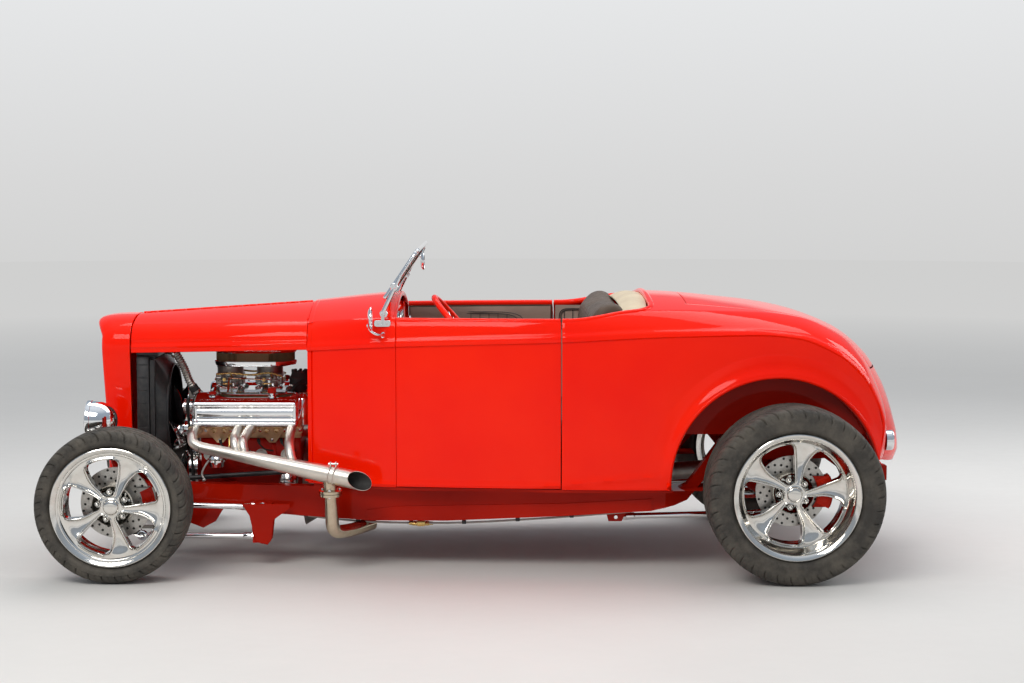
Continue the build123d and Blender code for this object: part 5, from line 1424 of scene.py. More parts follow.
    def hub(self, form: Form) -> None:
        """Hub back, centre cap and recessed lug nuts."""
        face = self.rim_w / 2 - self.dish
        c, a = self.centre, self.axle
        form.lathe([(face - 70, 0.2), (face - 70, 66), (face - 48, 70), (face - 40, self.hub_r + 40),
                    (face - 34, self.hub_r + 44), (face - 30, self.hub_r + 40)], c, a, 60)
        dome = [(face - 4, self.cap_r + 5), (face + 1, self.cap_r + 4), (face + 3, self.cap_r),
                (face + 9, self.cap_r - 2),
                (face + 13, self.cap_r - 6), (face + 14.5, self.cap_r - 14), (face + 15.5, 8),
                (face + 15.8, 0.1)]
        form.lathe(dome, c, a, 64)
        for turn in np.arange(self.spokes) * 2 * math.pi / self.spokes + math.radians(self.window_start):
            spot = self.place(np.array(self.lug_circle), np.array(turn), np.array(face - 34))
            form.lathe([(0, 12), (12, 12), (14, 11), (14, 0.1)], spot, a, 20)
            form.lathe([(10, 0.1), (10, 9.2), (24, 9.0), (27, 7), (29, 3), (29.4, 0.1)], spot, a, 6)

    def rim(self, form: Form) -> None:
        """Rim turned from one profile: rolled lip, stepped barrel and bead seats."""
        h, lip = self.rim_w / 2, self.lip_r
        outer = lip * self.window_r
        face = float(self.face_height(np.array([lip - 30.0]))[0])
        barrel = lip - 38
        profile = [
            (face, lip - 30), (face + 3, lip - 27), (max(face + 5, h - 26), lip - 24), (h - 12, lip - 21),
            (h - 7, lip - 18), (h - 4, lip - 10), (h - 1, lip - 6), (h, lip - 3), (h - 1.5, lip),
            (h - 5, lip + 1),
            (h - 10, lip - 1), (h - 12, lip - 4), (h - 12, lip - 14), (h - 34, lip - 18), (h - 62, barrel),
            (50 - h, barrel), (34 - h, lip - 18), (12 - h, lip - 14), (12 - h, lip - 2), (4 - h, lip),
            (-h, lip - 4), (4 - h, lip - 20), (34 - h, lip - 27), (50 - h, barrel - 8),
            (face - 40, barrel - 8), (face - 38, outer - 2), (face - 14, outer - 2),
        ]
        form.lathe(profile[::-1], self.centre, self.axle, 128)

    def wheel(self) -> None:
        """Builds the wheel."""
        form = Form(f"{self.name}_spoked_wheel")
        self.rim(form)
        self.spoke_face(form)
        self.hub(form)
        form.finish([Finish.WHEEL], f"{self.name}_wheel", "polished_metal", (f"{self.name}_wheel",), sharp=42)

    def tyre(self) -> None:
        """Builds the tyre.

        Rows follow the profile from bead to bead and columns go round. Grooves sink the tread
        where the sum of the angle and the swept distance from the middle comes near whole numbers,
        and along two rings; sipes are shallower and three times as close. Thin rings ridge the wall.
        """
        form = Form(f"{self.name}_treaded_tyre")
        half, lip, top = self.tyre_w / 2 - 1.2, self.lip_r, self.tyre_r - 0.05
        bead = self.rim_w / 2 - 12.3
        crown = [(0.0, top), (half * 0.3, top - 0.3), (half * 0.62, top - 2.0), (half - 22, top - 5.5),
                 (half - 11, top - 12), (half - 3.5, top - 24), (half - 0.4, top - 40),
                 (half, (top + lip) / 2),
                 (half - 3, lip + 16), (bead + 2, lip + 5), (bead, lip + 2), (bead, lip - 12)]
        run = spline([(a, r, 0) for a, r in crown[:-1]], 46)[:, :2]
        run = np.vstack([run, [crown[-1]]])
        profile = np.vstack([(run * vec(-1, 1))[:0:-1], run])
        columns = 620
        angle = np.linspace(0, 2 * math.pi, columns, endpoint=False)
        a, r = profile[:, :1], profile[:, 1:]
        pitch = 58.0
        blocks = round(2 * math.pi * top / pitch)
        sweep = np.abs(a) / half
        phase = angle * blocks / (2 * math.pi) + 1.5 * sweep**1.2 + 0.5 * (a > 0)
        near = np.abs((phase + 0.5) % 1 - 0.5) * pitch
        sipe = np.abs((phase * 2 + 0.5) % 1 - 0.5) * pitch / 2
        rings = np.minimum(np.abs(np.abs(a) - half * 0.2), np.abs(np.abs(a) - half * 0.52))
        tread = smoothstep(top - 44, top - 30, r)
        shoulder = smoothstep(half * 0.14, half * 0.24, np.abs(a))
        groove = (1 - smoothstep(1.8, 3.8, near)) * shoulder
        ring = 1 - smoothstep(2.8, 5.4, rings)
        fine = (1 - smoothstep(0.8, 2.4, sipe)) * smoothstep(half * 0.26, half * 0.34, np.abs(a)) * 0.45
        sink = 6.0 * tread * np.maximum(np.maximum(groove, ring), fine)
        wall = 1 - smoothstep(top - 40, top - 30, r)
        ridges = wall * (1.2 * bump(r, lip + 10, 1.8) + bump(r, lip + 18, 1.3) + bump(r, top - 44, 1.6)
                         + 0.8 * bump(r, (top + lip) / 2, 1.3))
        normal_a = np.gradient(profile[:, 1])[:, None]
        normal_r = -np.gradient(profile[:, 0])[:, None]
        length = np.hypot(normal_a, normal_r)
        move = (ridges - sink)
        along = a - move * normal_a / length
        radius = r - move * normal_r / length
        p = self.place(radius + 0 * angle, angle + 0 * radius, along + 0 * angle)
        form.grid(p[::self.side], 0, loop_v=True)
        form.finish([Finish.RUBBER], f"{self.name}_wheel", "tyre", (f"{self.name}_tyre",), sharp=50)

    def rotor(self) -> None:
        """Vented rotor: two faces with a groove between them at the rim, dark discs on the outer face that
        paint the shade of drilled holes, and the hat that seats on the hub.
        """
        form = Form(f"{self.name}_drilled_rotor")
        hat = self.half_track + self.rim_w / 2 - self.dish - 70.3 - self.rotor_y
        c = vec(self.station, self.side * self.rotor_y, self.tyre_r)
        rings, across_face = np.array([88.0, 100.0, 112.0, 124.0, 134.0]), self.axle
        form.lathe([(-6, 62), (-6, 142), (-2.2, 142), (-2.2, 136), (2.2, 136), (2.2, 142), (6, 142), (6, 62)],
                   c, across_face, 96)
        form.lathe([(5.9, 82.6), (6.6, 82), (6.6, 78.6), (5.9, 78)], c, across_face, 96)
        form.lathe([(-6, 64), (hat - 3, 61), (hat, 58), (hat, 27.2), (hat - 6, 27.2), (hat - 6, 56),
                    (-6, 60)],
                   c, across_face, 72)
        for number, ring in enumerate(rings):
            for turn in np.arange(12) * math.pi / 6 + number * math.radians(11):
                spot = c + vec(ring * math.cos(turn), self.side * 6.2, ring * math.sin(turn))
                # Each drilled hole is a thin dark disc on the face: painted shade, not a hole
                form.lathe([(0.35, 5.2), (0.5, 4.6), (-0.05, 4.0), (-0.05, 0.05)], spot, across_face, 12,
                           slot=1)
        form.finish([Finish.ROTOR, Finish.SOOT], f"{self.name}_wheel", "rotor_steel",
                    (f"{self.name}_rotor",))

    def caliper(self) -> None:
        """Red four-piston caliper round the rotor's rear or front edge."""
        form = Form(f"{self.name}_brake_caliper")
        front = self.station == 0
        body = f"{self.name.split('_')[1]}_knuckle" if front else "root"
        angle = np.linspace(math.radians(-25), math.radians(25), 16)
        for offset, thick in ((15.0, 19.0), (-15.0, 19.0)):
            ring = np.stack([np.stack([self.station + radius * np.cos(angle),
                                       np.full(16, self.side * (self.rotor_y + y)),
                                       self.tyre_r + radius * np.sin(angle)], axis=-1)
                             for radius, y in ((104, offset - thick / 2 + 3), (107, offset - thick / 2),
                                               (158, offset - thick / 2), (162, offset - thick / 2 + 4),
                                               (162, offset + thick / 2 - 4), (158, offset + thick / 2),
                                               (107, offset + thick / 2), (104, offset + thick / 2 - 3))],
                            axis=1)
            form.grid(ring, 0, loop_v=True)
            form.cap(ring[0])
            form.cap(ring[-1][::-1])
            for turn in (-0.22, 0.22):
                spot = vec(self.station + 132 * math.cos(turn),
                           self.side * (self.rotor_y + offset + math.copysign(thick / 2 - 0.5, offset)),
                           self.tyre_r + 132 * math.sin(turn))
                way = vec(0, self.side * math.copysign(1, offset), 0)
                form.lathe([(0, 19), (2.4, 18), (3.2, 15), (3.4, 0.1)], spot, way, 28)
        for turn in (-0.4, 0.4):
            a = vec(self.station + 157 * math.cos(turn), self.side * (self.rotor_y - 22),
                    self.tyre_r + 157 * math.sin(turn))
            form.tube(np.array([a, a + vec(0, self.side * 44, 0)]), 5.0, 10, slot=1)
        form.finish([Finish.CALIPER, Finish.CAST], body, "chassis_paint", (), weld=True)

    def build(self) -> None:
        """Builds the whole corner."""
        self.wheel()
        self.tyre()
        self.rotor()
        self.caliper()


def build_corners() -> None:
    """The four wheels: name, station, side, tyre radius and width, half track, lip, rim, dish and rotor."""
    for name, side in SIDES.items():
        Corner(f"front_{name}", 0.0, side, 306, 205, 715, 236, 186, 22, 668).build()
        Corner(f"rear_{name}", WHEELBASE, side, 352, 265, 748, 250, 246, 96, 685, window_start=40).build()


@dataclass
class Engine:
    """Eight-cylinder engine with its heads, covers, headers, carburettors and air cleaner."""

    front: float = 249.0
    rear: float = 693.0
    half: float = 232.0
    head_z: float = 571.0
    ports: tuple = (270.0, 442.0, 492.0, 662.0)
    collector_start: tuple = (290.0, -446.0, 498.0)
    collector_end: tuple = (896.0, -606.0, 396.0)

    def mirror(self, points: np.ndarray, side: int) -> np.ndarray:
        """Left-hand points, moved to the given side."""
        return np.asarray(points, float) * vec(1, -side, 1)

    def block(self) -> None:
        """Crankcase with a skirt, sump, core plugs, ribs and the bosses of the engine mounts."""
        form = Form("engine_block_casting")
        half = self.half - 1
        outline = [(-88, 252), (88, 252), (half - 64, 328), (half - 20, 392), (half, 470), (half, 500),
                   (half - 90, self.head_z + 28), (90 - half, self.head_z + 28), (-half, 500), (-half, 470),
                   (20 - half, 392), (64 - half, 328)]
        form.slab(np.array(outline, float), vec(self.front + 22, 0, 0), vec(0, 1, 0), vec(0, 0, 1),
                  self.rear - self.front - 24, edge=5)
        sump = rounded(94, 42, 22) + vec(0, 218)
        form.slab(sump, vec(self.front + 172, 0, 0), vec(0, 1, 0), vec(0, 0, 1), 260, edge=8)
        form.slab(rounded(104, 8, 4) + vec(0, 258), vec(self.front + 30, 0, 0), vec(0, 1, 0), vec(0, 0, 1),
                  400)
        for side in (LEFT, RIGHT):
            for x in np.linspace(self.front + 60, self.rear - 60, 4):
                spot = vec(x, side * (half - 14), 432)
                form.lathe([(0, 26), (17, 25), (17, 20), (13, 19), (13, 0.1)], spot, vec(0, side, 0.2), 28, 1)
            for x in np.linspace(self.front + 38, self.rear - 40, 12):
                form.bolt(vec(x, side * 96, 250), vec(0, side * 0.4, -1), 6, 1)
            for x in (self.front + 112, self.front + 330):
                form.box(vec(x - 9, min(side * 170, side * (half + 3)), 400),
                         vec(x + 9, max(side * 170, side * (half + 3)), 486), 0, 4)
        form.finish([Finish.ENGINE, Finish.CAST], "root", "engine_paint", ("engine_block",), weld=True)

    def heads(self) -> None:
        """Bronze heads with rows of bolts."""
        form = Form("cylinder_head_castings")
        for side in (LEFT, RIGHT):
            line = [(120, 577), (180, 543), (240, 509), (248, 509), (291, 582), (290, 588), (172, 656),
                    (165, 654)]
            outline = np.array([(side * y, z) for y, z in line], float)[::side]
            form.slab(outline, vec(self.front + 7, 0, 0), vec(0, 1, 0), vec(0, 0, 1), 440, edge=3)
            face = unit(vec(0, side * 75, -43))
            for x in np.linspace(self.front + 24, self.rear - 20, 7):
                form.bolt(vec(x, side * 262, 532), face, 7.5, 1)
            for x in np.linspace(self.front + 20, self.rear - 20, 14):
                form.bolt(vec(x, side * 296, 590), vec(0, side * 0.5, -0.86), 4.2, 1)
        form.finish([Finish.BRONZE, Finish.CHROME], "root", "bronze_paint", ("cylinder_heads",), weld=True)

    def cover_section(self) -> np.ndarray:
        """Section of a valve cover: lip, chrome ledge, inset face, rolled edge and nearly flat top."""
        return np.array([
            (287, 588), (300, 578), (322, 566), (331, 567), (335, 573), (334, 581), (324, 587), (316, 592),
            (315, 598), (321, 608), (323, 620), (321, 632), (317, 641), (321, 646), (330, 650), (333, 657),
            (330, 666), (318, 673), (300, 680),
            (268, 690), (240, 697), (216, 699), (200, 694), (190, 684), (182, 668), (172, 656),
        ], float)

    def covers(self) -> None:
        """Polished valve covers: a section swept lengthwise, pulled in at rounded ends, with caps and bolts.

        Near each end the section shrinks towards its middle by the square root of a quarter circle,
        so the ends close as rolled metal does.
        """
        form = Form("polished_valve_covers")
        section = self.cover_section()
        curve = spline([(0, y, z) for y, z in section], 90)[:, 1:]
        middle = vec(250, 634)
        end = np.linspace(0, 1, 9)
        x = np.concatenate([self.front + 1 + 16 * end**2, [self.front + 40, self.rear - 40],
                            self.rear - 2 - 16 * end[::-1] ** 2])
        round_off = 0.82 + 0.18 * np.sqrt(1 - (1 - end**2) ** 2)
        shrink = np.concatenate([round_off, [1, 1], round_off[::-1]])
        for side in (LEFT, RIGHT):
            ring = middle + (curve[None] - middle) * shrink[:, None, None]
            p = np.stack([np.broadcast_to(x[:, None], ring.shape[:2]), side * ring[..., 0], ring[..., 1]],
                         axis=-1)
            form.grid(p)
            form.cap(p[0])
            form.cap(p[-1])
            for end in (-1, 1):
                form.box(vec(self.front + 221 + end * 206 - 8, min(side * 308, side * 326), 590),
                         vec(self.front + 221 + end * 206 + 8, max(side * 308, side * 326), 648), 0, 5)
            for at, radius, high in ((330, 13, 7), (578, 15, 13)):
                base = vec(at, side * 268, 690)
                up = vec(0, side * 0.24, 0.97)
                form.lathe([(-4, 0.1), (-4, radius + 5), (3, radius + 4), (5, radius - 2), (5, radius - 3),
                            (high, radius - 3),
                            (high, 0.1)], base, up, 36)
                knurl = radius + 2 + 0.9 * np.cos(18 * np.linspace(0, 2 * math.pi, 144, endpoint=False))
                self.knurled(form, base + up * high, up, knurl, 17 if at > 500 else 7)
            for at in np.linspace(self.front + 60, self.rear - 60, 4):
                form.bolt(vec(at, side * 236, 697), vec(0, side * 0.2, 1), 5)
        form.finish([Finish.CHROME, Finish.POLISHED, Finish.ENGINE], "root", "chrome",
                    ("valve_covers",), weld=True, sharp=40)

    def knurled(self, form: Form, base: np.ndarray, up: np.ndarray, outline: np.ndarray, high: float) -> None:
        """A filler cap whose side is fluted, with a shallow domed top."""
        u, v = across(up)
        angle = np.linspace(0, 2 * math.pi, len(outline), endpoint=False)
        spoke = np.cos(angle)[:, None] * u + np.sin(angle)[:, None] * v
        rows = [(0, 0.9), (1, 1.0), (high - 1.5, 1.0), (high, 0.92), (high + 1.5, 0.6), (high + 2, 0.01)]
        flat = outline.mean()
        p = np.stack([base + up * h + spoke * (outline * s if s > 0.95 else flat * s)[..., None] if s > 0.95
                      else base + up * h + spoke * flat * s for h, s in rows])
        form.grid(p, 2, loop_v=True)

    def gasket_flange(self, form: Form, side: int) -> None:
        """Flange plates: one round each port, and three-cornered ones with two open bosses between ports."""
        face = unit(vec(0, side * 75, -43))
        along = unit(vec(0, side * 43, 75))
        for middle, wide in ((self.ports[0], 42), (467.0, 72), (self.ports[3], 42)):
            centre = vec(middle, side * 272, 548)
            outline = np.array([(-wide, -14), (-wide * 0.4, -26), (wide * 0.4, -26), (wide, -14), (wide, 12),
                                (wide * 0.3, 22), (-wide * 0.3, 22), (-wide, 12)], float)
            form.slab(outline, centre, vec(1, 0, 0), along, -7 * side, 1, 1.5)
            for at in (-wide + 10, wide - 10):
                form.bolt(centre + vec(at, 0, 0) + face * 7, face, 6.5, 2)
        gusset = np.array([(-56, 6), (-50, -10), (-13, -66), (13, -66), (50, -10), (56, 6), (46, 18),
                           (-46, 18)], float)
        for middle in (356.0, 575.0):
            centre = vec(middle, side * 273, 549)
            form.slab(gusset, centre, vec(1, 0, 0), along, -9 * side, 1, 2.0)
            for shift in (-21, 21):
                form.lathe([(0, 13), (8, 13), (9, 11.5), (9, 5.5), (2, 5.2), (2, 0.1)],
                           centre + vec(shift, 0, 0) + face * 8 - along * 2, face, 28, 1)
            form.bolt(centre - along * 50 + face * 9, face, 6.0, 2)

    def headers(self) -> None:
        """Silver headers: four primaries a side run into a tapering collector with a slash-cut end.

        The collector's radius grows in a straight line along it. Its open end is a ring whose points
        slide along the pipe by their height, and an inner wall runs back from it.
        """
        form = Form("silver_headers")
        for side in (LEFT, RIGHT):
            start, end = np.array(self.collector_start), np.array(self.collector_end)
            way = unit(end - start)
            bend = [(self.ports[0], -272, 549), (self.ports[0] - 4, -336, 552),
                    (self.ports[0] - 6, -404, 538),
                    (self.ports[0] + 4, -438, 512), (self.ports[0] + 36, -452, 496)]
            lead = spline(bend, 26)
            form.tube(self.mirror(lead, side), np.linspace(19.5, 21.5, 26), 24)
            for number, port in enumerate(self.ports[1:], 1):
                shift = (-2, -20, 12)[number - 1]
                share = (port + 20 + shift - start[0]) / (end[0] - start[0])
                goal = start + (end - start) * share
                run = spline([(port, -272, 549), (port + 1, -330, 556),
                              (port + shift * 0.4, -392 - 40 * share, 540),
                              (port + shift * 0.9 + 6, goal[1] + 22, goal[2] + 52), goal], 26)
                form.tube(self.mirror(run, side), 19.5, 24)
                weld = goal + unit(run[-4] - run[-1]) * (26 + 10 * share)
                form.tube(self.mirror(weld + unit(run[-1] - run[-4]) * np.array([[-3], [0], [3]]), side),
                          np.array([20.2, 22, 20.2]), 24)
            t = np.linspace(0, 1, 40)[:, None]
            main = lead[-1] + (end - lead[-1]) * t
            form.tube(self.mirror(main, side), 21.5 + 15.5 * smoothstep(-0.1, 1.05, t[:, 0]), 32,
                      capped=False)
            self.slash(form, side, end, way)
            self.clamp(form, side, end - way * 38, way)
            self.gasket_flange(form, side)
            self.turn_down(form, side)
        form.finish([Finish.HEADER, Finish.BRONZE, Finish.CHROME, Finish.SOOT,
                     Finish.WARM], "root", "header_coat", ("exhaust",), sharp=45)

    def slash(self, form: Form, side: int, end: np.ndarray, way: np.ndarray) -> None:
        """The collector's open end, cut on a slant that faces outwards and down, with its sooty bore, closed
        a little way in by a dark disc that is painted shade for the pipe's depth.
        """
        u, v = across(way)
        angle = np.linspace(0, 2 * math.pi, 48, endpoint=False)
        spoke = np.cos(angle)[:, None] * u + np.sin(angle)[:, None] * v
        rise = spoke @ unit(vec(0, 0.93, -0.36))
        length = 116.0 - 84.0 * (1 - rise) / 2
        rows = []
        for share, radius in ((0, 37), (1, 37), (1.006, 36), (1, 34.8), (0.3, 34.8), (-0.9, 33)):
            rows.append(end + way * (length * share)[:, None] + spoke * radius)
        p = self.mirror(np.stack(rows), side)[:, ::side]
        form.grid(p[:4], 0, loop_v=True)
        # Bore wall and closing disc in the near-black finish: soot on the wall, and painted shade on the disc
        # that stands for the pipe's depth
        form.grid(p[3:], 3, loop_v=True)
        form.cap(p[-1][::-1], 3)

    def clamp(self, form: Form, side: int, centre: np.ndarray, way: np.ndarray) -> None:
        """A band clamp round the collector with a bolt through its two ears."""
        for shift in (-9, 9):
            form.tube(self.mirror(centre + way * np.array([[shift - 4], [shift], [shift + 4]]), side),
                      np.array([37.5, 41, 37.5]), 36)
        form.tube(self.mirror(centre + way * np.array([[-8], [8]]), side), 39.5, 36)
        ear = centre + vec(0, -12, 40)
        for shift in (-11, 11):
            form.box(*self.ordered(self.mirror(ear + vec(shift - 3, -10, -4), side),
                                   self.mirror(ear + vec(shift + 3, 10, 18), side)), 0, 2)
        form.tube(self.mirror(np.array([ear + vec(-20, 0, 9), ear + vec(20, 0, 9)]), side), 4.5, 12, 2)

    def ordered(self, a: np.ndarray, b: np.ndarray) -> tuple[np.ndarray, np.ndarray]:
        """Two corners as lowest and highest."""
        return np.minimum(a, b), np.maximum(a, b)

    def turn_down(self, form: Form, side: int) -> None:
        """The pipe that leaves the collector downwards through a bolted flange and runs under the floor."""
        path = bent([(842, -592, 396), (846, -578, 320), (852, -562, 164), (915, -490, 158),
                     (1000, -384, 170)], 62, 12)
        form.tube(self.mirror(path, side), 27.5, 32, 4, capped=False)
        # A near-black plug closes the pipe's open end: soot, and painted shade for the pipe's depth
        form.tube(self.mirror(path[-3:], side), 25.0, 32, 3)
        for z in (322.0, 334.0):
            ring = np.array([(845.5, -577, z - 5), (845.5, -577.5, z + 5)])
            form.tube(self.mirror(ring, side), 47, 40, 4)
        for turn in np.arange(3) * 2 * math.pi / 3 + 0.5:
            spot = vec(845.5 + 39 * math.cos(turn), -577 + 39 * math.sin(turn), 316)
            form.bolt(self.mirror(spot, side), vec(0, 0, -1), 6, 2)
            form.bolt(self.mirror(spot + vec(0, 0, 24), side), vec(0, 0, 1), 6, 2)

    def intake(self) -> None:
        """Manifold with two carburettors: bowls, butterflies' shafts, linkage, fuel rail and studs."""
        form = Form("intake_and_carburettors")
        outline = np.array([(-116, 603), (116, 603), (92, 650), (84, 694), (-84, 694), (-92, 650)], float)
        form.slab(outline, vec(292, 0, 0), vec(0, 1, 0), vec(0, 0, 1), 358, edge=6)
        for side in (LEFT, RIGHT):
            for x in np.linspace(318, 630, 4):
                run = spline([(x, side * 60, 690), (x, side * 100, 672), (x, side * 132, 640),
                              (x, side * 146, 620)], 12)
                form.tube(run, 19, 20)
        for x in (369.0, 539.0):
            form.slab(rounded(58, 66, 10), vec(x, 0, 694), vec(1, 0, 0), vec(0, 1, 0), 12, edge=2)
            form.slab(rounded(40, 52, 16), vec(x, 0, 706), vec(1, 0, 0), vec(0, 1, 0), 44, 1, 4)
            form.slab(rounded(48, 60, 8), vec(x, 0, 726), vec(1, 0, 0), vec(0, 1, 0), 8, 1, 2)
            for end in (-1, 1):
                form.slab(rounded(22, 44, 6), vec(x + end * 36, 0, 712), vec(1, 0, 0), vec(0, 1, 0), 48, 1, 4)
                form.slab(rounded(24, 46, 6), vec(x + end * 36, 0, 740), vec(1, 0, 0), vec(0, 1, 0), 5, 2, 1)
                for y in (-36, 0, 36):
                    form.bolt(vec(x + end * 59, y, 734), vec(end, 0, 0), 4.5, 3)
            form.lathe([(0, 56), (34, 56), (38, 58), (40, 58)], vec(x, 0, 750), UP, 48, 1)
            for side in (LEFT, RIGHT):
                form.tube(np.array([vec(x - 24, side * 70, 718), vec(x + 24, side * 70, 718)]), 4, 10, 3)
                form.lathe([(0, 9), (14, 9), (16, 7), (16, 0.1)], vec(x - 18, side * 60, 736),
                           vec(0, side, 0), 18, 3)
                form.lathe([(0, 7), (16, 7), (18, 5), (18, 0.1)], vec(x + 20, side * 60, 716),
                           vec(0, side, 0), 16, 2)
                form.slab(rounded(5, 17, 4), vec(x + 4, side * 71, 728), vec(side, 0, 0), vec(0.2, 0, 1), 3,
                          2, 0.8)
                form.bolt(vec(x - 44, side * 52, 706), UP, 5, 2)
                form.bolt(vec(x + 44, side * 52, 706), UP, 5, 2)
        for side in (LEFT, RIGHT):
            rail = spline([(318, side * 78, 760), (380, side * 80, 764), (460, side * 80, 757),
                           (560, side * 80, 763), (600, side * 74, 748)], 40)
            form.tube(rail, 4.2, 12, 3)
            form.tube(spline([(380, side * 80, 762), (384, side * 74, 750), (388, side * 62, 742)], 12), 3.6,
                      10, 3)
            form.tube(spline([(550, side * 80, 762), (554, side * 74, 750), (558, side * 62, 742)], 12), 3.6,
                      10, 3)
            form.tube(np.array([vec(374, side * 76, 742), vec(548, side * 76, 736)]), 2.6, 8, 2)
            form.ball(vec(374, side * 76, 742), 5.5, 2, 12)
            form.ball(vec(548, side * 76, 736), 5.5, 2, 12)
        form.finish([Finish.POLISHED, Finish.CAST, Finish.CHROME, Finish.BRASS],
                    "root", "polished_metal", ("intake",), weld=True)

    def air_cleaner(self) -> None:
        """Oval air cleaner: chrome base and lid with rolled lips round a pleated paper element."""
        form = Form("oval_air_cleaner")
        half_x, half_y = 178.0, 111.0

        def oval(grow: float, count: int = 160) -> np.ndarray:
            """Outline of two half circles joined by straight sides, at an inset."""
            angle = np.linspace(0, 2 * math.pi, count, endpoint=False)
            radius = half_y + grow
            x = radius * np.cos(angle) + np.sign(np.cos(angle)) * (half_x - half_y)
            return np.column_stack([x, radius * np.sin(angle)])

        def shell(rows: list, slot: int, count: int = 160) -> None:
            """A closed form of ovals given by height and inset."""
            p = np.stack([np.column_stack([vec(477.5, 0) + oval(grow, count), np.full(count, z)]) for z,
                          grow in rows])
            form.grid(p, slot, loop_v=True)
            form.cap(p[0][::-1], slot)
            form.cap(p[-1], slot)

        shell([(792, -46), (793, -14), (797, -3), (806, 0), (815, -0.5), (817, -4), (817, -40)], 0)
        shell([(850, -40), (850, -10), (851, -2), (855, 0), (860, -1.5), (864, -8), (866, -20), (867, -60),
               (867.4, -100)], 0)
        count = 720
        angle = np.linspace(0, 2 * math.pi, count, endpoint=False)
        depth = -13.0 + 3.6 * np.cos(120 * angle)
        radius = half_y + depth
        base = np.column_stack([478 + radius * np.cos(angle) + np.sign(np.cos(angle)) * (half_x - half_y),
                                radius * np.sin(angle)])
        p = np.stack([np.column_stack([base, np.full(count, z)]) for z in (816.0, 851.0)])
        form.grid(p, 1, loop_v=True)
        for x in (400.0, 555.0):
            form.lathe([(0, 12), (3, 12), (4, 6), (4, 4), (0, 3.5)], vec(x, 0, 863.8), UP, 20)
        form.finish([Finish.CHROME, Finish.PAPER], "root", "chrome", ("air_cleaner",), weld=True, sharp=40)

    def build(self) -> None:
        """Builds the engine."""
        self.block()
        self.heads()
        self.covers()
        self.headers()
        self.intake()
        self.air_cleaner()


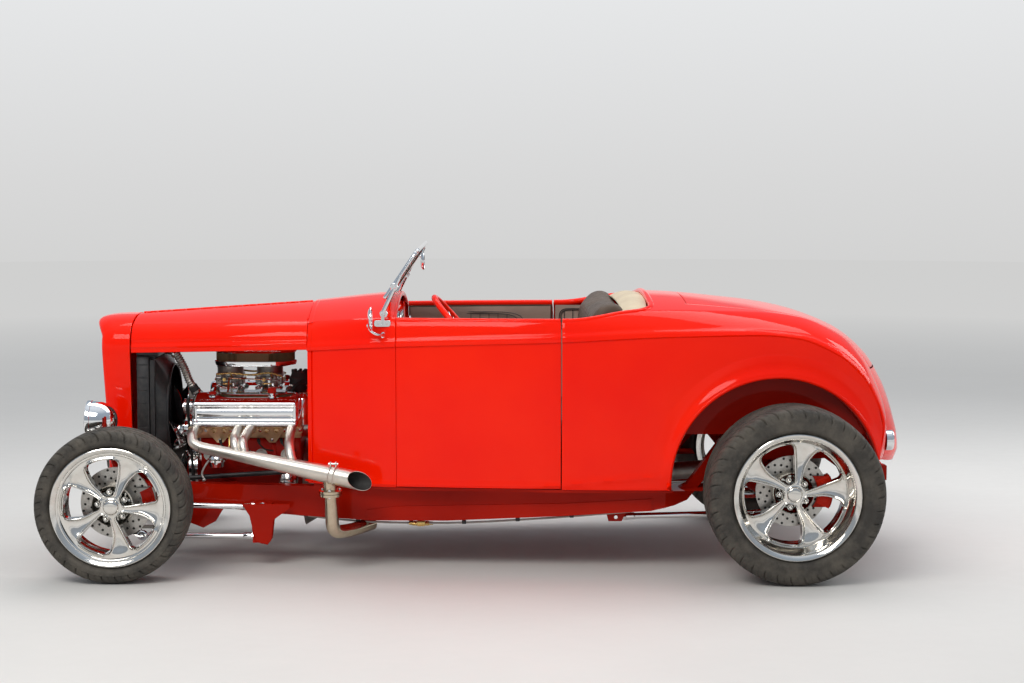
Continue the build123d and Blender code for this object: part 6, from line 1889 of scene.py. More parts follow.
@dataclass
class FrontDrive:
    """Pulleys, belt, water pump, alternator, fan, radiator, hoses and the small parts beside the block."""

    fan_z: float = 520.0
    pulley_front: float = 192.0
    pulley_back: float = 236.0

    def pulley(self, form: Form, y: float, z: float, radius: float) -> None:
        """A turned pulley with a belt groove, a dished web and a centre bolt."""
        half = (self.pulley_back - self.pulley_front) / 2
        middle = (self.pulley_front + self.pulley_back) / 2
        groove = [(-half, radius * 0.5), (-half + 2, radius - 2), (-half + 4, radius), (-8, radius),
                  (-3, radius - 9), (3, radius - 9), (8, radius), (half - 4, radius),
                  (half - 2, radius - 2), (half, radius * 0.5)]
        web = [(-half + 6, 0.1), (-half + 6, radius * 0.28), (-half + 8, radius * 0.32),
               (-half + 14, radius * 0.6)]
        form.lathe([*web, *groove, (half, 0.1)], vec(middle, y, z), vec(1, 0, 0), 56)
        form.bolt(vec(self.pulley_front + 5, y, z), vec(-1, 0, 0), 10, 1)

    def belt(self, form: Form, wheels: list) -> None:
        """A belt round its pulleys: outer tangents between circles and arcs round them, swept as a wedge.

        The angle of the tangent between two pulleys is the bearing of their centres, turned by the
        arc sine of the difference of their radii over the distance.
        """
        path = []
        count = len(wheels)
        for number, (y, z, radius) in enumerate(wheels):
            angles = []
            for other, way in ((wheels[(number - 1) % count], -1), (wheels[(number + 1) % count], 1)):
                dy, dz = other[0] - y, other[1] - z
                bearing = math.atan2(dz, dy)
                turn = math.acos(max(-1, min(1, (radius - other[2]) / math.hypot(dy, dz))))
                angles.append(bearing + turn * (1 if way < 0 else -1))
            start, end = angles
            while end < start:
                end += 2 * math.pi
            arc = np.linspace(start, end, 16)
            path.append(np.column_stack([np.full(16, 214.0), y + (radius - 2) * np.cos(arc),
                                         z + (radius - 2) * np.sin(arc)]))
        form.tube(np.vstack(path), 1.0, slot=2, looped=True, section=rounded(6.0, 5.0, 1.5, 3))

    def drive(self) -> None:
        """Crank, water pump, alternator and steering pump pulleys with their belt, bodies and fan."""
        form = Form("pulleys_and_fan")
        wheels = [(0.0, 345.0, 78.0), (146.0, 420.0, 52.0), (0.0, self.fan_z, 68.0), (-168.0, 632.0, 33.0)]
        for y, z, radius in wheels:
            self.pulley(form, y, z, radius)
        self.belt(form, wheels)
        form.lathe([(0, 0.1), (0, 60), (26, 56), (34, 46), (34, 0.1)], vec(271, 0, self.fan_z), vec(-1, 0, 0),
                   40, 3)
        form.slab(rounded(112, 60, 30), vec(246, 0, 470), vec(0, 1, 0), vec(0, 0, 1), 22, 3, 4)
        form.lathe([(-44, 0.1), (-44, 34), (-40, 44), (-10, 46), (-8, 48), (-2, 48), (0, 46), (0, 20),
                    (6, 18)],
                   vec(244, -168, 632), vec(-1, 0, 0), 44, 3)
        # Near-black strips round the alternator's case stand for its vent slots: painted shade
        for turn in np.arange(18) * math.pi / 9:
            spot = vec(262, -168 + 46 * math.cos(turn), 632 + 46 * math.sin(turn))
            form.box(spot - vec(16, 3, 3), spot + vec(16, 3, 3), 4, 1)
        form.lathe([(-40, 0.1), (-40, 30), (-34, 36), (0, 38), (4, 20)], vec(246, 146, 420), vec(-1, 0, 0),
                   32, 3)
        angle = np.linspace(-0.42, 0.42, 9)
        for number in range(6):
            turn = number * math.pi / 3
            radius = np.linspace(34, 190, 14)
            twist = 0.62 - 0.2 * np.linspace(0, 1, 14)
            chord = (30 + 26 * smoothstep(34, 150, radius))[:, None] * angle[None] / 0.42
            x = 157 + chord * np.sin(twist)[:, None] + 5 * (1 - (angle / 0.42) ** 2)
            side = chord * np.cos(twist)[:, None]
            y = radius[:, None] * math.cos(turn) - side * math.sin(turn)
            z = self.fan_z + radius[:, None] * math.sin(turn) + side * math.cos(turn)
            p = np.stack([x, y, z], axis=-1)
            form.grid(np.concatenate([p, p[:, ::-1] - vec(2.4, 0, 0)], axis=1), 1, loop_v=True)
            form.cap(np.concatenate([p[-1], (p[-1] - vec(2.4, 0, 0))[::-1]]), 1)
        form.lathe([(-12, 0.1), (-12, 30), (-8, 38), (8, 38), (12, 34), (30, 34), (32, 30), (32, 0.1)],
                   vec(157, 0, self.fan_z), vec(1, 0, 0), 40, 1)
        form.finish([Finish.POLISHED, Finish.CHROME, Finish.HOSE, Finish.CAST,
                     Finish.SOOT], "root", "polished_metal", ("fan_and_pulleys",), weld=True, sharp=40)

    def radiator(self) -> None:
        """Radiator with folded side tanks, ribbed core, cap, shroud ring and brackets."""
        form = Form("radiator_and_shroud")
        form.box(vec(14, -214, 410), vec(72, 214, 848), 1, 2)
        for z, high in ((848, 60), (368, 42)):
            form.box(vec(5, -231, z), vec(95, 231, z + high), 0, 9)
            form.box(vec(2 + 4, -231.5, z + high / 2 - 3), vec(95.5, 231.5, z + high / 2 + 3), 0, 2)
        for side in (LEFT, RIGHT):
            low, high = sorted((side * 205, side * 231))
            form.box(vec(6, low, 404), vec(58, high, 852), 0, 5)
            for z in np.linspace(440, 816, 8):
                low, high = sorted((side * 230, side * 232))
                form.box(vec(10, low, z - 3), vec(54, high, z + 3), 0, 1)
            form.box(vec(60, min(side * 190, side * 226), 420), vec(80, max(side * 190, side * 226), 838), 0,
                     4)
        ring = np.linspace(0, 2 * math.pi, 72, endpoint=False)
        path = np.column_stack([np.full(72, 128.0), 197 * np.cos(ring), 600 + 197 * np.sin(ring)])
        form.tube(path, 5.0, 10, looped=True)
        corner = np.maximum(np.abs(np.cos(ring)), np.abs(np.sin(ring)))
        rim = np.column_stack([np.full(72, 80.0), 205 * np.cos(ring) / corner,
                               630 + 205 * np.sin(ring) / corner])
        sheet = np.stack([rim, rim * 0.35 + path * 0.65, path])
        form.grid(np.concatenate([sheet, sheet[::-1] - vec(2, 0, 0)]), 0, loop_u=True, loop_v=True)
        form.box(vec(22, -58, 324), vec(78, 58, 368), 0, 4)
        form.lathe([(0, 30), (12, 30), (16, 34), (26, 34), (29, 30), (30, 0.1)], vec(50, 120, 906), UP, 36, 3)
        form.finish([Finish.BLACK_METAL, Finish.CORE, Finish.CAST, Finish.CHROME],
                    "root", "black_metal", ("radiator",), weld=True)

    def hoses(self) -> None:
        """Corrugated upper hose with clamps, the lower hose, heater hoses, plug leads and the dipstick."""
        form = Form("hoses_and_leads")
        line = spline([(92, -150, 880), (150, -172, 868), (196, -190, 806), (224, -196, 740),
                       (252, -176, 690), (262, -120, 668)], 260)
        length = np.linspace(0, 1, 260)
        ribs = np.where((length > 0.16) & (length < 0.72), 1.9 * np.sin(length * 2 * math.pi * 34), 0.0)
        form.tube(line, 16.5 + ribs, 20, 1, capped=False)
        for at in (0.14, 0.73):
            k = int(at * 259)
            form.tube(line[k - 8:k + 8:3], np.full(6, 20.0)[:len(line[k - 8:k + 8:3])], 20, 0)
        for k in (24, 60, 200, 226):
            form.tube(line[k:k + 7:3], 21.5, 24, 2)
        form.tube(spline([(92, 130, 388), (140, 140, 380), (180, 96, 420), (236, 60, 470)], 40), 18, 18)
        for side in (LEFT, RIGHT):
            for x in (356.0, 420.0, 516.0, 612.0):
                goal = vec(x, side * 246, 500)
                run = spline([(x + 60, side * 236, 452), (x + 30, side * 262, 462), (x + 10, side * 284, 486),
                              goal], 20)
                form.tube(run, 3.4, 8)
                form.tube(spline([run[14], run[17], goal], 8), np.linspace(5.5, 8, 8), 12)
        form.tube(spline([(640, -232, 500), (660, -286, 520), (690, -300, 590), (716, -296, 672)], 30), 3.4,
                  10, 2)
        form.tube(spline([(640, -160, 690), (676, -150, 726), (716, -120, 742), (756, -110, 742)], 30), 9, 14)
        form.tube(spline([(640, 150, 690), (676, 150, 716), (716, 140, 722), (756, 140, 722)], 30), 9, 14)
        form.finish([Finish.HOSE, Finish.CAST, Finish.CHROME], "root", "black_metal", weld=True)

    def side_parts(self) -> None:
        """Fuel pump, oil filter, starter, lines and distributor beside the block."""
        form = Form("pump_filter_and_distributor")
        pump = vec(344, -262, 420)
        form.lathe([(-30, 0.1), (-30, 26), (-26, 34), (-4, 36), (-2, 41), (6, 41), (8, 35), (18, 30),
                    (26, 16), (27, 0.1)],
                   pump, vec(0, -0.2, 1), 36)
        form.slab(rounded(22, 30, 6), pump + vec(0, 26, -8), vec(1, 0, 0), vec(0, 0, 1), 20, 0, 3)
        for turn in np.arange(8) * math.pi / 4:
            form.bolt(pump + vec(37 * math.cos(turn), 37 * math.sin(turn), 4), UP, 3.5, 1)
        form.tube(spline([pump + vec(-20, -16, 10), (300, -290, 400), (286, -300, 360), (300, -310, 338)],
                         24), 4.5, 12, 1)
        form.tube(spline([pump + vec(26, -10, 18), (392, -290, 452), (396, -262, 530), (380, -200, 640),
                          (376, -96, 742)], 40), 4.5, 12, 2)
        form.lathe([(0, 0.1), (0, 38), (4, 42), (70, 42), (84, 36), (88, 0.1)], vec(636, -180, 372),
                   vec(0, -0.55, -0.84), 40, 3)
        form.lathe([(0, 0.1), (0, 34), (6, 38), (120, 38), (126, 30), (140, 26), (142, 0.1)],
                   vec(560, 190, 300), vec(-1, 0, 0), 36, 4)
        cap = vec(668, 0, 706)
        form.lathe([(-30, 26), (0, 28), (4, 46), (34, 46), (40, 40), (58, 34), (62, 0.1)], cap, UP, 36, 5)
        for turn in np.arange(8) * math.pi / 4:
            form.lathe([(0, 7), (12, 7), (14, 4), (14, 0.1)],
                       cap + vec(30 * math.cos(turn), 30 * math.sin(turn), 54), UP, 14, 5)
        coil = vec(700, -206, 560)
        form.lathe([(0, 0.1), (0, 24), (4, 27), (110, 27), (116, 22), (130, 12), (134, 0.1)], coil,
                   vec(0, 0, 1), 30)
        form.finish([Finish.CHROME, Finish.CAST, Finish.BRASS, Finish.POLISHED,
                     Finish.BLACK_METAL, Finish.TRIM], "root", "chrome", weld=True, sharp=40)

    def build(self) -> None:
        """Builds everything ahead of and beside the block."""
        self.drive()
        self.radiator()
        self.hoses()
        self.side_parts()


@dataclass
class RunningGear:
    """What hangs on the frame: bar ends, gussets, fittings, headlights and tail lights."""

    bar_y: float = 425.0
    rear_bar_y: float = 440.0
    lamp_x: float = -104.0
    lamp_y: float = 405.0
    lamp_z: float = 601.0
    tail_lamp: tuple = (3118.0, 420.0, 520.0)

    def bar_ends(self) -> None:
        """Lock nuts and pivot bolts at both ends of the front and rear locating bars."""
        form = Form("bar_ends_and_bolts")
        bars = [((56, 258), (552, 246), self.bar_y), ((56, 128), (552, 124), self.bar_y),
                ((2006, 207.6), (2652, 222.4), self.rear_bar_y)]
        for side in SIDES.values():
            for (x0, z0), (x1, z1), y in bars:
                a, b = vec(x0, side * y, z0), vec(x1, side * y, z1)
                way = unit(b - a)
                for end, inward in ((a, way), (b, -way)):
                    form.lathe([(0, 9), (0, 16), (4, 17), (10, 17), (14, 16), (14, 9)], end + inward * 30,
                               inward, 6)
                    form.lathe([(14, 15), (46, 14.5), (50, 12)], end + inward * 30, inward, 24)
                    form.lathe([(-15, 6), (-15, 17), (-12, 20), (12, 20), (15, 17), (15, 6)], end,
                               vec(0, 1, 0), 32)
                    for face in (-1, 1):
                        form.bolt(end + vec(0, face * 15, 0), vec(0, face, 0), 9)
        form.finish([Finish.CHROME], "root", "chrome", weld=True, sharp=40)

    def gussets(self) -> None:
        """Slanted plates that brace the bar brackets against the rails, with their bolts and welds."""
        form = Form("bracket_gussets")
        for side in SIDES.values():
            plate = np.array([(470, 262), (500, 214), (526, 104), (574, 92), (590, 112), (600, 196),
                              (668, 246), (668, 262)], float)
            for y in (self.bar_y + 22, self.bar_y - 28):
                form.slab(plate, vec(0, side * y, 0), vec(1, 0, 0), vec(0, 0, 1), 6 * -side, 0, 2)
            for x, z in ((552, 246), (552, 124)):
                form.lathe([(0, 26), (5, 25), (6, 22)], vec(x, side * (self.bar_y + 22), z), vec(0, side, 0),
                           32)
            spine = [(474, 258), (505, 208), (530, 110), (552, 98), (578, 108)]
            form.tube(spline([(x, side * (self.bar_y - 2), z) for x, z in spine], 24), 1.0,
                      section=rounded(3.0, 24.0, 2.5, 3))
            shoe = np.array([(214, 262), (236, 176), (300, 150), (352, 178), (404, 262)], float)
            form.slab(shoe, vec(0, side * 372, 0), vec(1, 0, 0), vec(0, 0, 1), 7 * -side, 0, 2)
            for x, z in ((248, 200), (300, 172), (344, 200), (262, 240), (352, 240)):
                form.bolt(vec(x, side * 372, z), vec(0, side, 0), 6.5, 1)
        form.finish([Finish.CHASSIS, Finish.CHROME], "root", "chassis_paint", weld=True)

    def fittings(self) -> None:
        """Fuel and brake lines along the rails, with a brass union and clips."""
        form = Form("lines_and_brass_union")
        for side in SIDES.values():
            run = spline([(620, side * 380, 216), (900, side * 424, 190), (1160, side * 458, 184),
                          (1300, side * 478, 187),
                          (1700, side * 516, 212), (2060, side * 520, 240)], 80)
            form.tube(run, 4.2, 10)
            for k in range(6, 76, 12):
                form.box(run[k] - vec(9, 8, 5), run[k] + vec(9, 8, 10), 1, 2)
        spot = vec(1206, -466, 184)
        form.box(spot - vec(17, 11, 11), spot + vec(17, 11, 11), 2, 3)
        for way in (-1, 1):
            form.lathe([(16, 10), (26, 10.5), (34, 10), (36, 6)], spot, vec(way, 0, 0), 6, 2)
            form.lathe([(34, 7), (48, 7), (50, 5)], spot, vec(way, 0, 0), 16, 2)
        form.finish([Finish.CAST, Finish.BLACK_METAL, Finish.BRASS], "root", "black_metal", weld=True)

    def headlights(self) -> None:
        """Bowl headlights on red arms: a turned bowl, a rolled rim, a reflector, a bulb and a domed lens."""
        form = Form("bowl_headlights")
        glass = Form("headlight_lenses")
        for side in SIDES.values():
            c = vec(self.lamp_x + 62, side * self.lamp_y, self.lamp_z)
            ahead = vec(-1, 0, 0)
            bowl = [(0, 0.1), (0.6, 12), (4, 28), (12, 44), (24, 58), (40, 69), (60, 77), (84, 81), (104, 82),
                    (106, 84),
                    (114, 85), (120, 84), (122, 81), (121, 77), (116, 76)]
            form.lathe(bowl, c, ahead, 88)
            form.lathe([(116, 76), (100, 73), (80, 62), (62, 46), (52, 28), (48, 14), (47, 0.1)], c, ahead,
                       72)
            form.lathe([(48, 9), (58, 9), (70, 6), (76, 3), (77, 0.1)], c, ahead, 20, 2)
            form.lathe([(102, 82.5), (103, 84), (108, 84.6), (109, 83)], c, ahead, 88)
            collar = np.linspace(-1.9, 1.9, 40)
            arc = c + np.column_stack([np.full(40, -34.0) - 16 * np.cos(collar) ** 2,
                                       side * 82 * np.sin(collar), -79.5 * np.cos(collar)])
            form.tube(arc, 1.0, slot=1, section=rounded(9, 4.0, 3, 4))
            stand = spline([(-84, side * 405, 524), (-84, side * 402, 494), (-79, side * 366, 458),
                            (-74, side * 330, 428),
                            (-70, side * 306, 388), (-70, side * 304, 338)], 50)
            form.tube(stand, np.linspace(18, 13, 50), 24, 1)
            form.lathe([(0, 24), (5, 24), (7, 21), (7, 13)], vec(-70, side * 304, 333), UP, 28, 1)
            form.ball(vec(-84, side * 405, 523), 20, 1, 20)
            form.bolt(vec(-84, side * 405, 540), vec(0, side, 0.1), 6)
            dome = np.linspace(0, 1, 16)
            glass.lathe([(116, 76.5)] + [(118 + 15 * math.cos(math.pi / 2 * d),
                                          max(76.5 * math.sin(math.pi / 2 * d), 0.1))
                                         for d in dome[::-1]], c, ahead, 72)
            glass.lathe([(112 + 14 * math.cos(math.pi / 2 * d), max(75 * math.sin(math.pi / 2 * d), 0.1))
                         for d in dome]
                        + [(116, 76.5)], c, ahead, 72)
        form.finish([Finish.CHROME, Finish.CHASSIS, Finish.CLEAR], "root", "chrome", ("headlights",))
        glass.finish([Finish.LENS], "root", "lamp_lens", weld=True)

    def tail_lights(self) -> None:
        """Round tail lights: a plated bezel and a domed red lens with moulded rings."""
        form = Form("round_tail_lights")
        x, y, z = self.tail_lamp
        rings = np.linspace(0, 35.5, 46)
        height = 30.5 - 7.5 * (rings / 36) ** 2 + 0.5 * np.cos(rings * 2 * math.pi / 5.0)
        for side in SIDES.values():
            c, back = vec(x, side * y, z), vec(1, 0, 0)
            form.lathe([(0, 20), (0, 42), (20, 42), (27, 41), (30, 38.5), (30, 36.5), (24, 35)], c, back, 72,
                       1)
            form.lathe([(h, max(r, 0.1)) for r, h in zip(rings[::-1], height[::-1])], c, back, 72)
        form.finish([Finish.LAMP, Finish.CHROME], "root", "lamp_lens", ("tail_lights",), weld=True)

    def build(self) -> None:
        """Builds all of it."""
        self.bar_ends()
        self.gussets()
        self.fittings()
        self.headlights()
        self.tail_lights()


@dataclass
class Cabin:
    """Seat, trims, dashboard, steering wheel, windshield, mirrors, pedals and carpet."""

    voxel: float = 0.0068
    pressure: float = 4.0
    frames: int = 20
    wheel_centre: tuple = (1383.0, -330.0, 959.0)
    wheel_r: float = 190.0
    rim_r: float = 13.0
    tilt: float = math.radians(40.5)

    def swelled(self, piece: bpy.types.Object, most: float) -> None:
        """Blows a closed form up as a stuffed cushion and smooths it.

        Args:
            piece: the form to swell; its mesh is replaced.
            most: how far a point may move, in metres.
        """
        mesh = piece.data
        block = bpy.data.objects.new("pad_in_work", mesh.copy())
        bpy.context.scene.collection.objects.link(block)
        remesh = block.modifiers.new("even_net", "REMESH")
        remesh.mode = "VOXEL"
        remesh.voxel_size = self.voxel
        tools = bpy.context.evaluated_depsgraph_get()
        net = bpy.data.meshes.new_from_object(block.evaluated_get(tools))
        block.modifiers.clear()
        block.data = net
        start = np.empty(len(net.vertices) * 3, np.float32)
        net.vertices.foreach_get("co", start)
        cloth = block.modifiers.new("stuffing", "CLOTH")
        cloth.settings.use_pressure = True
        cloth.settings.uniform_pressure_force = self.pressure
        cloth.settings.effector_weights.gravity = 0.0
        cloth.point_cache.frame_start = 1
        cloth.point_cache.frame_end = self.frames
        for number in range(1, self.frames + 1):
            bpy.context.scene.frame_set(number)
        tools = bpy.context.evaluated_depsgraph_get()
        shape = bpy.data.meshes.new_from_object(block.evaluated_get(tools))
        end = np.empty(len(shape.vertices) * 3, np.float32)
        shape.vertices.foreach_get("co", end)
        bpy.context.scene.frame_set(1)
        start, end = start.reshape(-1, 3), end.reshape(-1, 3)
        move = end - start
        length = np.linalg.norm(move, axis=1, keepdims=True)
        end = start + move * np.minimum(1.0, most / np.maximum(length, 1e-9))
        net.vertices.foreach_set("co", end.astype(np.float32).reshape(-1))
        for material in mesh.materials:
            net.materials.append(material)
        net.update()
        block.modifiers.clear()
        piece.data = net
        bpy.data.objects.remove(block)
        net.shade_smooth()
        log.info("%s swelled to %d points", piece.name, len(net.vertices))

    def seamed(self, piece: bpy.types.Object, lines: np.ndarray, span: tuple, axis: int, depth: float,
               part: tuple) -> None:
        """Presses sewn channels into a pad.

        A point sinks against the surface by the depth times a bell of its sideways distance to the
        nearest channel line, where its normal faces the sewn side.

        Args:
            piece: the pad.
            lines: sideways places of the channels, in metres.
            span: lowest and highest place along the channels, in metres.
            axis: which axis the channels run along.
            depth: how deep they go, in metres.
            part: direction that the sewn side faces.
        """
        mesh = piece.data
        flat = np.empty(len(mesh.vertices) * 3, np.float32)
        mesh.vertices.foreach_get("co", flat)
        normal = np.empty(len(mesh.vertices) * 3, np.float32)
        mesh.vertex_normals.foreach_get("vector", normal)
        p, n = flat.reshape(-1, 3), normal.reshape(-1, 3)
        gap = np.abs(p[:, 1:2] - lines[None]).min(axis=1)
        facing = smoothstep(0.1, 0.6, n @ np.array(part))
        inside = smoothstep(span[0], span[0] + 0.03,
                            p[:, axis]) * (1 - smoothstep(span[1] - 0.03, span[1], p[:, axis]))
        dent = depth * (np.exp(-((gap / 0.007) ** 2)) + 0.4 * np.exp(-((gap / 0.022) ** 2))) * facing * inside
        mesh.vertices.foreach_set("co", (p - n * dent[:, None]).astype(np.float32).reshape(-1))
        mesh.update()

    def pillow(self, form: Form, outline: np.ndarray, low: float, high: float, round_end: float) -> None:
        """A side outline carried across the car, drawn in towards both ends by a quarter circle."""
        y = np.linspace(0, 1, 8)
        ends = np.concatenate([low + round_end * (1 - np.cos(y * math.pi / 2)),
                               high - round_end * (1 - np.cos(y[::-1] * math.pi / 2))])
        size = np.concatenate([np.sin(y * math.pi / 2), np.sin(y[::-1] * math.pi / 2)])
        middle = outline.mean(axis=0)
        inset = round_end * (1 - size)[:, None, None] * unit(outline - middle)[None]
        ring = outline[None] - inset
        p = np.stack([ring[..., 0], np.broadcast_to(ends[:, None], ring.shape[:2]), ring[..., 1]], axis=-1)
        form.grid(p, 0, loop_v=True)
        form.cap(p[0][::-1])
        form.cap(p[-1])

    def seat(self) -> None:
        """Bench seat: channelled cushion, rolled back with a pale rear panel whose tone is a painted
        highlight of sunlight, piping and base.
        """
        channels = np.arange(-5, 6) * 0.092
        cushion = Form("seat_cushion_leather")
        self.pillow(cushion, rounded(184, 46, 34, 6) + vec(1702, 537), -484, 484, 34)
        piece = cushion.finish([Finish.LEATHER], "root", "leather", ("seat_cushion",), weld=True)
        self.swelled(piece, most=0.024)
        self.seamed(piece, channels, span=(1.56 + AXLE_X, 1.86 + AXLE_X), axis=0, depth=0.009, part=(0, 0, 1))
        self.smoothed(piece)
        back = Form("seat_back_leather")
        line = [(1890, 618), (1914, 618), (1952, 760), (1996, 906), (2034, 1010), (2044, 1052), (2030, 1082),
                (1994, 1096),
                (1952, 1084), (1924, 1046), (1908, 990), (1900, 900), (1886, 760), (1878, 640)]
        outline = spline([(x, z, 0) for x, z in line + line[:1]], 60)[:-1, :2]
        self.pillow(back, outline[::-1], -488, 488, 40)
        piece = back.finish([Finish.LEATHER], "root", "leather", ("seat_back",), weld=True)
        self.swelled(piece, most=0.022)
        self.seamed(piece, channels, span=(0.66, 1.045), axis=2, depth=0.008, part=(-0.94, 0, 0.3))
        self.smoothed(piece)
        base = Form("seat_base_and_rails")
        base.box(vec(1546, -476, 346), vec(1874, 476, 466), 0, 14)
        for side in SIDES.values():
            low, high = sorted((side * 400, side * 440))
            base.box(vec(1524, low, 346), vec(1896, high, 358), 1, 3)
        base.finish([Finish.CARPET, Finish.BLACK_METAL], "root", "black_trim", ("seat_base",), weld=True)
        cord = Form("seat_piping")
        for side in (-1, 1):
            ring = spline([(1538, side * 470, 588), (1700, side * 474, 592), (1868, side * 470, 588)], 30)
            cord.tube(ring, 4.0, 10)
        cord.tube(spline([(1532, -462, 582), (1524, -300, 584), (1522, 0, 585), (1524, 300, 584),
                          (1532, 462, 582)], 60), 4.0, 10)
        cord.finish([Finish.PIPING], "root", "leather", weld=True)
        # The panel behind the back takes the pale leather: a painted highlight where sunlight falls on the
        # upholstery
        rear = Form("seat_rear_cushion")
        y = np.linspace(-0.5 * math.pi, 0.5 * math.pi, 41)
        t = np.linspace(0, 1, 30)
        half = 496 * np.sin(y)[None, :]
        out = half / 496
        crown = (1078 + (22 * t + 14 * np.sin(math.pi * t))[:, None]
                 - 32 * out**2 * (0.4 + 0.6 * t)[:, None] - 20 * out**8)
        x = 2022 + (114 * t)[:, None] - 14 * t[:, None] * out**4
        rear.grid(np.stack([x, half + 0 * x, crown], axis=-1), facing=UP)
        piece = rear.finish([Finish.CREAM], "root", "leather", thick=14.0)

    def smoothed(self, piece: bpy.types.Object) -> None:
        """One level of subdivision."""
        smooth = piece.modifiers.new("surface", "SUBSURF")
        smooth.levels = smooth.render_levels = 1

    def medallion(self, form: Form, centre: np.ndarray, half: tuple, bars: int) -> None:
        """A stitched oval with upright welts, raised on a trim panel."""
        angle = np.linspace(0, 2 * math.pi, 90, endpoint=False)
        power = 0.55
        ring = np.column_stack([half[0] * np.sign(np.cos(angle)) * np.abs(np.cos(angle)) ** power,
                                np.zeros(90),
                                half[1] * np.sign(np.sin(angle)) * np.abs(np.sin(angle)) ** power])
        for grow in (1.0, 0.88):
            form.tube(centre + ring * grow, 2.0, 10, 1, looped=True)
        for x in np.linspace(-0.62, 0.62, bars) * half[0]:
            high = half[1] * 0.84
            form.tube(centre + np.array([(x, 0, -high), (x, 0, high)]), 1.7, 8, 1)

    def trims(self) -> None:
        """Leather door and quarter trims with stitched ovals, arm rests and cranks."""
        for name, side in SIDES.items():
            door = Form(f"{name}_door_trim")
            x, z = np.meshgrid(np.linspace(1122, 1764, 48), np.linspace(372, 1008, 40), indexing="ij")
            depth = SURFACE.side(x, np.minimum(z, 900.0), False) - 50 - 13 * smoothstep(900, 1000, z)
            puff = 5 * np.sin(math.pi * (x - 1122) / 642) ** 0.5 * np.sin(math.pi * (z - 372) / 636) ** 0.5
            door.grid(np.stack([x, side * (depth - puff), z], axis=-1), facing=vec(0, -side, 0))
            y = side * (SURFACE.side(vec(1450), vec(900), False)[0] - 69)
            self.medallion(door, vec(1440, y, 922), (200, 62), 7)
            door.slab(rounded(150, 16, 12), vec(1470, y + side * 8, 790), vec(1, 0, 0), vec(0, 0, 1),
                      34 * side, 0, 6)
            door.lathe([(0, 20), (8, 18), (14, 10), (30, 9), (32, 0.1)], vec(1250, y + side * 6, 760),
                       vec(0, -side, 0), 28, 2)
            door.finish([Finish.PANEL_LEATHER, Finish.PIPING, Finish.CHROME], f"{name}_door", "leather")
            quarter = Form(f"{name}_quarter_trim")
            x, z = np.meshgrid(np.linspace(1786, 2090, 30), np.linspace(360, 1014, 40), indexing="ij")
            depth = 562 + 0 * x - 16 * smoothstep(1990, 2090, x)
            quarter.grid(np.stack([x, side * depth, z], axis=-1), facing=vec(0, -side, 0))
            self.medallion(quarter, vec(1866, side * 558, 948), (62, 50), 3)
            quarter.finish([Finish.PANEL_LEATHER, Finish.PIPING], "root", "leather")

    def dashboard(self) -> None:
        """Rounded dashboard with a row of plain dials behind chrome bezels, knobs and a lower lip."""
        form = Form("dashboard_and_dials")
        section = [(1062, 934), (1080, 931), (1096, 934), (1102, 946), (1103, 990), (1100, 1030),
                   (1092, 1046), (1078, 1050), (1064, 1050)]
        outline = spline([(x, z, 0) for x, z in section], 50)[:, :2]
        y = np.linspace(-462, 462, 60)
        p = np.stack([np.broadcast_to(outline[None, :, 0], (60, 50)), np.broadcast_to(y[:, None], (60, 50)),
                      np.broadcast_to(outline[None, :, 1], (60, 50))], axis=-1)
        form.grid(p, 0, facing=vec(1, 0, 0))
        form.cap(p[0], 0)
        form.cap(p[-1][::-1], 0)
        way = vec(1, 0, 0)
        for at, radius in ((-330, 43), (-228, 43), (-60, 26), (0, 26), (60, 26), (120, 26)):
            c = vec(1099, at, 992)
            form.lathe([(0, radius + 6), (7, radius + 6), (10, radius + 3), (9, radius), (5, radius - 1)], c,
                       way, 56, 1)
            form.lathe([(4, radius), (4.4, 0.1)], c, way, 56, 2)
            form.lathe([(4.4, 0.1), (7, 3), (8, 2), (8, 0.1)], c, way, 16, 3)
            for mark in np.linspace(-2.2, 2.2, 11):
                turn = np.array([0, math.sin(mark), math.cos(mark)])
                form.tube(np.array([c + way * 5 + turn * radius * 0.72, c + way * 5 + turn * radius * 0.9]),
                          0.7, 6, 3)
            needle = vec(0, math.sin(-1.1), math.cos(-1.1))
            form.tube(np.array([c + way * 7 - needle * radius * 0.2, c + way * 7 + needle * radius * 0.76]),
                      np.array([1.6, 0.5]), 8, 4)
        for at in (200, 250, 300, 350, -410):
            form.lathe([(0, 5), (18, 5), (19, 11), (30, 12), (34, 9), (35, 0.1)], vec(1099, at, 968), way, 24,
                       1)
        form.slab(rounded(84, 40, 8), vec(1101, 330, 1008), vec(0, 1, 0), vec(0, 0, 1), 3, 0, 1)
        form.finish([Finish.PAINT, Finish.CHROME, Finish.DIAL, Finish.TRIM,
                     Finish.CALIPER], "root", "body_paint", ("dashboard",), weld=True)

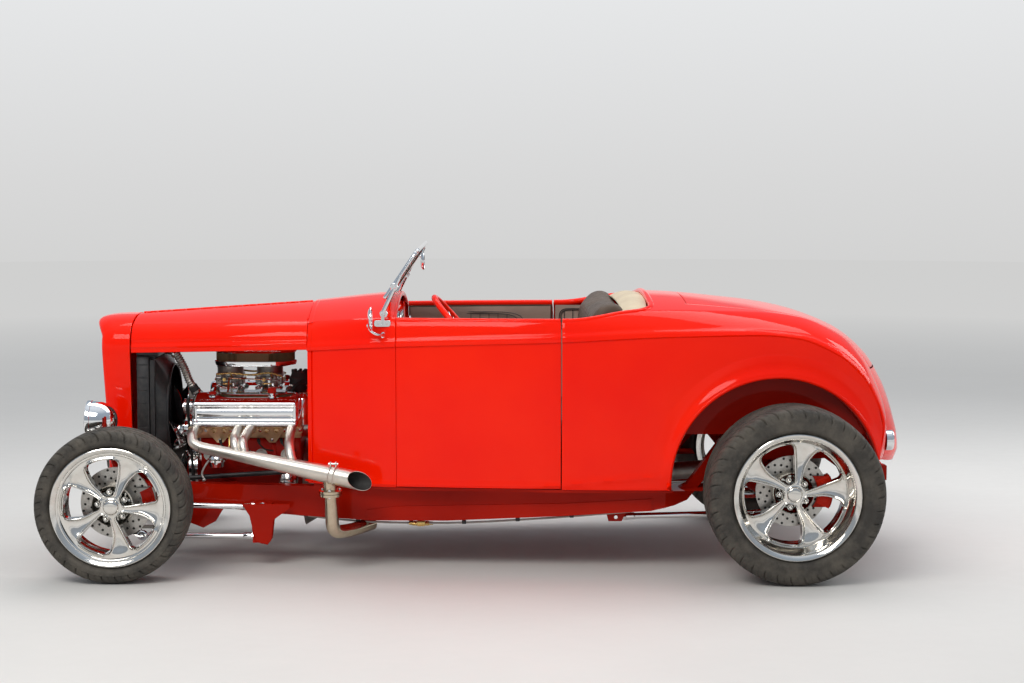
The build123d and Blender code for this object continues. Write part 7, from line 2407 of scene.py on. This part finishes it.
    def steering_wheel(self) -> None:
        """Steering wheel: a painted rim with finger waves, three slotted spokes, hub and plain button.

        The rim is a torus whose tube radius swells by a cosine of the angle on its inner half.
        """
        form = Form("steering_wheel_rim")
        axis = vec(math.cos(self.tilt), 0, math.sin(self.tilt))
        u = vec(0, 1, 0)
        v = np.cross(axis, u)
        c = np.array(self.wheel_centre)
        turns, around = 240, 24
        a = np.linspace(0, 2 * math.pi, turns, endpoint=False)[:, None]
        b = np.linspace(0, 2 * math.pi, around, endpoint=False)[None, :]
        thick = self.rim_r - 0.7 + 0.7 * np.cos(40 * a) * np.clip(-np.cos(b), 0, 1)
        radius = self.wheel_r + thick * np.cos(b)
        rise = thick * np.sin(b) + 0 * a
        p = (c + (radius * np.cos(a))[..., None] * u + (radius * np.sin(a))[..., None] * v + rise[..., None]
             * axis)
        form.grid(p[:, ::-1], 0, loop_u=True, loop_v=True)
        for turn in np.arange(3) * 2 * math.pi / 3 - math.pi / 2:
            out = math.cos(turn) * u + math.sin(turn) * v
            beside = np.cross(axis, out)
            for shift in (-11.0, 11.0):
                line = spline([c - axis * 20 + out * 26 + beside * shift,
                               c - axis * 16 + out * 90 + beside * shift * 1.1,
                               c - axis * 4 + out * 178 + beside * shift * 1.5], 16)
                form.tube(line, 1.0, 12, 1, section=rounded(5.0, 3.0, 2.6, 4))
            plate = np.stack([np.stack([c - axis * (22 - 16 * s) + out * (30 + 148 * s) + beside * w
                                        for w in (-10, -4, 4, 10)])
                              for s in (0.0, 0.25)])
            form.grid(plate, 1, facing=axis)
        form.lathe([(-48, 22), (-48, 33), (-14, 34), (-8, 31), (-5, 24), (-4, 16)], c, axis, 48, 2)
        form.lathe([(-6, 22), (-1, 21), (2, 14), (3, 0.1)], c, axis, 40, 1)
        form.lathe([(-180, 0.1), (-180, 14), (-48, 14)], c, axis, 32, 2)
        form.finish([Finish.PAINT, Finish.POLISHED, Finish.BLACK_METAL], "steering_wheel",
                    "steering_trim", ("steering_wheel",), weld=True, sharp=40)

    def mirrors(self) -> None:
        """Interior mirror on its stem and the side mirror on its stalk, turned with thin rims."""
        form = Form("round_mirrors")
        inner = vec(1198, -4, 1240)
        form.lathe([(-8, 0.1), (-8, 16), (-5, 29), (1, 36), (5, 38), (8, 37.5), (8.4, 35), (6, 34)], inner,
                   vec(1, 0, 0), 64)
        form.lathe([(4, 0.1), (4, 34.4), (6, 34.2), (6.3, 0.1)], inner, vec(1, 0, 0), 64, 1)
        form.tube(spline([(1192, -2, 1262), (1199, 0, 1278), (1208, 0, 1297)], 12), 4.0, 14)
        form.ball(vec(1192, -3, 1260), 6.5)
        outer = vec(1008, -590, 1033)
        form.lathe([(-8, 0.1), (-8, 18), (-5, 36), (1, 46), (5, 49.5), (8, 49.5), (8.4, 47), (6, 45.5)],
                   outer, vec(1, 0, 0), 72)
        form.lathe([(4, 0.1), (4, 46), (6, 45.8), (6.3, 0.1)], outer, vec(1, 0, 0), 72, 1)
        stalk = spline([(1003, -590, 1008), (1010, -588, 988), (1030, -580, 972), (1050, -562, 966),
                        (1061, -549, 965)], 30)
        form.tube(stalk, np.linspace(5.2, 6.2, 30), 16)
        form.ball(vec(1003, -590, 1006), 8.5)
        form.lathe([(0, 0.1), (0, 13), (3, 12), (5, 8)], vec(1061, -548, 965), vec(0, -1, 0.1), 28)
        form.finish([Finish.CHROME, Finish.MIRROR], "root", "chrome", ("mirrors",), weld=True)

    def windshield(self) -> None:
        """Swivel brackets, wing bolts, small plates and ball ends, added to the frame's tube."""
        form = Form("windshield_brackets")
        for side in SIDES.values():
            for x, z in ((1105, 1158), (1062, 1050)):
                form.lathe([(-9, 0.1), (-9, 15), (-6, 17), (6, 17), (9, 15), (9, 0.1)], vec(x, side * 540, z),
                           vec(0, 1, 0), 28)
                form.bolt(vec(x, side * 548, z), vec(0, side, 0), 7)
            form.slab(rounded(34, 13, 10), vec(1057, side * 548, 1012), vec(1, 0, 0), vec(0, 0, 1), 4 * -side,
                      0, 1.5)
            for x in (1040, 1074):
                form.bolt(vec(x, side * 549, 1012), vec(0, side, 0), 4.5)
        for y in (-504.0, 504.0):
            form.ball(vec(1197, y, 1303), 8.0)
        form.finish([Finish.CHROME], "root", "chrome", weld=True)

    def floor(self) -> None:
        """Carpet over the floor and tunnel, pedals, and the gear lever with its knob and boot."""
        form = Form("carpet_and_controls")
        x = np.linspace(790, 1538, 40)
        y = np.linspace(-520, 520, 61)
        grid_x, grid_y = np.meshgrid(x, y, indexing="ij")
        width = np.clip((grid_x - 790) / 400, 0, 1) * 90 + 430
        side = grid_y / 520 * width
        hump = 205 * (1 - smoothstep(150, 190, np.abs(side)))
        height = 347 + hump + 1.2 * np.sin(grid_x / 23) * np.sin(side / 31)
        toe = 210 * smoothstep(930, 790, grid_x) * (np.abs(side) > 175)
        form.grid(np.stack([grid_x, side, height + toe], axis=-1), facing=UP)
        for at in (-400, -330, -250):
            pad = vec(930, at, 520)
            form.slab(rounded(26, 34, 8), pad, vec(0, 1, 0), unit(vec(0.35, 0, 0.94)), 8, 1, 2)
            form.tube(np.array([pad, vec(880, at, 470)]), 6, 12, 2)
        lever = spline([(1290, 0, 556), (1300, 0, 640), (1322, 0, 740), (1330, 0, 800)], 24)
        form.tube(lever, np.linspace(9, 6.5, 24), 16, 3)
        form.ball(vec(1331, 0, 812), 22, 1, 28)
        form.lathe([(0, 70), (6, 66), (16, 40), (46, 20), (52, 12)], vec(1290, 0, 553), UP, 40, 1)
        form.finish([Finish.CARPET, Finish.TRIM, Finish.BLACK_METAL, Finish.CHROME],
                    "root", "black_trim")

    def build(self) -> None:
        """Builds the cabin."""
        self.seat()
        self.trims()
        self.dashboard()
        self.steering_wheel()
        self.mirrors()
        self.windshield()
        self.floor()


@dataclass
class Studio:
    """Pale floor, soft lamps and the camera at the photograph's angle."""

    camera_place: tuple = (0.051, -8.38, 1.6)
    pitch: float = 0.0842
    yaw: float = 0.0075
    lens: float = 68.55
    floor_tone: tuple = (0.68, 0.67, 0.65)
    sky: float = 0.58
    bands: tuple = ((0.0, (0.2, 0.17, 0.14)), (0.4, WALL_TONE), (0.468, WALL_TONE), (0.5, (0.69, 0.69, 0.69)),
                    (0.55, (0.8, 0.81, 0.82)), (0.585, (0.3, 0.33, 0.37)), (0.86, (0.34, 0.4, 0.48)),
                    (1.0, (0.8, 0.85, 0.92)))

    def camera(self) -> None:
        """The camera, level from side to side and looking a little down."""
        data = bpy.data.cameras.new("camera")
        data.lens = self.lens
        data.sensor_width = 36.0
        eye = bpy.data.objects.new("camera", data)
        eye.location = self.camera_place
        eye.rotation_euler = (math.pi / 2 - self.pitch, 0.0, -self.yaw)
        bpy.context.scene.collection.objects.link(eye)
        bpy.context.scene.camera = eye

    def floor(self) -> None:
        """A round floor whose faint clouds keep it from looking flat."""
        n = Nodes("studio_floor")
        darker = tuple(0.9 * value for value in self.floor_tone)
        n.colour(n.mix(n.noise(0.9, 4.0), darker, self.floor_tone))
        n.rough(n.span(n.noise(12.0), 0.3, 0.7, 0.55, 0.7))
        self.fade(n)
        mesh = bpy.data.meshes.new("studio_floor")
        ring = circle(96, 30.0)
        points = np.column_stack([ring, np.zeros(len(ring))])
        mesh.from_pydata(points.tolist(), [], [list(range(len(points)))])
        mesh.materials.append(n.material)
        ground = bpy.data.objects.new("studio_floor", mesh)
        bpy.context.scene.collection.objects.link(ground)

    def fade(self, n: Nodes) -> None:
        """Far from the middle, the floor takes the wall's tone for the camera and for mirrors."""
        reach = n.add("ShaderNodeVectorMath", operation="LENGTH")
        n.link(n.place, reach.inputs[0])
        share = n.span(reach.outputs["Value"], 3.5, 15.0, 0.0, 1.0)
        path = n.add("ShaderNodeLightPath")
        seen = path.outputs["Is Camera Ray"]
        for ray in ("Is Glossy Ray", "Is Transmission Ray"):
            seen = n.math("ADD", seen, path.outputs[ray])
        wall = n.add("ShaderNodeEmission")
        wall.inputs["Color"].default_value = (*WALL_TONE, 1.0)
        mix = n.add("ShaderNodeMixShader")
        n.link(n.math("MULTIPLY", seen, share), mix.inputs["Fac"])
        n.link(n.shader.outputs["BSDF"], mix.inputs[1])
        n.link(wall.outputs["Emission"], mix.inputs[2])
        n.link(mix.outputs["Shader"], n.tree.nodes["Material Output"].inputs["Surface"])

    def world(self) -> None:
        """Even light from all round; camera, glossy and transmission rays see a pale wall under a banded sky.

        The sky is pale by the horizon and overhead, and darker between and below, so that plated
        parts have something to mirror.
        """
        world = bpy.data.worlds.new("studio")
        bpy.context.scene.world = world
        world.use_nodes = True
        nodes, links = world.node_tree.nodes, world.node_tree.links
        light, seen = nodes["Background"], nodes.new("ShaderNodeBackground")
        light.inputs["Color"].default_value = (0.93, 0.96, 1.0, 1.0)
        light.inputs["Strength"].default_value = self.sky
        split = nodes.new("ShaderNodeSeparateXYZ")
        links.new(nodes.new("ShaderNodeTexCoord").outputs["Generated"], split.inputs["Vector"])
        half = nodes.new("ShaderNodeMapRange")
        half.inputs["From Min"].default_value = -1.0
        links.new(split.outputs["Z"], half.inputs["Value"])
        band = nodes.new("ShaderNodeValToRGB")
        while len(band.color_ramp.elements) < len(self.bands):
            band.color_ramp.elements.new(0.5)
        for element, (place, tone) in zip(band.color_ramp.elements, self.bands):
            element.position = place
            element.color = (*tone, 1.0)
        links.new(half.outputs["Result"], band.inputs["Fac"])
        links.new(band.outputs["Color"], seen.inputs["Color"])
        path = nodes.new("ShaderNodeLightPath")
        share = path.outputs["Is Camera Ray"]
        for ray in ("Is Glossy Ray", "Is Transmission Ray"):
            total = nodes.new("ShaderNodeMath")
            total.operation = "ADD"
            total.use_clamp = True
            links.new(share, total.inputs[0])
            links.new(path.outputs[ray], total.inputs[1])
            share = total.outputs["Value"]
        mix = nodes.new("ShaderNodeMixShader")
        links.new(share, mix.inputs["Fac"])
        links.new(light.outputs["Background"], mix.inputs[1])
        links.new(seen.outputs["Background"], mix.inputs[2])
        links.new(mix.outputs["Shader"], nodes["World Output"].inputs["Surface"])

    def lamp(self, name: str, place: tuple, aim: tuple, size: tuple, power: float,
             tone: tuple = (1, 1, 1)) -> None:
        """One soft rectangular lamp."""
        data = bpy.data.lights.new(name, "AREA")
        data.shape = "RECTANGLE"
        data.size, data.size_y = size
        data.energy = power
        data.color = tone
        lamp = bpy.data.objects.new(name, data)
        lamp.location = place
        lamp.rotation_euler = (Vector(aim) - Vector(place)).to_track_quat("-Z", "Y").to_euler()
        bpy.context.scene.collection.objects.link(lamp)

    def build(self) -> None:
        """Builds the whole studio."""
        bpy.context.scene.view_settings.view_transform = "Standard"
        self.camera()
        self.floor()
        self.world()
        self.lamp("key_lamp", place=(-2.5, -5.0, 5.5), aim=(0.0, 0.0, 0.4), size=(4.5, 2.5), power=255.0,
                  tone=(1.0, 0.97, 0.92))
        self.lamp("top_lamp", place=(0.5, 1.5, 5.0), aim=(0.0, 0.0, 0.5), size=(6.0, 3.0), power=150.0)
        self.lamp("tail_lamp", place=(5.5, 2.0, 3.0), aim=(1.0, 0.0, 0.6), size=(3.0, 2.5), power=80.0)


def write_size() -> None:
    """Brings the view layer up to date."""
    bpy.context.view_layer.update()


def main() -> None:
    """Builds the pieces in order."""
    logging.basicConfig(level=logging.INFO, format="%(message)s")
    Studio().build()
    dress_frame()
    Body().build()
    Hood().build()
    Shell().build()
    build_corners()
    Engine().build()
    FrontDrive().build()
    RunningGear().build()
    Cabin().build()
    write_size()


if __name__ == "__main__":
    main()
